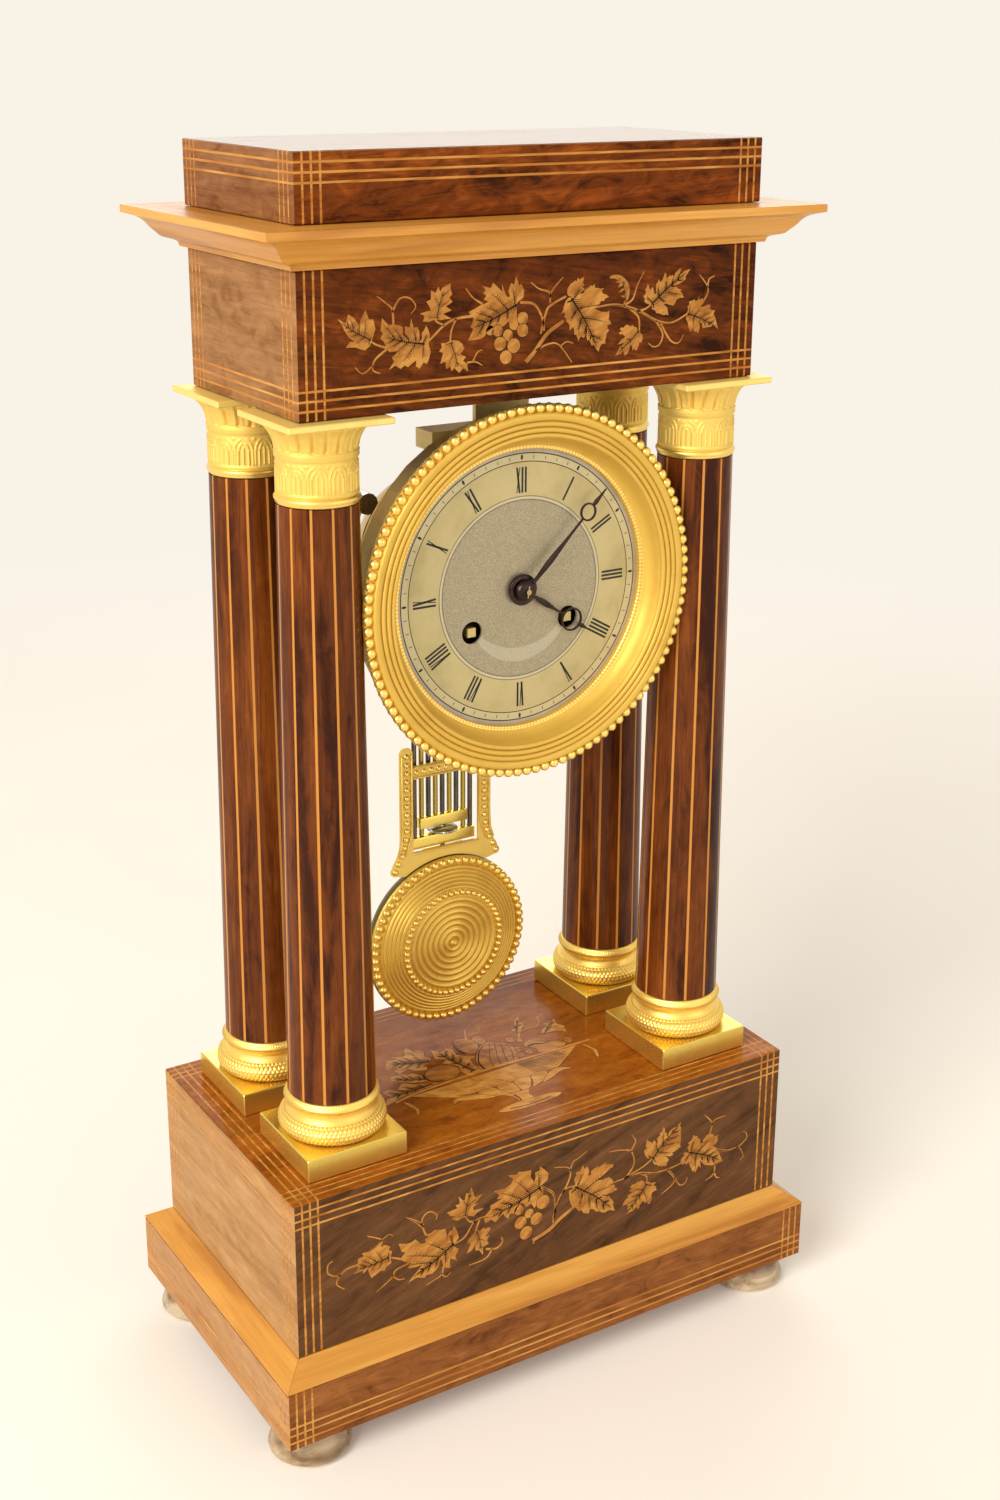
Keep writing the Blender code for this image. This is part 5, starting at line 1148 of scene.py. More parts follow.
feed(inputs, {
    "Base Color": tone, "Roughness": remap(centre_grain, 0.3, 0.7, 0.40, 0.52),
    "Normal": bump(centre_grain * 0.12 - larger(lines, fine_lines), 0.5, 0.12 * MM),
})

black_wax, tree, inputs = new_material("black_wax", Specular_IOR_Level=0.4)
worn = remap(noise(surface(tree)["Object"], 900.0, 3.0), 0.55, 0.72)
feed(inputs, {"Base Color": blend(worn, *colours((24, 19, 14), (54, 45, 32))),
              "Roughness": remap(worn, 0.0, 1.0, 0.35, 0.6)})
print("dial finishes ready")

# %% Dial plate
DIAL_RADIUS = 56.0 * MM
DIAL_THICKNESS = 1.0 * MM
DIAL_FEET_AT = 44.0 * MM
WINDING_HOLES = ((22.0 * MM, -14.5 * MM), (-22.0 * MM, -14.5 * MM))

outlines = [ring_points(DIAL_RADIUS, 128), ring_points(4.2 * MM, 32)]
outlines += [ring_points(4.5 * MM, 40, hole) for hole in WINDING_HOLES]
work = facing_piece(flat_shape(outlines, -DIAL_THICKNESS, 0.0), dial_front_y)
feet_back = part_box("dial")[1].y
for angle in (90, 215, 325):
    x = DIAL_FEET_AT * math.cos(math.radians(angle))
    z = DIAL_Z + DIAL_FEET_AT * math.sin(math.radians(angle))
    work = gathered(work, pin(1.2 * MM, (x, dial_front_y + DIAL_THICKNESS, z), (x, feet_back, z), 16))
finished(work, "dial_plate", silvered, "clock_case", ["dial"])
print("dial plate", 2 * DIAL_RADIUS / MM, "mm across")

# %% Dial figures
FIGURE_FOOT = 38.0 * MM
FIGURE_HEAD = 48.0 * MM
THICK = 0.85 * MM
THIN = 0.38 * MM
STROKES = {
    "I": ([(0.0, 0.0, THICK)], 1.5 * MM),
    "V": ([(-0.62 * MM, 0.0, THICK), (0.62 * MM, 0.06 * MM, THIN)], 2.1 * MM),
    "X": ([(-0.62 * MM, 0.62 * MM, THICK), (0.62 * MM, -0.62 * MM, THIN)], 2.2 * MM),
}
HOURS = ("XII", "I", "II", "III", "IIII", "V", "VI", "VII", "VIII", "IX", "X", "XI")
MINUTE_STROKE = in_mm([(-0.13, 51.0), (0.13, 51.0), (0.13, 52.3), (-0.13, 52.3)])
HOUR_OVAL = in_mm([(0.5 * x, 51.8 + 1.05 * y) for x, y in ring_points(1.0, 14)])
WAX_PROUD = 0.03 * MM
figures = bmesh.new()


def patch(points, clockwise_degrees):
    """A small flat patch on the dial, given upright at twelve and turned into its place."""
    swing = Matrix.Rotation(-math.radians(clockwise_degrees), 2)
    figures.faces.new([figures.verts.new((*(swing @ Vector(point)), 0.0)) for point in points])


for hour, letters in enumerate(HOURS):
    start = -sum(STROKES[letter][1] for letter in letters) / 2
    for letter in letters:
        strokes, advance = STROKES[letter]
        middle = start + advance / 2
        for head, foot, width in strokes:
            half = width / 2
            patch([(middle + foot - half, FIGURE_FOOT), (middle + foot + half, FIGURE_FOOT),
                   (middle + head + half, FIGURE_HEAD), (middle + head - half, FIGURE_HEAD)], 30 * hour)
        start += advance
for minute in range(60):
    patch(MINUTE_STROKE if minute % 5 else HOUR_OVAL, 6 * minute)
figures = facing_piece(thickened(figures, 0.0, WAX_PROUD), dial_front_y)
finished(figures, "dial_figures", black_wax, "clock_case")
print("twelve numerals and sixty minute marks")

# %% [markdown]
# ## Hands
# The hands were filed from sheet steel and blued, which has aged to brown. Each is a tapering leaf stem, a
# ring and a pointed tip on a hub, so each is cut as three flat outlines that overlap under the ring, with
# their edges rounded. The minute hand's collet is a small dome, held by a pin through the arbor.

# %% Hands
HAND_THICKNESS = 0.8 * MM
HAND_GAP = 0.6 * MM
OVERLAP = 0.4 * MM
RING_WIDTH = 0.75 * MM
STEM_WIDTHS = ((0.0, 0.75), (0.12, 0.95), (0.25, 1.30), (0.36, 1.40), (0.5, 1.10), (0.7, 0.62), (0.88, 0.45),
               (1.0, 0.5))
TIP_WIDTHS = ((0.0, 0.55), (0.22, 1.0), (0.55, 0.55), (1.0, 0.12))


def blade(widths, start, end, waist, pieces):
    """A flat blade from a start to an end, from its half widths along the way."""
    side = smooth_line([(waist * width, start + (end - start) * share) for share, width in widths], pieces)
    return flat_shape([side + [(-x, y) for x, y in reversed(side)]], -HAND_THICKNESS / 2, HAND_THICKNESS / 2)


def hand(name, length, ring_at, ring_radius, stem_start, waist, angle, plane_y, hub, node_name, body):
    """A ring-tipped hand turned clockwise from twelve."""
    rings = [ring_points(radius, 40, (0.0, ring_at)) for radius in (ring_radius, ring_radius - RING_WIDTH)]
    pieces = (flat_shape(rings, -HAND_THICKNESS / 2, HAND_THICKNESS / 2),
              blade(STEM_WIDTHS, stem_start, ring_at - ring_radius + OVERLAP, waist, 3),
              blade(TIP_WIDTHS, ring_at + ring_radius - OVERLAP, length, waist, 4))
    work = gathered(*[soften(piece, 0.14 * MM, 50.0) for piece in pieces])
    placed_shape(work, stance=Matrix.Rotation(-math.radians(angle), 4, "Z"))
    work = gathered(facing_piece(work, plane_y), hub)
    finished(work, name, blued, body, [node_name], crease=35.0)


boss_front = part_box("hour_hand")[0].y
boss = spun(in_mm([(2.9, 0.0), (5.6, 0.0), (6.1, 0.25), (6.25, 0.8), (6.2, 1.4), (5.8, 1.8), (5.3, 1.9),
                   (2.9, 1.9)]), 48, closed=True)
hand("hour_hand_blued", 37.4 * MM, 27.2 * MM, 4.8 * MM, 5.6 * MM, 0.9 * MM, 123.75,
     boss_front + HAND_THICKNESS / 2, facing_piece(boss, dial_front_y - HAND_GAP), "hour_hand", "hour_train")

collet_back = boss_front - HAND_GAP
dome = spun(in_mm([(1.4, 2.6), (1.9, 2.6), (2.9, 2.35), (3.8, 1.8), (4.3, 1.0), (4.45, 0.3), (4.2, 0.0),
                   (1.4, 0.0)]), 48, closed=True)
hand("minute_hand_blued", 51.5 * MM, 39.7 * MM, 3.7 * MM, 4.0 * MM, 0.85 * MM, 45.0,
     collet_back - 1.3 * MM, facing_piece(dome, collet_back), "minute_hand", "minute_train")
PIN_LEAN = math.radians(8)
pin_middle = Vector((0.0, collet_back - 2.75 * MM, DIAL_Z))
pin_reach = Vector((math.sin(PIN_LEAN), 0.0, math.cos(PIN_LEAN))) * 2.4 * MM
work = pin(0.32 * MM, pin_middle - pin_reach, pin_middle + pin_reach, 12, 0.1 * MM)
finished(work, "minute_hand_pin", steel, "minute_train")
print("hands in place, with a domed collet and a pin")

# %% [markdown]
# ## Gridiron pendulum
# Nine rods hang in three nested grids. Steel and brass rods take turns, because brass grows more with heat
# and is set to push the bob back up. Each rod is a spun pin and each bar a block with broken edges; the rods'
# places come from the bars' boxes, so they stay with the solids that swing.

# %% Gridiron
ROD_PITCH = 3.44 * MM
ROD_RADIUS = 1.1 * MM
PENDULUM_Y = 28.5 * MM
BAR_HALF_DEPTH = 1.8 * MM
BAR_OVERHANG = 1.5 * MM
TOP_BAR = 4.0 * MM
OUTER_FOOT_BAR = 5.1 * MM
MIDDLE_FOOT_BAR = 5.0 * MM
SLIP = 0.3 * MM
outer_low, outer_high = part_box("gridiron_outer")
middle_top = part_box("gridiron_middle")[1].z
inner_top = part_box("gridiron_inner")[1].z
outer_top = middle_top + 7.0 * MM
outer_foot_top = outer_low.z + OUTER_FOOT_BAR
middle_foot_low = outer_foot_top + 3.6 * MM
middle_foot_top = middle_foot_low + MIDDLE_FOOT_BAR


def grid_bar(pitches, bottom, height):
    """A bar that reaches over a number of rod pitches to each side."""
    reach = pitches * ROD_PITCH + BAR_OVERHANG
    return block((-reach, PENDULUM_Y - BAR_HALF_DEPTH, bottom),
                 (reach, PENDULUM_Y + BAR_HALF_DEPTH, bottom + height), 0.3 * MM)


def rod(x, bottom, top, radius=ROD_RADIUS, steps=16):
    return pin(radius, (x, PENDULUM_Y, bottom), (x, PENDULUM_Y, top), steps)


def grid_rods(indexes, bottom, top):
    return [rod(index * ROD_PITCH, bottom, top - MM) for index in indexes]


grid_bars = (
    ("outer_grid_bars", "gridiron_outer", [grid_bar(4, outer_low.z, OUTER_FOOT_BAR),
                                           grid_bar(4, outer_top - TOP_BAR, TOP_BAR)]),
    ("middle_grid_bars", "gridiron_middle", [grid_bar(3, middle_foot_low, MIDDLE_FOOT_BAR),
                                             grid_bar(3, middle_top - TOP_BAR, TOP_BAR)]),
    ("inner_grid_bar", "gridiron_inner", [grid_bar(1, inner_top - TOP_BAR, TOP_BAR)]),
)
grid_sets = (
    ("outer_grid_rods", rod_steel, "steel", [*grid_rods((-4, 4), outer_foot_top - MM, outer_top),
                                             rod(0.0, outer_top - MM, outer_high.z, 1.5 * MM, 20)]),
    ("middle_grid_brass", rod_brass, "brass", grid_rods((-3, 3), outer_foot_top + SLIP, middle_top)),
    ("middle_grid_steel", rod_steel, "steel", grid_rods((-2, 2), middle_foot_top - MM, middle_top)),
    ("inner_grid_brass", rod_brass, "brass", grid_rods((-1, 1), middle_foot_top + SLIP, inner_top)),
    ("inner_grid_steel", rod_steel, "steel", grid_rods((0,), middle_foot_top + SLIP, inner_top)),
)
for name, node_name, bars in grid_bars:
    finished(gathered(*bars), name, brass, "pendulum", [node_name])
for name, finish, slot, rods in grid_sets:
    finished(gathered(*rods), name, finish, "pendulum")
print("nine rods,", round((inner_top - middle_foot_top) / MM), "mm between the inner bars")

# %% [markdown]
# ## Bob
# The bob is a dished turning of gilt brass over lead: an outer row of beads, six reeds on the slope, an inner
# row of beads and rings round a button. Only the outline needs care, and the lathe does the rest: a wave is
# added to a straight slope for the reeds, and a second one to the middle for the rings.

# %% Bob
BOB_RADIUS = 38.5 * MM
bob_low, bob_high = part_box("pendulum_bob")
BOB_Z = bob_low.z + BOB_RADIUS
RING_WAVES = 7
REEDS = 6
THREAD_STEP = 0.25 * MM
STUD_FOOT = BOB_Z + 40.7 * MM


def waved(start, end, waves, height, steps_each=8):
    """A straight outline between two points with round ridges on it."""
    shares = [k / (waves * steps_each) for k in range(waves * steps_each + 1)]
    return [(start[0] + (end[0] - start[0]) * share,
             start[1] + (end[1] - start[1]) * share + height * abs(math.sin(math.pi * share * waves)))
            for share in shares]


def on_bob(work):
    return facing_piece(work, PENDULUM_Y, z=BOB_Z)


BOB_OUTLINE = in_mm(
    [(0.0, 11.3)] + arc((0.0, 9.3), 2.0, 90, 8, 6)[1:] + waved((2.0, 9.5), (21.6, 9.9), RING_WAVES, 0.75)
    + [(22.1, 9.5), (24.6, 9.4)] + waved((25.0, 8.9), (34.6, 5.3), REEDS, 0.5)
    + [(34.9, 4.9), (37.4, 5.0), (38.1, 4.6), (38.4, 3.8)]
)
RIM_OUTLINE = in_mm([(38.3, 3.9), (38.5, 3.0), (38.5, 1.9), (37.6, -0.6), (36.2, -2.6), (34.0, -5.5),
                     (33.0, -6.0), (0.0, -6.0)])
finished(on_bob(spun(BOB_OUTLINE, 128)), "bob_face", gilt_deep, "bob", ["pendulum_bob"], 60.0)
finished(on_bob(spun(RIM_OUTLINE, 96)), "bob_back", dark_bronze, "bob")
work = gathered(seated_beads(61, 36.6 * MM, 1.86 * MM, 5.1 * MM),
                seated_beads(50, 23.4 * MM, 1.45 * MM, 9.6 * MM))
finished(on_bob(work), "bob_beads", gilt_bright, "bob", crease=180.0)
tab = block((-10.0 * MM, PENDULUM_Y - 1.8 * MM, BOB_Z + 33.9 * MM),
            (10.0 * MM, PENDULUM_Y + 0.5 * MM, BOB_Z + 43.0 * MM), 0.3 * MM)
finished(tab, "bob_tab", brass, "bob")
half_turns = int((bob_high.z - STUD_FOOT) / THREAD_STEP)
thread = [(0.0, 0.0)] + [(1.2 * MM if k % 2 else 0.95 * MM, THREAD_STEP * k) for k in range(half_turns)]
thread.append((0.0, thread[-1][1]))
stud = placed_shape(spun(thread, 16), (0.0, PENDULUM_Y, STUD_FOOT))
finished(stud, "bob_stud", steel, "bob", crease=60.0)
print("bob", 2 * BOB_RADIUS / MM, "mm across, centre", round(BOB_Z, 4), "m up")

# %% [markdown]
# ## Frame over the gridiron
# A pierced gilt frame stands on the bob: two bars with rounded heads and flared feet, a crossbar, and a web
# with a matted ground. The bars have a row of small beads between two raised edges. The plate is cut from
# one outline, the raised edges are a thin sweep that follows the bars, and the beads sit between them.

# %% Frame plate
FRAME_THICKNESS = 1.2 * MM
BAR_MIDDLE = 19.2
BAR_HALF = 3.1
HEAD_RISE = 91.7
WINDOW_HALF = 16.1
frame_low, frame_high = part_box("pendulum_frame")
frame_front = (frame_low.y + frame_high.y - FRAME_THICKNESS) / 2


def mirrored(points, side):
    return [(side * x, y) for x, y in points]


WINDOW = [(-WINDOW_HALF, 43.4), (WINDOW_HALF, 43.4), (WINDOW_HALF, 76.9), (-WINDOW_HALF, 76.9)]
RIGHT_SIDE = (
    arc((0.0, 0.0), 38.8, 90, 58.8, 8) + arc((25.0, 36.2), 2.0, -100, 50, 8)
    + smooth_line([(25.6, 39.6), (23.6, 43.2), (22.5, 47.6), (22.3, 52.0)], 4)
    + arc((BAR_MIDDLE, HEAD_RISE - BAR_HALF), BAR_HALF, 0, 180, 14) + [(WINDOW_HALF, 82.8)]
)
frame_outline = RIGHT_SIDE + mirrored(reversed(RIGHT_SIDE[1:]), -1)
plate = flat_shape([in_mm(frame_outline), in_mm(WINDOW)], -FRAME_THICKNESS, 0.0)
plate = facing_piece(soften(plate, 0.15 * MM, 60.0, 1), frame_front, z=BOB_Z)
finished(plate, "frame_plate", gilt, "bob", ["pendulum_frame"])


def bead_path(points, pitch, bead_radius):
    """Small beads at an even pitch along a line, on the plane Z = 0."""
    work = bmesh.new()
    run = 0.0
    for start, end in zip(points, points[1:]):
        start, end = Vector(start), Vector(end)
        length = (end - start).length
        while run <= length:
            add_bead(work, start.lerp(end, run / length).to_3d(), bead_radius, 0.8)
            run += pitch
        run -= length
    return cut_below(work, -0.3 * bead_radius)


def edge_strip(points, half_width, height):
    """A low raised strip along a line, with a sloping top; its line is in millimetres."""
    line = [Vector(point) for point in in_mm(points)]
    left, right = [], []
    for before, at, after in zip(line[:1] + line, line, line[1:] + line[-1:]):
        across = Vector((before.y - after.y, after.x - before.x)).normalized() * half_width
        left.append(tuple(at + across))
        right.append(tuple(at - across))
    return soften(flat_shape([left + right[::-1]], 0.0, height), height * 0.45, 50.0, 1)


FOOT_LINE = [(25.2, 36.4), (24.0, 39.0), (21.9, 43.0), (20.3, 47.6), (19.4, 52.0), (19.2, 57.0), (19.2, 88.4)]
EDGE_SHIFT = 2.35
beads = []
strips = []
for side in (1, -1):
    beads.append(bead_path(in_mm(mirrored(FOOT_LINE, side)), 3.75 * MM, 1.4 * MM))
    for shift in (-EDGE_SHIFT, EDGE_SHIFT):
        edge = [(x + shift * (0.75 if y < 50 else 1.0), y) for x, y in FOOT_LINE[2:-1]]
        edge.append((BAR_MIDDLE + shift, 88.6))
        strips.append(edge_strip(mirrored(edge, side), 0.5 * MM, 0.8 * MM))
beads.append(bead_path(in_mm([(-14.4, 79.85), (14.5, 79.85)]), 3.6 * MM, 1.3 * MM))
for reach, rise, height in ((16.4, 77.5, 0.75), (16.4, 82.2, 0.75), (16.6, 43.0, 0.7)):
    strips.append(edge_strip([(-reach, rise), (0.0, rise), (reach, rise)], 0.45 * MM, height * MM))
edges = facing_piece(gathered(*strips), frame_front, z=BOB_Z)
finished(edges, "frame_edges", gilt, "bob")
beads = facing_piece(gathered(*beads), frame_front, z=BOB_Z)
finished(beads, "frame_beads", gilt_bright, "bob", crease=180.0)
print("frame with", len(strips), "raised edges")

# %% Rating nut
NUT_KNURLS = 48
NUT_RADIUS = 6.75
NUT_OUTLINE = in_mm([(1.5, 2.6), (3.2, 2.6), (5.4, 2.15), (6.5, 1.75), (NUT_RADIUS, 1.3), (6.5, 0.85),
                     (5.4, 0.45), (3.2, 0.0), (1.5, 0.0)])
work = spun(NUT_OUTLINE, 2 * NUT_KNURLS, closed=True)
for vert in work.verts:
    radius = math.hypot(vert.co.x, vert.co.y)
    step = round((math.atan2(vert.co.y, vert.co.x) / FULL_TURN + 1) * 2 * NUT_KNURLS)
    if radius > 6.2 * MM and step % 2:
        pushed_out(vert, radius, -0.035 * radius)
work = placed_shape(work, (0.0, PENDULUM_Y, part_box("rating_nut")[0].z))
finished(work, "rating_nut_lens", steel, "rating_nut", ["rating_nut"])
print("rating nut", 2 * NUT_RADIUS, "mm across")

# %% [markdown]
# ## Marquetry
# Vine sprays run over frieze and base, and a bowl of fruit lies on the base's top. The pieces were sawn from
# pale wood and laid into the veneer, and their veins were engraved and filled. A mask in the material would
# blur such fine points, so leaves and stems are thin plates, a hair proud of the face. The veins are worked
# out for each leaf, from its midrib to its edge. Outlines are in millimetres: across, and over the table.

# %% Inlaying
SUNK = 0.05 * MM
LEAF_RISE = 0.05 * MM
STEM_RISE = 0.035 * MM
TWIG_RISE = 0.07 * MM
VEIN_RISE = 0.1 * MM


def inlay_wood(name, *tones, figure=220.0):
    made, tree, inputs = new_material(name, Specular_IOR_Level=0.1, Coat_Weight=0.05, Coat_Roughness=0.2)
    across_grain = stretch(surface(tree)["Object"], (1.0, 1.0, 1.0), (0.0, 0.5, 0.3))
    grain = wood(across_grain, colours(*tones), figure, 0.2, 0.25, 0.15)
    feed(inputs, {"Base Color": grain["Color"], **wood_skin(grain, 0.4, 0.55, 0.08, 0.08 * MM)})
    return made


box_wood = inlay_wood("boxwood_inlay", (164, 104, 40), (188, 127, 55), (206, 146, 69))
pear_wood = inlay_wood("pearwood_inlay", (184, 120, 44), (212, 146, 60), (226, 164, 78))
plum_wood = inlay_wood("plumwood_inlay", (158, 98, 34), (188, 122, 46), (206, 142, 60))
engraving = inlay_wood("engraving_black", (40, 20, 8), (62, 33, 14), (84, 48, 22), figure=600.0)


def inlay(outline, rise=LEAF_RISE):
    """One inlaid plate from an outline in millimetres."""
    return flat_shape([in_mm(outline)], -SUNK, rise)


def rounded(points, pieces=4):
    """A closed smooth outline through points."""
    ring = smooth_line([points[-1], *points, points[0], points[1]], pieces)
    return ring[pieces:-pieces - 1]


def crisp(outline, share=0.3):
    """Teeth drawn out: each corner moves away from the middle between its neighbours."""
    ring = [Vector(point) for point in outline]
    neighbours = zip(ring[-1:] + ring[:-1], ring, ring[1:] + ring[:1])
    return [tuple(at + (at - (before + after) / 2) * share) for before, at, after in neighbours]


def grown(outline, by):
    """The outline moved outwards by a distance."""
    ring = [Vector(point) for point in outline]
    neighbours = list(zip(ring[-1:] + ring[:-1], ring, ring[1:] + ring[:1]))
    outward = by if sum(at.cross(after) for _, at, after in neighbours) > 0 else -by
    moved = []
    for before, at, after in neighbours:
        along = (after - before).normalized()
        moved.append(tuple(at + Vector((along.y, -along.x)) * outward))
    return moved


def outlined(outline, rise, line=0.22):
    """A pale plate and the dark plate under it whose rim shows as an engraved outline."""
    return inlay(outline, rise), inlay(grown(outline, line), rise - 0.003 * MM)


def oval(x, y, across, up, steps=24):
    return [(x + across * a, y + up * b) for a, b in ring_points(1.0, steps)]


def ribbon(work, points, width, end_width, pieces=4):
    """A flat strip along points that narrows evenly to its end; all in millimetres."""
    line = [Vector(point) for point in smooth_line(points, pieces)]
    last = len(line) - 1
    rows = []
    for i, point in enumerate(line):
        along = line[min(last, i + 1)] - line[max(0, i - 1)]
        across = Vector((-along.y, along.x)).normalized() * (width + (end_width - width) * i / last) / 2
        rows.append([work.verts.new((*(spot * MM), 0.0)) for spot in (point + across, point - across)])
    for before, after in zip(rows, rows[1:]):
        work.faces.new((before[0], before[1], after[1], after[0]))


def way_out(outline, start, aim):
    """How far it is from a place inside an outline to its edge, along an aim."""
    nearest = 100.0
    for first, second in zip(outline, outline[1:] + outline[:1]):
        side = Vector(second) - Vector(first)
        offset = Vector(first) - start
        slant = aim.cross(side)
        if abs(slant) > 1e-9 and 0.0 <= offset.cross(aim) / slant <= 1.0:
            run = offset.cross(side) / slant
            nearest = run if 0.0 < run < nearest else nearest
    return nearest


VEIN_ANGLES = (108, 70, 52, 45, 40)
HATCHES = 24
SIDE_HATCHES = 6
FULL_LEAF = 22.0


def turned_by(aim, degrees):
    return Matrix.Rotation(math.radians(degrees), 2) @ aim


def veined(work, outline, base, tip):
    """A leaf's engraving: midrib, side veins, and short strokes close to both."""
    base, tip, edge = Vector(base), Vector(tip), list(outline)
    length = (tip - base).length
    axis = (tip - base) / length
    beside = Vector((-axis.y, axis.x))
    fine = min(1.0, length / FULL_LEAF)
    hatches, side_hatches = round(HATCHES * fine), round(SIDE_HATCHES * fine)
    middle = base + axis * length * 0.5 + beside * length * 0.03
    ribbon(work, [base, middle, base + axis * length * 0.94], 0.75 * fine, 0.2 * fine)
    for side in (1, -1):
        for k, angle in enumerate(VEIN_ANGLES):
            if fine < 0.6 and k % 2:
                continue
            lean = turned_by(axis, side * angle)
            start = base + axis * length * (0.04 + 0.17 * k)
            run = 0.8 * way_out(edge, start, lean)
            bend = start + lean * run * 0.5 + axis * run * 0.05
            ribbon(work, [start, bend, start + (lean + axis * 0.14) * run], 0.4 * fine, 0.12 * fine, 3)
            for j in range(side_hatches):
                spot = start + lean * run * (0.15 + 0.7 * j / side_hatches)
                for turn_off in (-38, 38):
                    stroke = turned_by(lean, turn_off)
                    reach = min(0.5 * way_out(edge, spot, stroke), 0.22 * run, 1.3)
                    ribbon(work, [spot, spot + stroke * reach], 0.2 * fine, 0.06 * fine, 1)
        lean = turned_by(axis, side * 50)
        for k in range(hatches):
            start = base + axis * length * (0.02 + 0.88 * k / hatches)
            run = min(0.45 * way_out(edge, start, lean), (0.17 - 0.1 * k / hatches) * length)
            ribbon(work, [start, start + lean * run], 0.34 * fine, 0.08 * fine, 1)


def grapes(places, lines):
    """A bunch laid one over the other: each grape has a dark rim, a pale disc and two strokes of shade."""
    rims, discs = [], []
    for k, (x, y, radius) in enumerate(places):
        disc, rim = outlined(oval(x, y, radius - 0.1, radius - 0.1, 20), LEAF_RISE + 0.006 * MM * k)
        rims.append(rim)
        discs.append(disc)
        for share in (0.78, 0.56):
            ribbon(lines, arc((x, y), radius * share, -60, 20, 3), 0.26 * share, 0.1)
    return rims, discs


print("inlaying helpers ready")

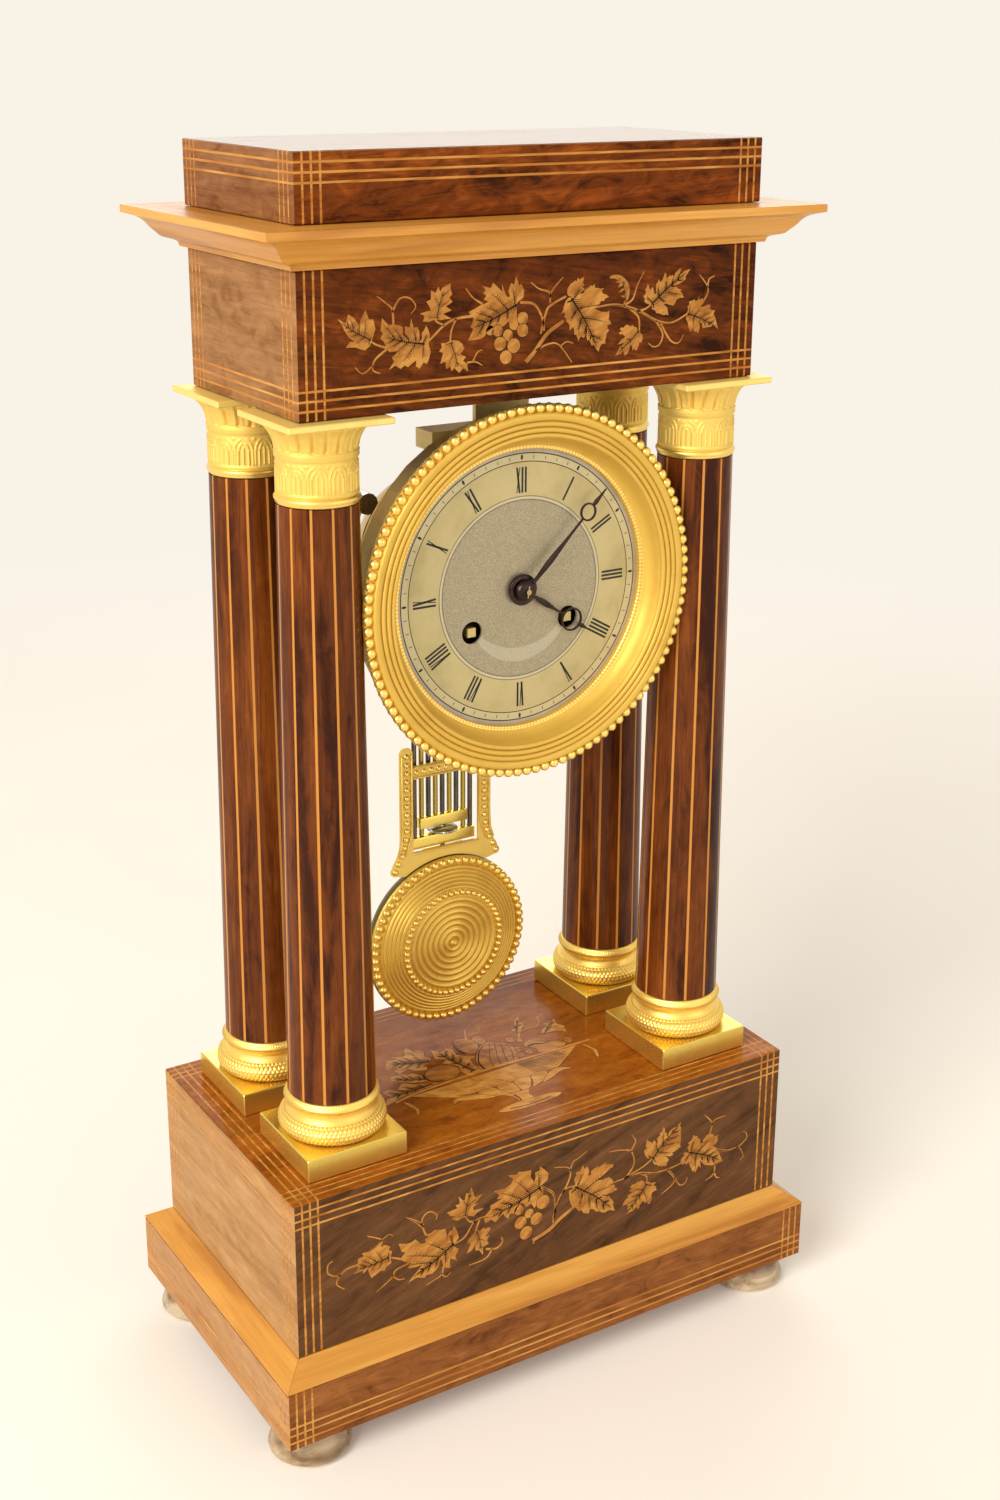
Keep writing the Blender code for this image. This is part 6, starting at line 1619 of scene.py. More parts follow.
# %% Frieze leaves
FRIEZE_LEAVES = (
    ((-70.6, 439.9), (-82.4, 447.0), (
        (-82.9, 447.8), (-80.6, 446.9), (-79.2, 449.0), (-77.5, 448.2), (-75.6, 446.0), (-74.9, 443.6),
        (-74.6, 446.5), (-72.6, 449.7), (-71.2, 447.4), (-69.7, 446.8), (-68.9, 443.9), (-69.5, 441.6),
        (-70.3, 439.8), (-71.2, 438.0), (-73.0, 436.8), (-75.0, 437.2), (-76.7, 437.8), (-79.8, 438.2),
        (-78.6, 439.8), (-77.4, 440.1), (-79.2, 441.6), (-80.9, 444.1), (-81.7, 445.8))),
    ((-49.0, 437.0), (-65.6, 440.8), (
        (-47.3, 437.5), (-47.0, 440.0), (-47.6, 442.0), (-48.4, 443.2), (-49.2, 441.9), (-50.0, 440.9),
        (-50.2, 439.0), (-51.0, 438.6), (-51.3, 441.6), (-52.0, 443.0), (-53.4, 443.4), (-54.4, 445.8),
        (-55.2, 443.6), (-56.8, 443.6), (-56.9, 441.6), (-56.2, 439.6), (-57.7, 441.0), (-58.0, 443.4),
        (-59.5, 444.3), (-61.8, 444.8), (-63.5, 444.8), (-65.8, 446.5), (-66.5, 443.3), (-66.0, 441.8),
        (-66.5, 440.2), (-65.4, 438.8), (-64.2, 436.7), (-63.2, 435.4), (-60.4, 435.1), (-62.0, 433.3),
        (-61.7, 431.7), (-63.1, 429.4), (-61.0, 430.1), (-58.9, 429.2), (-57.2, 429.9), (-55.8, 429.5),
        (-54.2, 430.5), (-52.6, 431.2), (-52.5, 429.6), (-51.1, 428.7), (-49.6, 430.2), (-48.2, 430.1),
        (-47.4, 431.5), (-46.7, 433.9), (-47.1, 435.8))),
    ((-44.0, 445.6), (-40.6, 456.2), (
        (-44.2, 445.3), (-45.4, 445.2), (-47.3, 444.8), (-49.3, 445.2), (-49.1, 446.8), (-50.4, 447.8),
        (-47.9, 448.4), (-46.6, 448.7), (-47.0, 450.0), (-47.9, 451.7), (-46.5, 452.7), (-46.1, 455.2),
        (-44.5, 454.9), (-43.3, 456.4), (-42.5, 455.2), (-41.5, 456.2), (-38.6, 457.3), (-38.3, 455.6),
        (-37.8, 453.9), (-38.6, 452.6), (-37.9, 451.1), (-39.8, 449.6), (-38.4, 448.2), (-40.7, 447.0),
        (-38.4, 445.3), (-40.4, 445.2), (-42.3, 445.0))),
    ((-38.3, 436.8), (-35.0, 426.6), (
        (-38.4, 437.3), (-40.4, 436.7), (-42.1, 436.6), (-42.0, 435.2), (-42.8, 433.9), (-41.7, 433.0),
        (-42.3, 429.9), (-40.7, 429.8), (-40.1, 427.7), (-38.6, 428.0), (-37.9, 426.7), (-36.7, 427.2),
        (-34.8, 425.9), (-33.2, 426.9), (-31.4, 426.3), (-31.7, 428.6), (-32.9, 429.8), (-32.3, 431.1),
        (-34.0, 432.3), (-32.9, 434.2), (-33.6, 435.8), (-35.1, 437.0), (-37.0, 437.4))),
    ((-10.4, 448.4), (-29.4, 441.0), (
        (-10.1, 449.0), (-7.9, 450.8), (-7.6, 453.3), (-8.6, 455.5), (-9.5, 455.5), (-10.8, 457.8),
        (-11.7, 455.8), (-12.9, 455.9), (-13.9, 453.6), (-13.6, 451.7), (-14.5, 451.5), (-15.4, 452.7),
        (-16.7, 455.5), (-17.0, 453.9), (-20.3, 456.3), (-21.4, 455.2), (-22.6, 455.2), (-24.8, 455.8),
        (-23.9, 454.5), (-24.5, 453.3), (-23.6, 452.3), (-24.2, 451.1), (-22.9, 450.2), (-24.5, 449.5),
        (-26.4, 448.9), (-28.3, 448.0), (-30.4, 447.0), (-29.8, 445.8), (-28.9, 444.8), (-29.2, 443.3),
        (-29.8, 441.7), (-29.2, 440.5), (-30.4, 437.3), (-27.6, 437.0), (-25.8, 437.3), (-24.2, 438.0),
        (-22.9, 439.5), (-21.1, 440.5), (-19.0, 441.2), (-17.0, 440.8), (-15.5, 441.4), (-14.0, 442.2),
        (-13.2, 440.2), (-12.0, 439.4), (-10.7, 439.4), (-9.6, 440.3), (-10.3, 443.2), (-10.5, 446.4))),
    ((13.3, 449.2), (25.7, 429.4), (
        (13.3, 449.6), (11.9, 450.3), (11.5, 451.3), (11.6, 452.6), (12.4, 453.8), (13.1, 454.5),
        (13.9, 454.8), (14.8, 455.4), (15.4, 455.2), (16.1, 456.3), (16.7, 455.8), (17.6, 456.1),
        (18.6, 456.3), (18.6, 455.3), (18.4, 454.5), (18.9, 453.7), (18.3, 453.0), (18.9, 452.1),
        (17.9, 451.3), (17.0, 450.5), (18.5, 450.7), (19.1, 451.3), (19.6, 452.0), (20.4, 452.3),
        (21.2, 452.7), (21.9, 453.3), (22.5, 453.0), (23.5, 453.5), (23.9, 452.4), (25.0, 452.2),
        (26.3, 451.9), (27.5, 451.8), (26.9, 450.9), (27.6, 450.0), (28.9, 449.5), (29.8, 448.6),
        (28.6, 448.0), (27.8, 447.3), (26.6, 447.1), (26.0, 446.3), (25.0, 445.6), (24.3, 444.8),
        (24.9, 444.1), (25.9, 443.8), (27.0, 443.3), (28.1, 443.2), (29.3, 443.0), (30.3, 443.2),
        (30.4, 441.5), (30.3, 440.3), (30.9, 439.5), (31.3, 438.5), (29.9, 438.0), (30.0, 436.8),
        (30.4, 436.0), (29.6, 435.2), (29.3, 434.0), (28.9, 432.7), (28.9, 431.5), (28.1, 431.3),
        (27.1, 431.0), (26.5, 430.1), (25.8, 428.8), (24.5, 430.1), (24.1, 430.8), (23.6, 431.4),
        (22.9, 431.1), (22.0, 432.6), (21.5, 433.5), (20.9, 433.2), (20.4, 434.7), (20.6, 436.7),
        (20.4, 438.3), (20.1, 437.1), (19.9, 435.3), (19.1, 434.3), (18.1, 434.7), (17.3, 434.3),
        (16.8, 433.5), (15.8, 435.3), (14.9, 435.8), (14.8, 437.1), (14.3, 438.5), (13.7, 438.1),
        (12.9, 437.6), (12.7, 439.0), (12.1, 440.2), (11.3, 440.7), (11.0, 442.0), (10.3, 442.3),
        (10.6, 443.3), (10.0, 444.1), (9.1, 443.9), (9.9, 445.3), (9.8, 445.9), (10.2, 446.6),
        (10.5, 447.6), (11.1, 448.5), (11.8, 449.1), (12.5, 449.5))),
    ((38.0, 446.2), (36.4, 455.0), (
        (37.5, 445.3), (38.4, 446.5), (39.1, 447.7), (39.5, 449.3), (39.5, 450.8), (39.1, 452.4),
        (38.3, 453.8), (37.2, 454.9), (35.9, 455.8), (34.7, 456.3), (33.1, 456.5), (31.6, 456.5),
        (30.6, 456.0), (30.4, 455.5), (31.3, 455.2), (32.2, 455.3), (33.1, 455.0), (34.1, 454.3),
        (33.1, 453.8), (34.4, 453.5), (35.1, 453.3), (34.5, 452.0), (35.6, 452.2), (36.6, 452.4),
        (36.9, 451.8), (36.1, 451.1), (34.7, 450.0), (35.9, 450.2), (36.9, 450.5), (37.5, 450.2),
        (36.9, 448.8), (35.8, 448.6), (36.6, 448.0), (37.5, 447.7), (37.5, 446.8), (36.9, 445.8))),
    ((49.8, 444.4), (66.6, 456.1), (
        (49.4, 444.3), (47.5, 445.1), (46.6, 445.8), (46.6, 446.8), (46.0, 448.0), (46.6, 448.2),
        (47.0, 449.3), (46.9, 450.3), (47.4, 451.0), (47.9, 452.1), (48.4, 451.3), (49.0, 450.2),
        (50.0, 450.8), (50.5, 450.3), (50.8, 449.1), (51.3, 448.3), (51.9, 448.8), (51.8, 450.2),
        (51.8, 451.8), (52.5, 452.7), (53.0, 453.6), (53.5, 452.8), (54.5, 453.3), (55.0, 454.3),
        (55.8, 455.8), (56.4, 455.1), (56.6, 454.0), (58.1, 454.9), (58.4, 454.5), (59.3, 454.9),
        (59.9, 454.3), (60.3, 454.9), (60.9, 455.8), (62.8, 457.0), (63.0, 455.8), (62.8, 454.9),
        (63.8, 455.3), (65.0, 456.0), (67.2, 456.5), (66.4, 455.2), (65.6, 454.1), (65.3, 453.0),
        (63.8, 452.0), (62.5, 451.5), (60.9, 450.8), (62.5, 449.6), (63.6, 449.2), (63.3, 448.5),
        (64.1, 447.7), (64.6, 446.3), (63.1, 446.1), (61.6, 445.5), (61.1, 444.6), (60.0, 443.6),
        (57.8, 444.0), (56.6, 444.3), (55.9, 444.0), (57.2, 442.8), (57.5, 441.8), (57.8, 440.1),
        (56.8, 440.2), (55.9, 440.1), (55.0, 440.3), (53.1, 441.0), (52.2, 441.1), (51.6, 442.1),
        (50.3, 442.8), (50.2, 443.6))),
    ((44.3, 435.0), (34.3, 427.0), (
        (43.8, 435.3), (43.1, 436.3), (42.2, 436.6), (41.3, 437.2), (40.3, 437.0), (39.5, 437.4),
        (38.6, 437.6), (37.8, 437.2), (37.0, 436.6), (36.3, 436.8), (35.6, 436.1), (36.3, 435.5),
        (35.2, 434.9), (35.9, 434.3), (36.9, 434.1), (37.8, 433.3), (37.4, 432.7), (36.3, 432.1),
        (35.0, 430.7), (36.3, 430.8), (37.5, 431.0), (36.6, 430.0), (35.6, 429.5), (35.0, 428.3),
        (33.9, 426.6), (35.3, 426.8), (36.3, 427.0), (36.9, 427.7), (37.5, 427.4), (38.1, 426.3),
        (39.1, 426.8), (39.7, 427.7), (40.3, 429.0), (40.6, 429.6), (41.3, 429.3), (41.6, 428.0),
        (42.5, 428.3), (43.1, 427.7), (43.8, 428.3), (44.4, 429.6), (44.7, 430.5), (45.6, 430.7),
        (46.1, 432.1), (45.9, 433.3), (45.1, 434.0), (44.8, 434.6))),
    ((67.1, 439.9), (81.4, 433.8), (
        (66.8, 440.2), (67.2, 441.5), (67.1, 442.7), (67.8, 443.3), (67.8, 444.3), (69.7, 444.9),
        (69.9, 445.3), (70.6, 444.6), (71.6, 444.9), (72.2, 445.8), (72.6, 444.9), (73.8, 445.2),
        (74.4, 444.3), (74.1, 443.5), (73.4, 442.4), (74.4, 442.1), (76.9, 442.6), (77.8, 442.2),
        (77.8, 441.5), (78.3, 440.7), (80.0, 440.1), (79.7, 439.0), (80.6, 437.1), (81.3, 435.2),
        (81.9, 433.3), (80.6, 434.0), (79.4, 434.6), (78.4, 434.1), (77.5, 434.0), (76.3, 434.0),
        (74.7, 434.0), (74.1, 435.5), (73.4, 436.0), (71.9, 436.8), (72.8, 435.8), (73.1, 434.6),
        (72.8, 433.3), (72.4, 432.1), (71.6, 432.7), (70.6, 432.8), (70.0, 434.0), (69.5, 433.6),
        (68.8, 432.9), (68.3, 433.6), (67.8, 434.6), (67.5, 435.8), (66.9, 437.1), (66.4, 438.3))),
)
print("frieze leaves:", len(FRIEZE_LEAVES))

# %% Base leaves
BASE_LEAVES = (
    ((-78.0, 80.0), (-92.6, 79.4), (
        (-92.0, 81.6), (-91.6, 83.9), (-89.5, 84.5), (-89.7, 85.9), (-87.0, 85.9), (-85.2, 86.4),
        (-84.1, 86.7), (-82.0, 88.0), (-81.2, 86.0), (-80.2, 86.3), (-79.1, 85.9), (-77.7, 84.8),
        (-78.0, 83.4), (-76.8, 82.3), (-77.0, 80.9), (-77.3, 79.6), (-77.3, 77.3), (-79.1, 76.2),
        (-80.2, 74.8), (-82.0, 75.0), (-83.4, 74.5), (-85.9, 73.7), (-87.0, 75.9), (-87.7, 77.7),
        (-89.5, 77.0), (-90.2, 78.0), (-93.4, 78.0), (-92.3, 79.5))),
    ((-48.0, 76.0), (-67.8, 66.4), (
        (-47.7, 75.5), (-46.2, 78.0), (-46.6, 80.9), (-48.0, 83.6), (-48.9, 82.1), (-49.8, 82.3),
        (-50.9, 80.9), (-51.4, 79.0), (-51.6, 81.2), (-52.3, 83.9), (-54.5, 84.5), (-57.0, 85.2),
        (-59.0, 84.5), (-61.2, 84.6), (-60.2, 83.2), (-61.4, 82.5), (-61.5, 81.0), (-63.6, 81.5),
        (-65.9, 83.7), (-67.8, 83.4), (-69.8, 83.4), (-73.0, 84.1), (-72.3, 80.9), (-71.0, 79.5),
        (-72.3, 77.7), (-71.3, 75.8), (-69.8, 74.6), (-68.4, 73.7), (-69.1, 72.0), (-66.2, 71.2),
        (-63.6, 70.9), (-65.6, 68.7), (-68.7, 65.5), (-65.8, 66.0), (-64.0, 65.5), (-62.0, 64.8),
        (-60.5, 65.5), (-58.4, 65.5), (-56.5, 66.6), (-55.2, 68.0), (-54.5, 70.2), (-53.8, 69.6),
        (-53.0, 67.3), (-51.9, 65.9), (-50.2, 65.5), (-50.0, 68.0), (-49.5, 69.1), (-47.0, 67.7),
        (-47.3, 69.8), (-46.1, 72.3), (-47.2, 73.8))),
    ((-42.8, 87.0), (-40.0, 98.2), (
        (-42.7, 86.6), (-46.2, 86.2), (-48.7, 87.6), (-47.8, 88.5), (-49.5, 89.3), (-50.9, 91.2),
        (-48.7, 91.6), (-46.8, 92.0), (-47.1, 93.4), (-45.6, 93.8), (-45.7, 96.6), (-44.4, 95.4),
        (-43.1, 94.6), (-42.3, 97.0), (-40.9, 97.2), (-39.8, 98.7), (-38.8, 96.0), (-37.9, 94.3),
        (-35.2, 94.3), (-36.7, 92.6), (-38.2, 91.2), (-36.9, 90.8), (-38.8, 89.8), (-38.4, 88.4),
        (-34.7, 87.7), (-37.0, 86.6), (-38.8, 85.7), (-40.5, 86.2))),
    ((-37.4, 78.0), (-34.8, 67.0), (
        (-37.3, 78.4), (-39.1, 77.0), (-41.2, 75.2), (-41.6, 73.7), (-40.5, 73.0), (-41.6, 69.5),
        (-39.8, 69.8), (-38.4, 70.9), (-37.7, 69.1), (-36.2, 68.4), (-34.5, 66.2), (-34.1, 69.1),
        (-32.0, 70.2), (-32.3, 72.0), (-31.6, 73.7), (-33.0, 74.1), (-30.9, 76.6), (-31.6, 77.7),
        (-33.4, 77.7), (-34.1, 78.4), (-35.9, 77.7))),
    ((-6.2, 88.6), (-32.2, 81.8), (
        (-5.9, 89.1), (-3.4, 90.9), (-3.0, 93.7), (-4.8, 96.2), (-6.6, 97.9), (-7.3, 96.6), (-9.1, 95.9),
        (-9.1, 93.7), (-9.8, 92.3), (-11.2, 94.8), (-11.6, 97.7), (-14.8, 98.4), (-17.0, 99.1),
        (-18.4, 98.4), (-21.6, 98.7), (-20.2, 96.6), (-21.2, 94.8), (-24.1, 93.7), (-28.4, 93.6),
        (-27.0, 91.6), (-27.3, 89.8), (-25.5, 89.1), (-30.2, 87.7), (-31.0, 85.9), (-33.4, 83.4),
        (-33.0, 80.5), (-30.5, 80.9), (-28.4, 79.5), (-26.0, 81.0), (-24.5, 81.6), (-23.7, 80.2),
        (-22.3, 79.1), (-21.2, 80.5), (-19.1, 80.5), (-17.7, 82.3), (-15.5, 83.7), (-13.4, 81.6),
        (-11.2, 81.9), (-9.5, 79.8), (-8.4, 80.5), (-6.2, 82.3), (-5.2, 85.2), (-5.2, 87.7))),
    ((10.8, 82.8), (30.8, 65.4), (
        (10.7, 84.1), (10.4, 85.9), (10.7, 87.3), (11.4, 88.0), (11.3, 89.5), (12.7, 89.6), (13.6, 90.2),
        (14.6, 91.5), (15.4, 90.2), (16.8, 90.4), (17.5, 89.1), (17.7, 87.7), (17.5, 86.2), (18.7, 86.2),
        (19.1, 87.7), (20.4, 88.4), (21.4, 88.7), (22.3, 89.1), (22.5, 88.4), (23.9, 88.7), (25.0, 89.1),
        (26.3, 89.5), (26.4, 88.4), (27.5, 88.4), (28.9, 87.7), (30.0, 87.5), (30.0, 86.2), (28.6, 85.9),
        (27.5, 85.2), (25.7, 84.1), (23.6, 83.2), (21.4, 82.3), (23.6, 81.9), (25.0, 81.6), (26.4, 81.7),
        (28.2, 81.6), (29.9, 79.8), (30.7, 78.0), (31.4, 75.9), (32.3, 74.5), (30.7, 74.0), (29.6, 73.7),
        (26.8, 73.7), (25.7, 74.1), (24.6, 74.3), (26.1, 73.4), (27.5, 72.7), (28.6, 72.3), (29.3, 70.9),
        (30.0, 70.2), (30.7, 68.7), (30.6, 67.3), (31.3, 64.6), (29.6, 65.2), (28.2, 65.5), (26.4, 65.2),
        (25.0, 65.7), (23.6, 66.6), (22.1, 67.0), (21.1, 68.0), (20.0, 68.9), (18.7, 69.1), (17.9, 67.7),
        (16.8, 68.0), (15.4, 68.7), (14.3, 70.2), (12.9, 70.5), (11.8, 72.0), (10.7, 72.9), (9.6, 73.7),
        (8.9, 75.2), (8.4, 76.6), (8.0, 78.4), (7.9, 80.2), (7.7, 81.2), (8.4, 82.0), (9.3, 82.1))),
    ((50.6, 83.2), (65.0, 96.2), (
        (50.0, 84.1), (49.3, 84.5), (48.2, 84.5), (47.5, 85.5), (46.8, 86.6), (46.3, 88.0), (46.4, 89.1),
        (47.5, 89.6), (47.1, 91.2), (47.5, 93.7), (48.2, 93.0), (49.6, 92.0), (50.4, 91.2), (51.1, 92.0),
        (52.0, 91.6), (52.9, 90.2), (53.2, 91.2), (53.1, 92.7), (54.3, 93.7), (54.4, 94.8), (55.4, 95.2),
        (56.1, 97.0), (56.8, 96.2), (57.1, 94.5), (57.9, 93.7), (58.2, 92.3), (58.9, 91.6), (58.9, 93.0),
        (59.6, 94.1), (60.7, 94.8), (61.8, 95.2), (63.2, 95.2), (64.3, 96.2), (65.4, 96.6), (65.1, 95.2),
        (65.7, 93.7), (65.4, 92.0), (65.6, 90.5), (65.7, 89.1), (65.7, 87.3), (65.4, 85.9), (65.7, 84.8),
        (64.3, 84.1), (62.9, 83.4), (61.4, 83.0), (61.6, 82.0), (60.0, 81.7), (58.6, 82.3), (57.1, 82.7),
        (58.6, 81.6), (59.3, 80.0), (58.6, 79.1), (58.2, 77.7), (56.8, 78.0), (55.7, 77.9), (55.0, 78.7),
        (53.9, 78.9), (53.2, 79.8), (52.1, 80.3), (51.1, 81.6), (50.9, 82.7))),
    ((48.1, 72.2), (38.3, 61.0), (
        (47.5, 72.9), (46.4, 73.7), (45.0, 74.5), (43.9, 74.3), (43.2, 74.5), (42.1, 74.0), (40.4, 73.9),
        (39.6, 72.7), (40.6, 72.2), (39.1, 71.5), (40.0, 70.9), (40.7, 70.5), (39.3, 69.8), (38.2, 69.1),
        (38.9, 68.6), (37.1, 67.7), (36.1, 66.6), (35.7, 65.5), (37.1, 65.2), (37.9, 64.8), (38.6, 63.7),
        (38.2, 62.7), (39.3, 62.5), (38.9, 61.6), (37.9, 60.5), (39.6, 60.9), (41.1, 61.0), (42.1, 61.6),
        (42.9, 62.0), (43.6, 61.0), (44.6, 61.6), (44.6, 62.3), (45.7, 63.4), (46.3, 64.1), (46.8, 63.4),
        (47.5, 62.7), (48.6, 62.9), (48.9, 62.0), (50.0, 61.5), (50.7, 62.7), (51.1, 63.7), (50.9, 65.5),
        (51.4, 66.6), (52.5, 67.0), (53.6, 67.2), (53.0, 68.4), (53.2, 69.1), (52.1, 69.8), (52.7, 71.2),
        (51.1, 71.5), (50.0, 72.0), (48.9, 72.7))),
    ((70.6, 80.2), (88.6, 70.6), (
        (70.4, 79.8), (70.0, 81.6), (69.6, 83.0), (70.4, 84.1), (70.0, 85.2), (71.4, 85.9), (72.1, 87.0),
        (72.5, 88.0), (73.6, 87.3), (74.6, 87.0), (75.0, 85.9), (76.1, 85.2), (76.4, 84.1), (76.8, 82.7),
        (77.9, 83.0), (77.9, 84.1), (78.9, 84.8), (80.0, 85.9), (81.4, 86.0), (82.5, 85.7), (83.2, 85.2),
        (84.6, 84.1), (86.1, 83.9), (85.7, 82.7), (86.1, 81.6), (85.4, 80.5), (85.0, 79.8), (83.6, 79.6),
        (84.6, 78.6), (85.7, 77.3), (86.8, 75.9), (87.5, 73.7), (88.2, 72.3), (89.1, 70.2), (87.1, 69.8),
        (85.0, 69.6), (83.2, 69.8), (81.4, 70.5), (80.0, 70.9), (78.6, 72.0), (77.5, 73.4), (76.8, 73.7),
        (77.1, 70.9), (76.1, 71.6), (75.4, 70.9), (74.3, 69.3), (73.6, 70.2), (72.9, 70.0), (72.1, 71.6),
        (71.4, 73.0), (70.7, 74.5), (70.4, 75.5), (69.3, 74.8), (68.2, 75.5), (67.1, 75.4), (66.4, 76.2),
        (66.1, 77.7), (66.8, 78.7), (67.9, 79.5), (67.5, 80.5), (68.6, 80.9), (69.6, 80.5))),
)
print("base leaves:", len(BASE_LEAVES))

# %% Stems and grapes
FRIEZE_STEMS = (
    (2.4, 1.2, (-6, 427), (-2, 431), (3, 437), (10, 441)),
    (1.0, 0.8, (-9, 449), (-3, 448), (0.5, 443), (1.5, 438)),
    (1.0, 0.8, (0, 437), (2, 444), (4, 447), (11, 450)),
    (0.9, 0.4, (4, 448), (4.5, 452), (9.5, 457)),
    (0.9, 0.4, (4, 450), (3.5, 452), (-1, 453.5), (-4.5, 456)),
    (0.9, 0.35, (-2, 431), (3, 433), (8, 432.5), (14, 425.5)),
    (0.7, 0.35, (9, 432), (11.5, 433.3), (14.5, 432.5)),
    (1.0, 0.7, (-29, 445.5), (-36, 445), (-41, 443), (-46, 439), (-48.5, 437.2)),
    (0.8, 0.6, (-41, 443), (-44, 444.5), (-45, 446)),
    (0.8, 0.6, (-36, 445), (-38, 441), (-38.5, 437)),
    (0.9, 0.5, (-63, 436.5), (-68, 438), (-71, 439.8)),
    (0.9, 0.35, (-64, 436.5), (-69, 433), (-70, 429.5), (-67, 428)),
    (0.7, 0.3, (-70, 431), (-74, 428.5), (-77, 431)),
    (0.9, 0.35, (-61.5, 444.5), (-62, 450), (-64, 452), (-68, 455)),
    (0.8, 0.3, (-62, 449), (-59, 453.5), (-55, 453.5), (-52.5, 450.5), (-54.5, 448)),
    (0.8, 0.3, (-25, 449.5), (-29, 452), (-32, 455.5)),
    (0.8, 0.3, (-31.5, 429), (-28, 429), (-25, 427.5)),
    (0.6, 0.3, (-29, 429.3), (-27, 432.5), (-25, 433)),
    (1.1, 0.8, (23.5, 444.8), (32, 445.5), (38, 444.5), (45, 442), (53, 438), (60, 437), (67.2, 440)),
    (0.9, 0.6, (43, 442.4), (47, 443), (50, 444.8)),
    (0.9, 0.35, (37, 445), (41, 447), (43, 452), (46, 457)),
    (0.9, 0.6, (40, 443.5), (44, 440), (44.5, 435)),
    (0.9, 0.35, (52, 438.3), (55.5, 433), (54, 429), (51, 428.5), (49, 430)),
    (0.9, 0.35, (54.5, 437), (59, 430.5), (63, 429), (65.5, 432)),
    (0.9, 0.35, (73.6, 443), (76.3, 447), (76, 450), (72, 454.5)),
    (0.8, 0.3, (76.3, 449), (76.8, 452.3), (79.5, 453.5)),
)
FRIEZE_GRAPES = ((-21.7, 439.8, 1.9), (-18.6, 439.5, 2.2), (-14.2, 437.6, 2.2), (-7.9, 443.3, 2.4),
                 (-7.9, 438.9, 2.5), (-17.6, 434.7, 2.6), (-11.7, 433.6, 2.8), (-15.1, 429.7, 2.6))
BASE_STEMS = (
    (2.8, 1.4, (-10, 63.5), (-2, 66), (4, 70), (10.5, 73.2)),
    (1.1, 0.9, (-5.5, 88), (0, 83), (1, 75), (0, 69)),
    (1.1, 0.9, (0, 71), (3, 80), (7, 83.4), (12, 82.6)),
    (1.0, 0.35, (4.5, 81.5), (8, 88), (7.5, 93), (0, 95.5)),
    (0.9, 0.35, (8, 91), (9.5, 95), (12, 96), (16.5, 98)),
    (1.1, 0.7, (-32, 83), (-38, 83), (-43, 77), (-47.8, 75.6)),
    (0.9, 0.6, (-38, 82.5), (-41, 84), (-43, 87)),
    (0.9, 0.6, (-36, 83), (-38, 78)),
    (1.0, 0.6, (-70.5, 76), (-74, 78), (-78, 80)),
    (1.0, 0.4, (-91, 81.5), (-97, 81.3), (-100.5, 79.5), (-105, 82), (-105, 86), (-103, 87)),
    (0.9, 0.35, (-100, 79.8), (-101.5, 76), (-98, 72.5)),
    (0.9, 0.4, (-81.5, 87), (-81.5, 89.5), (-87.5, 93)),
    (0.7, 0.35, (-81.5, 88.8), (-78, 90.5), (-76, 89)),
    (0.9, 0.4, (-69, 74), (-75, 73), (-77, 70), (-84, 66)),
    (0.8, 0.35, (-76.6, 71), (-74, 68.2), (-71, 67.5)),
    (0.9, 0.4, (-61, 84), (-63, 90), (-62, 93.5), (-59, 94.5), (-56, 92), (-56.5, 90)),
    (1.8, 0.4, (-62.5, 89), (-66, 92.5), (-70, 95.5)),
    (0.9, 0.5, (-53, 67), (-54.5, 63), (-61, 61)),
    (0.7, 0.35, (-54.2, 64), (-52, 61.5), (-49.5, 63)),
    (1.0, 0.7, (-33, 68), (-28, 66.5), (-25, 68.5), (-25.5, 71)),
    (0.9, 0.35, (-30, 67), (-33, 63.5), (-41, 63)),
    (1.2, 0.9, (29, 78), (37, 78.4), (44, 78.5), (52, 76), (60, 75.5), (67.5, 76.4)),
    (1.2, 0.8, (36, 78.4), (46, 81), (50.8, 83.6)),
    (1.0, 0.4, (37, 78.6), (41, 84), (39.5, 90.5), (34, 93), (28, 94)),
    (0.9, 0.35, (39, 90.5), (41.5, 95), (39.5, 98.5)),
    (1.0, 0.6, (45, 78), (48, 75.5), (48, 71.5)),
    (1.1, 0.4, (59, 75.5), (63, 70), (62, 67), (56, 64)),
    (0.9, 0.35, (63, 70), (66, 65.5), (69, 65.6), (70, 68)),
    (1.2, 0.35, (85.5, 77), (92, 74.3), (98, 74), (101, 69), (99, 67)),
    (0.9, 0.35, (97, 74), (102, 77), (102, 80), (100, 81.5)),
    (1.0, 0.35, (81, 85), (82.5, 91), (78, 96.5)),
    (0.8, 0.35, (82.3, 90), (84, 92.3), (90, 92.5)),
    (1.0, 0.3, (85, 69), (84.5, 65), (80, 63)),
    (0.9, 0.35, (84.8, 66), (86, 63), (88, 62)),
)
BASE_GRAPES = ((-17.0, 80.9, 2.4), (-12.0, 77.7, 2.3), (-5.2, 80.9, 3.3), (-16.2, 74.7, 3.0),
               (-8.4, 74.0, 3.0), (-13.4, 68.9, 3.2))


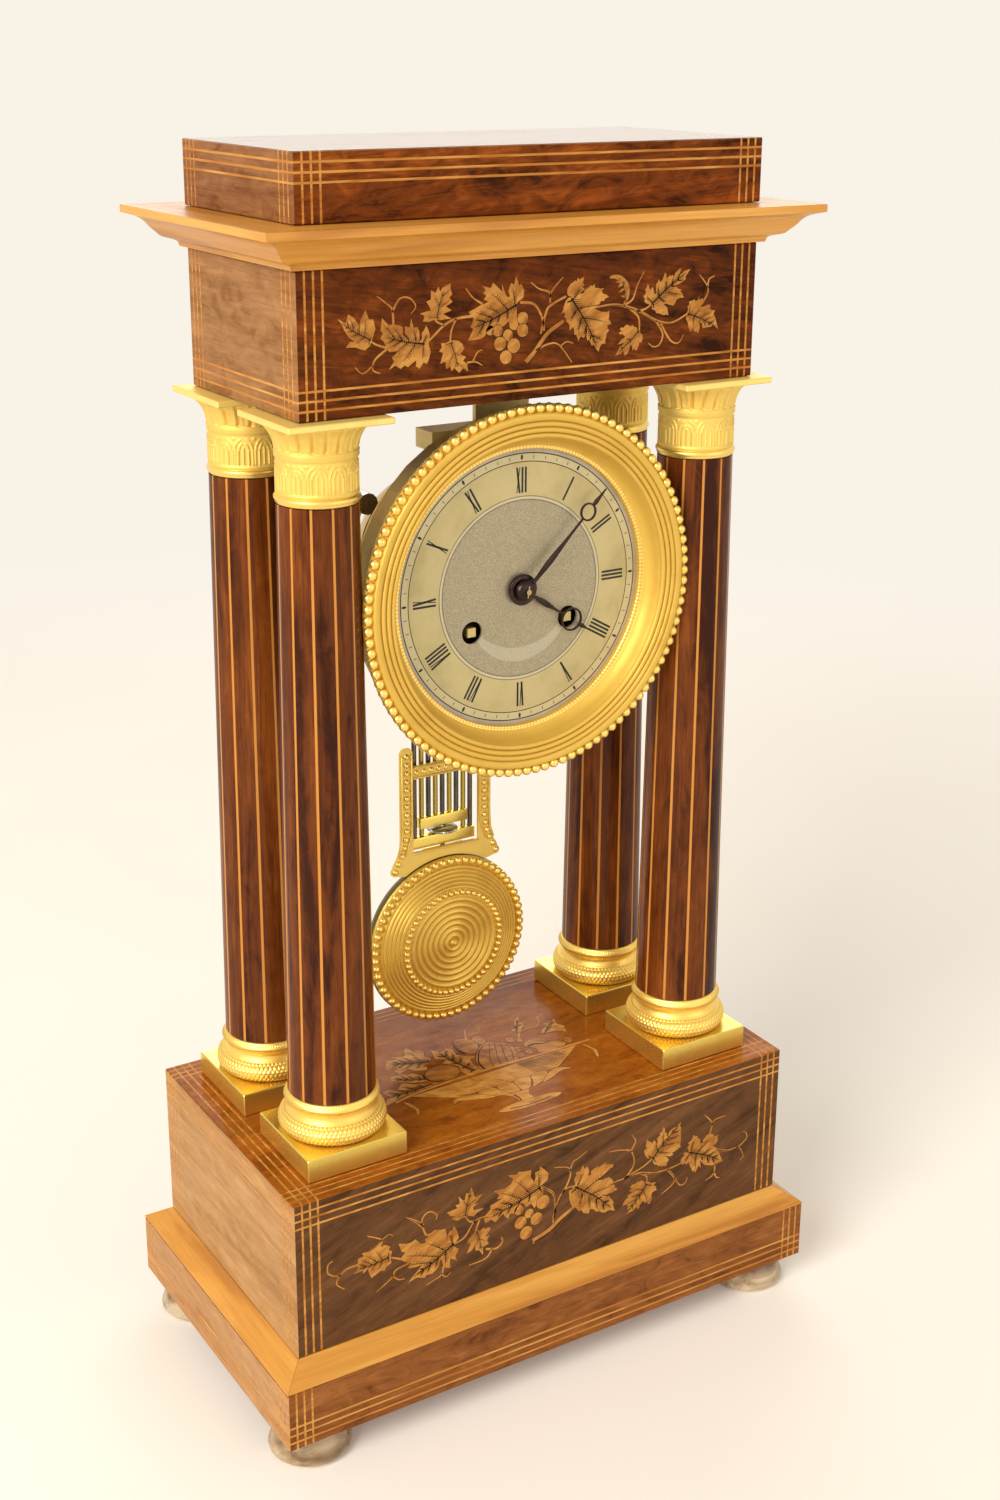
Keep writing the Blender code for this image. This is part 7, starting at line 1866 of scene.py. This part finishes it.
def vine(name, face_y, leaves, stems, bunch):
    """Lays one spray into a front face: pale plates in one piece, engraving in another."""
    stem_work = bmesh.new()
    vein_work = bmesh.new()
    for width, end_width, *points in stems:
        ribbon(stem_work, points, width, end_width)
        if width > 1.0:
            shaded_edge = [(x + 0.25 * width, y - 0.25 * width) for x, y in points]
            ribbon(vein_work, shaded_edge, 0.3 * width, 0.12)
    for base, tip, outline in leaves:
        veined(vein_work, outline, base, tip)
    rims, discs = grapes(bunch, vein_work)
    plates = [inlay(crisp(outline)) for _, _, outline in leaves]
    pale = gathered(thickened(stem_work, -SUNK, STEM_RISE), *plates, *discs)
    dark = gathered(thickened(vein_work, -SUNK, VEIN_RISE), *rims)
    finished(facing_piece(pale, face_y, z=0.0), f"{name}_inlay", box_wood, "clock_case")
    finished(facing_piece(dark, face_y, z=0.0), f"{name}_engraving", engraving, "clock_case")


vine("frieze_vine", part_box("frieze_box")[0].y, FRIEZE_LEAVES, FRIEZE_STEMS, FRIEZE_GRAPES)
vine("base_vine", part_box("base_box")[0].y, BASE_LEAVES, BASE_STEMS, BASE_GRAPES)
print("vines with", len(FRIEZE_STEMS) + len(BASE_STEMS), "stems")

# %% [markdown]
# ## Bowl of fruit
# The bowl lies flat on the base between the columns. Its pale body is shaded at both ends, which was done in
# hot sand and with the graver; here close engraved lines do both. Fruit is cut from a browner wood, so that
# the heap reads as apples, a ribbed melon, a pear, a peach and berries among leaves.

# %% Bowl of fruit
BOWL_BODY = ((-40.0, -13.4), (-23.6, -24.6), (27.0, -24.3), (35.0, -19.0), (44.3, -12.1))
GADROONS = (
    ((-27.5, -28.4), (-27, -26), (-24.5, -24.8), (-19, -24.8), (-14, -27), (-9.5, -31.6), (-13, -31.4),
     (-20, -29), (-24.5, -27.4)),
    ((-14.5, -25.6), (-12, -24.6), (-7, -24.8), (-5.6, -27), (-4, -31), (-3, -33), (-8.5, -31.8),
     (-12.5, -28)),
    ((-5.2, -25.5), (-3, -24.4), (1, -24.3), (2.6, -25.5), (2.8, -30), (1.8, -32.8), (-1, -33), (-3.8, -31)),
    ((3.4, -25.2), (6, -24.2), (10, -24.3), (11.8, -25.2), (10, -29), (6.6, -33), (3, -32.8), (3.2, -29)),
    ((12.4, -25), (15, -23.7), (19.5, -24), (20.6, -25.4), (17, -29.5), (12, -32.2), (8.5, -33),
     (10.8, -29.5)),
    ((21.4, -25.8), (25, -24.8), (29, -26), (31.2, -28.4), (27, -27.6), (22.5, -29.4), (17, -31.6),
     (14, -32)),
)
BOWL_STEM = ((-5.6, -33.0), (-3.2, -36.0), (-2.6, -40.6), (4.2, -40.6), (3.8, -37.0), (6.0, -33.4))
DROPS = (
    ((-45.2, -15.5), (-43.0, -18.5), (-42, -22.5), (-43.3, -26.5), (-45, -27.3), (-43.8, -24), (-44.6, -20)),
    ((47, -12.5), (48.8, -16), (49.8, -20), (48.6, -23.5), (46.9, -26), (46.4, -24.4), (48, -20),
     (47.4, -16)),
)
BOWL_LEAVES = (
    ((-18.5, 8.5), (-35.0, 15.5), (
        (-16.4, 17.9), (-17.5, 20.0), (-20.0, 20.0), (-21.4, 24.3), (-23.6, 22.1), (-24.6, 19.6),
        (-26.4, 18.6), (-30.4, 20.0), (-30.0, 17.9), (-34.3, 17.9), (-36.1, 15.7), (-37.9, 12.1),
        (-33.6, 11.4), (-35.7, 8.6), (-34.6, 6.1), (-30.0, 7.1), (-27.9, 5.0), (-23.6, 2.9), (-22.1, 5.0),
        (-22.9, 6.4), (-19.3, 7.9), (-17.1, 10.7), (-17.9, 13.6))),
    ((-26.6, -4.6), (-40.4, 3.4), (
        (-40.7, 2.1), (-39.3, 5.0), (-34.3, 5.0), (-30.0, 2.9), (-27.5, -0.7), (-26.4, -5.0), (-30.0, -5.0),
        (-33.6, -3.6), (-37.9, -0.7))),
    ((-27.0, -9.0), (-49.0, -9.4), (
        (-52.5, -14.3), (-50.0, -10.7), (-47.9, -9.3), (-48.6, -5.0), (-45.7, -3.6), (-42.1, -5.0),
        (-37.9, -2.1), (-33.6, -5.3), (-30.0, -7.1), (-25.0, -9.3), (-30.0, -10.4), (-37.1, -11.0),
        (-44.3, -12.0), (-48.6, -13.6))),
    ((-6.0, -8.6), (-11.6, 14.6), (
        (-14.5, 12.0), (-12.8, 16.2), (-10.5, 13.5), (-8.5, 14.0), (-6.5, 15.8), (-4.8, 12.5), (-5.2, 8.0),
        (-3.4, 5.5), (0.0, 2.2), (-2.4, 0.5), (-3.2, -4.0), (-3.0, -9.5), (-9.4, -9.5), (-11.0, -6.0),
        (-10.0, -2.0), (-11.5, 1.0), (-14.0, 4.0), (-12.0, 6.0), (-14.8, 9.0))),
    ((38.6, 4.4), (48.4, 12.4), (
        (37.5, 5.0), (40.0, 8.0), (42.5, 9.5), (42.8, 12.0), (46.0, 11.5), (49.0, 13.0), (48.2, 9.0),
        (49.3, 5.5), (47.5, 1.0), (45.0, 2.5), (43.5, 3.5), (40.5, 4.0))),
    ((28.2, 12.0), (35.6, 22.2), (
        (27.3, 14.0), (30.5, 14.5), (31.0, 18.0), (33.0, 21.0), (36.0, 22.8), (34.6, 19.0), (35.0, 16.0),
        (32.0, 13.5), (30.5, 11.0), (28.5, 11.5))),
)
BOWL_TWIGS = (
    (1.3, 1.2, (-48, -14.6), (-40, -12.6), (-30, -11.5), (-19, -10.7), (0, -10.4), (20, -10.7), (38, -11.1),
     (52, -11.0)),
    (1.0, 0.4, (5, 17), (7, 21), (9.2, 25)),
    (0.7, 0.3, (8.4, 20.5), (13, 20.2), (16, 24)),
    (0.9, 0.5, (26, 6), (29, 10.5), (34, 12), (38.5, 11.5), (42, 14.5), (43.5, 18.5), (47.5, 19.8)),
)
MELON = ((-2.0, -9.8), (-2.2, -5.0), (0.0, 0.0), (3.5, 5.0), (8.0, 9.2), (11.0, 10.2), (14.5, 9.3),
         (18.0, 6.5), (19.6, 2.0), (18.6, -3.5), (15.0, -9.8))
PEAR = ((-1.8, 14), (-1, 18), (1.5, 19.5), (5, 18.4), (7.4, 14.5), (7.0, 10), (4.5, 6.5), (2, 4.5), (-0.5, 6),
        (-1.8, 10))
PEACH = ((24.3, -2), (26, 1.5), (31, 2.4), (36, 0.5), (38.4, -2.5), (40.8, -5), (40, -9.8), (27.5, -9.8),
         (27.4, -5.5))
MELON_RIBS = (((3.5, -9.4), (4.2, -5), (8, 2), (12.0, 8.6)), ((7.0, -9.4), (8.6, -4), (12, 3), (14.2, 8)),
              ((10.5, -9.4), (12.6, -3), (15.2, 3), (16.2, 7)),
              ((13.5, -9.4), (16.2, -4), (18, 1), (18.2, 5)))
FRUIT_SHADES = (((-26.6, 0), (-27.4, -3.5), (-25.6, -7), (-21, -9.3)), ((-1.9, 6), (-3.0, 11), (-2.2, 17)),
                ((-1.4, -9.8), (-1.2, -5), (0.8, -0.6), (5, 5.4), (9.6, 9)),
                ((25.4, -2.4), (29, -1.6), (33, -3.4), (37, -3.2)))
BERRIES = ((20.0, -2.1, 2.4), (23.6, -6.4, 2.1), (18.9, -7.1, 2.0), (44.0, -6.4, 2.4), (22.1, 7.1, 2.6),
           (25.4, 4.4, 1.8))
bowl_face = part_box("base_box")[1].z
lines = bmesh.new()
twigs = bmesh.new()
for width, end_width, *points in BOWL_TWIGS:
    ribbon(twigs, points, width, end_width)
for base, tip, outline in BOWL_LEAVES:
    veined(lines, outline, base, tip)
berry_rims, berries = grapes(BERRIES, lines)
light_parts = [(crisp(outline), 0.04) for _, _, outline in BOWL_LEAVES]
light_parts += [(BOWL_BODY, 0.05), (BOWL_STEM, 0.05), (oval(0.5, -43.2, 15.5, 2.9, 40), 0.045)]
light_parts += [(rounded(bulge), 0.058 + 0.004 * k) for k, bulge in enumerate(GADROONS)]
light_parts += [(rounded(drop), 0.05) for drop in DROPS]
fruit_parts = ((oval(9.8, 14.0, 2.9, 4.0), 0.046), (rounded(PEAR), 0.052),
               (oval(-18.8, -3.3, 8.0, 6.2), 0.052), (rounded(PEACH), 0.052), (rounded(MELON), 0.058))
light_plates = [outlined(outline, rise * MM) for outline, rise in light_parts]
fruit_plates = [outlined(outline, rise * MM, 0.3) for outline, rise in fruit_parts]
for rib in MELON_RIBS:
    ribbon(lines, rib, 0.35, 0.25)
for shade in FRUIT_SHADES:
    ribbon(lines, shade, 1.1, 0.3)
SHADE_LINES = 29
downward = Vector((0.0, -1.0))
shade_places = [-37.0 + 0.7 * k for k in range(SHADE_LINES)] + [13.0 + 0.75 * k for k in range(SHADE_LINES)]
for k, x in enumerate(shade_places):
    start = Vector((x, -12.9))
    run = way_out(BOWL_BODY, start, downward) * (0.92 - 0.25 * (k % 2))
    ribbon(lines, [start, start + downward * run + Vector((0.3 * run, 0.0))], 0.3, 0.1, 1)
ribbon(lines, [(-9.5, -43.4), (-4, -44.3), (1, -44.5), (6, -44.2), (10.5, -43.3)], 0.4, 0.3)
ribbon(lines, [(-2.2, -34.5), (-1.6, -38), (-2.2, -40.4)], 0.9, 0.3)
dark_rims = [dark for _, dark in light_plates + fruit_plates]
bowl_pieces = (
    (gathered(thickened(twigs, -SUNK, TWIG_RISE), *[pale for pale, _ in light_plates]), "bowl_inlay",
     pear_wood),
    (gathered(*[pale for pale, _ in fruit_plates], *berries), "bowl_fruit", plum_wood),
    (gathered(thickened(lines, -SUNK, VEIN_RISE), *dark_rims, *berry_rims), "bowl_engraving", engraving),
)
for work, name, finish in bowl_pieces:
    finished(placed_shape(work, (0.0, 0.0, bowl_face)), name, finish, "clock_case")
print("bowl with", len(GADROONS), "gadroons and", len(fruit_parts) + len(BERRIES), "fruits")

# %% [markdown]
# ## Movement
# Plates, barrels, wheels, hanger and cock are seen only from behind and below. Their solids already have the
# right shape, so they stay and are painted. The bell is the one large round thing there, and polished, so any
# flat on it would show: it is spun again in fine steps, open at the front like the solid.

# %% Movement metal
paint(movement_brass, "front_plate", "back_plate", "going_barrel", "strike_barrel", "minute_wheel",
      "hour_wheel", "second_wheel", "third_wheel", "centre_wheel", "escape_wheel", "suspension_cock")
paint(hanger_brass, "movement_hanger")
paint(aged_brass, "movement_collar", "going_winding_arbor", "strike_winding_arbor")
paint(steel, "cannon_pinion", "crutch", "hammer", "suspension_spring")

BELL_WALL = 1.2
BELL_HEIGHT = 20.0
BELL_LINE = [(35.0, 1.4), (34.3, 3.4), (33.6, 6.6), (30.9, 12.4), (23.0, 17.7), (10.8, 19.9),
             (2.2, BELL_HEIGHT)]
outside = [(36.0, 0.0)] + smooth_line(BELL_LINE, 5)
inside = [(2.2, BELL_HEIGHT - BELL_WALL)]
inside += [(radius - 0.75 * BELL_WALL, height - 0.75 * BELL_WALL) for radius, height in outside[-6:4:-1]]
inside += [(34.4, 0.0)]
bell_place = (0.0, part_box("bell")[0].y, DIAL_Z)
work = placed_shape(spun(in_mm(outside + inside), 128, closed=True), bell_place, FACING.inverted())
finished(work, "bell_spun", bell_metal, "clock_case", ["bell"], crease=50.0)
print("movement painted, bell", round(outside[0][0] * 2), "mm across")

# %% [markdown]
# ## Stage
# The clock was photographed on a white sheet. A wide pale floor catches its shadow, and a pale backdrop
# stands behind; soft large lights come from the left front, so the sides turned to the right are darker.

# %% Stage
FLOOR_SIZE = 8.0
BACKDROP = colour(249, 242, 231)
BLACK = (0.0, 0.0, 0.0, 1.0)
ROOM_LIGHT = 0.55
DAYLIGHT = (1.0, 0.98, 0.95)
stage_white, tree, inputs = new_material("stage_paper", Roughness=0.9, Specular_IOR_Level=0.0,
                                         Emission_Color=BACKDROP)
here = surface(tree)["Object"]
paper = blend(remap(noise(here, 1.5, 3.0), 0.3, 0.7), *colours((250, 244, 234), (246, 238, 226)))
far = remap(length_of(here), 0.45, 1.5)
feed(inputs, {"Base Color": blend(far, paper, BLACK),
              "Emission Strength": calc("MULTIPLY_ADD", far, 0.9, 0.1)})
work = bmesh.new()
bmesh.ops.create_grid(work, x_segments=2, y_segments=2, size=FLOOR_SIZE / 2)
floor_mesh = bpy.data.meshes.new("floor")
work.to_mesh(floor_mesh)
work.free()
floor_mesh.materials.append(stage_white)
floor = bpy.data.objects.new("floor", floor_mesh)
bpy.context.scene.collection.objects.link(floor)


def soft_light(name, place, aim, size, power):
    lamp = bpy.data.lights.new(name, "AREA")
    lamp.shape = "RECTANGLE"
    lamp.size, lamp.size_y = size
    lamp.energy = power
    lamp.color = DAYLIGHT
    made = bpy.data.objects.new(name, lamp)
    bpy.context.scene.collection.objects.link(made)
    made.location = place
    made.rotation_euler = (Vector(aim) - Vector(place)).to_track_quat("-Z", "Y").to_euler()


CLOCK_MIDDLE = (0.0, 0.0, 0.25)
soft_light("window", (-2.15, -1.05, 1.55), CLOCK_MIDDLE, (1.4, 1.4), 70.0)
soft_light("front_fill", (0.9, -2.0, 0.7), CLOCK_MIDDLE, (1.6, 1.6), 8.0)
soft_light("ceiling_glow", (1.15, 1.85, 1.35), (0.0, 0.0, 0.5), (1.6, 0.8), 14.0)

world = bpy.data.worlds.new("room")
bpy.context.scene.world = world
world.use_nodes = True
path = node(world.node_tree, "ShaderNodeLightPath", {})
seen = larger(larger(path["Is Camera Ray"], path["Is Transmission Ray"]), path["Is Glossy Ray"])
feed(world.node_tree.nodes["Background"].inputs, {
    "Color": BACKDROP, "Strength": calc("MULTIPLY_ADD", seen, 1.0 - ROOM_LIGHT, ROOM_LIGHT),
})
bpy.context.scene.view_settings.view_transform = "Standard"
print("stage set")
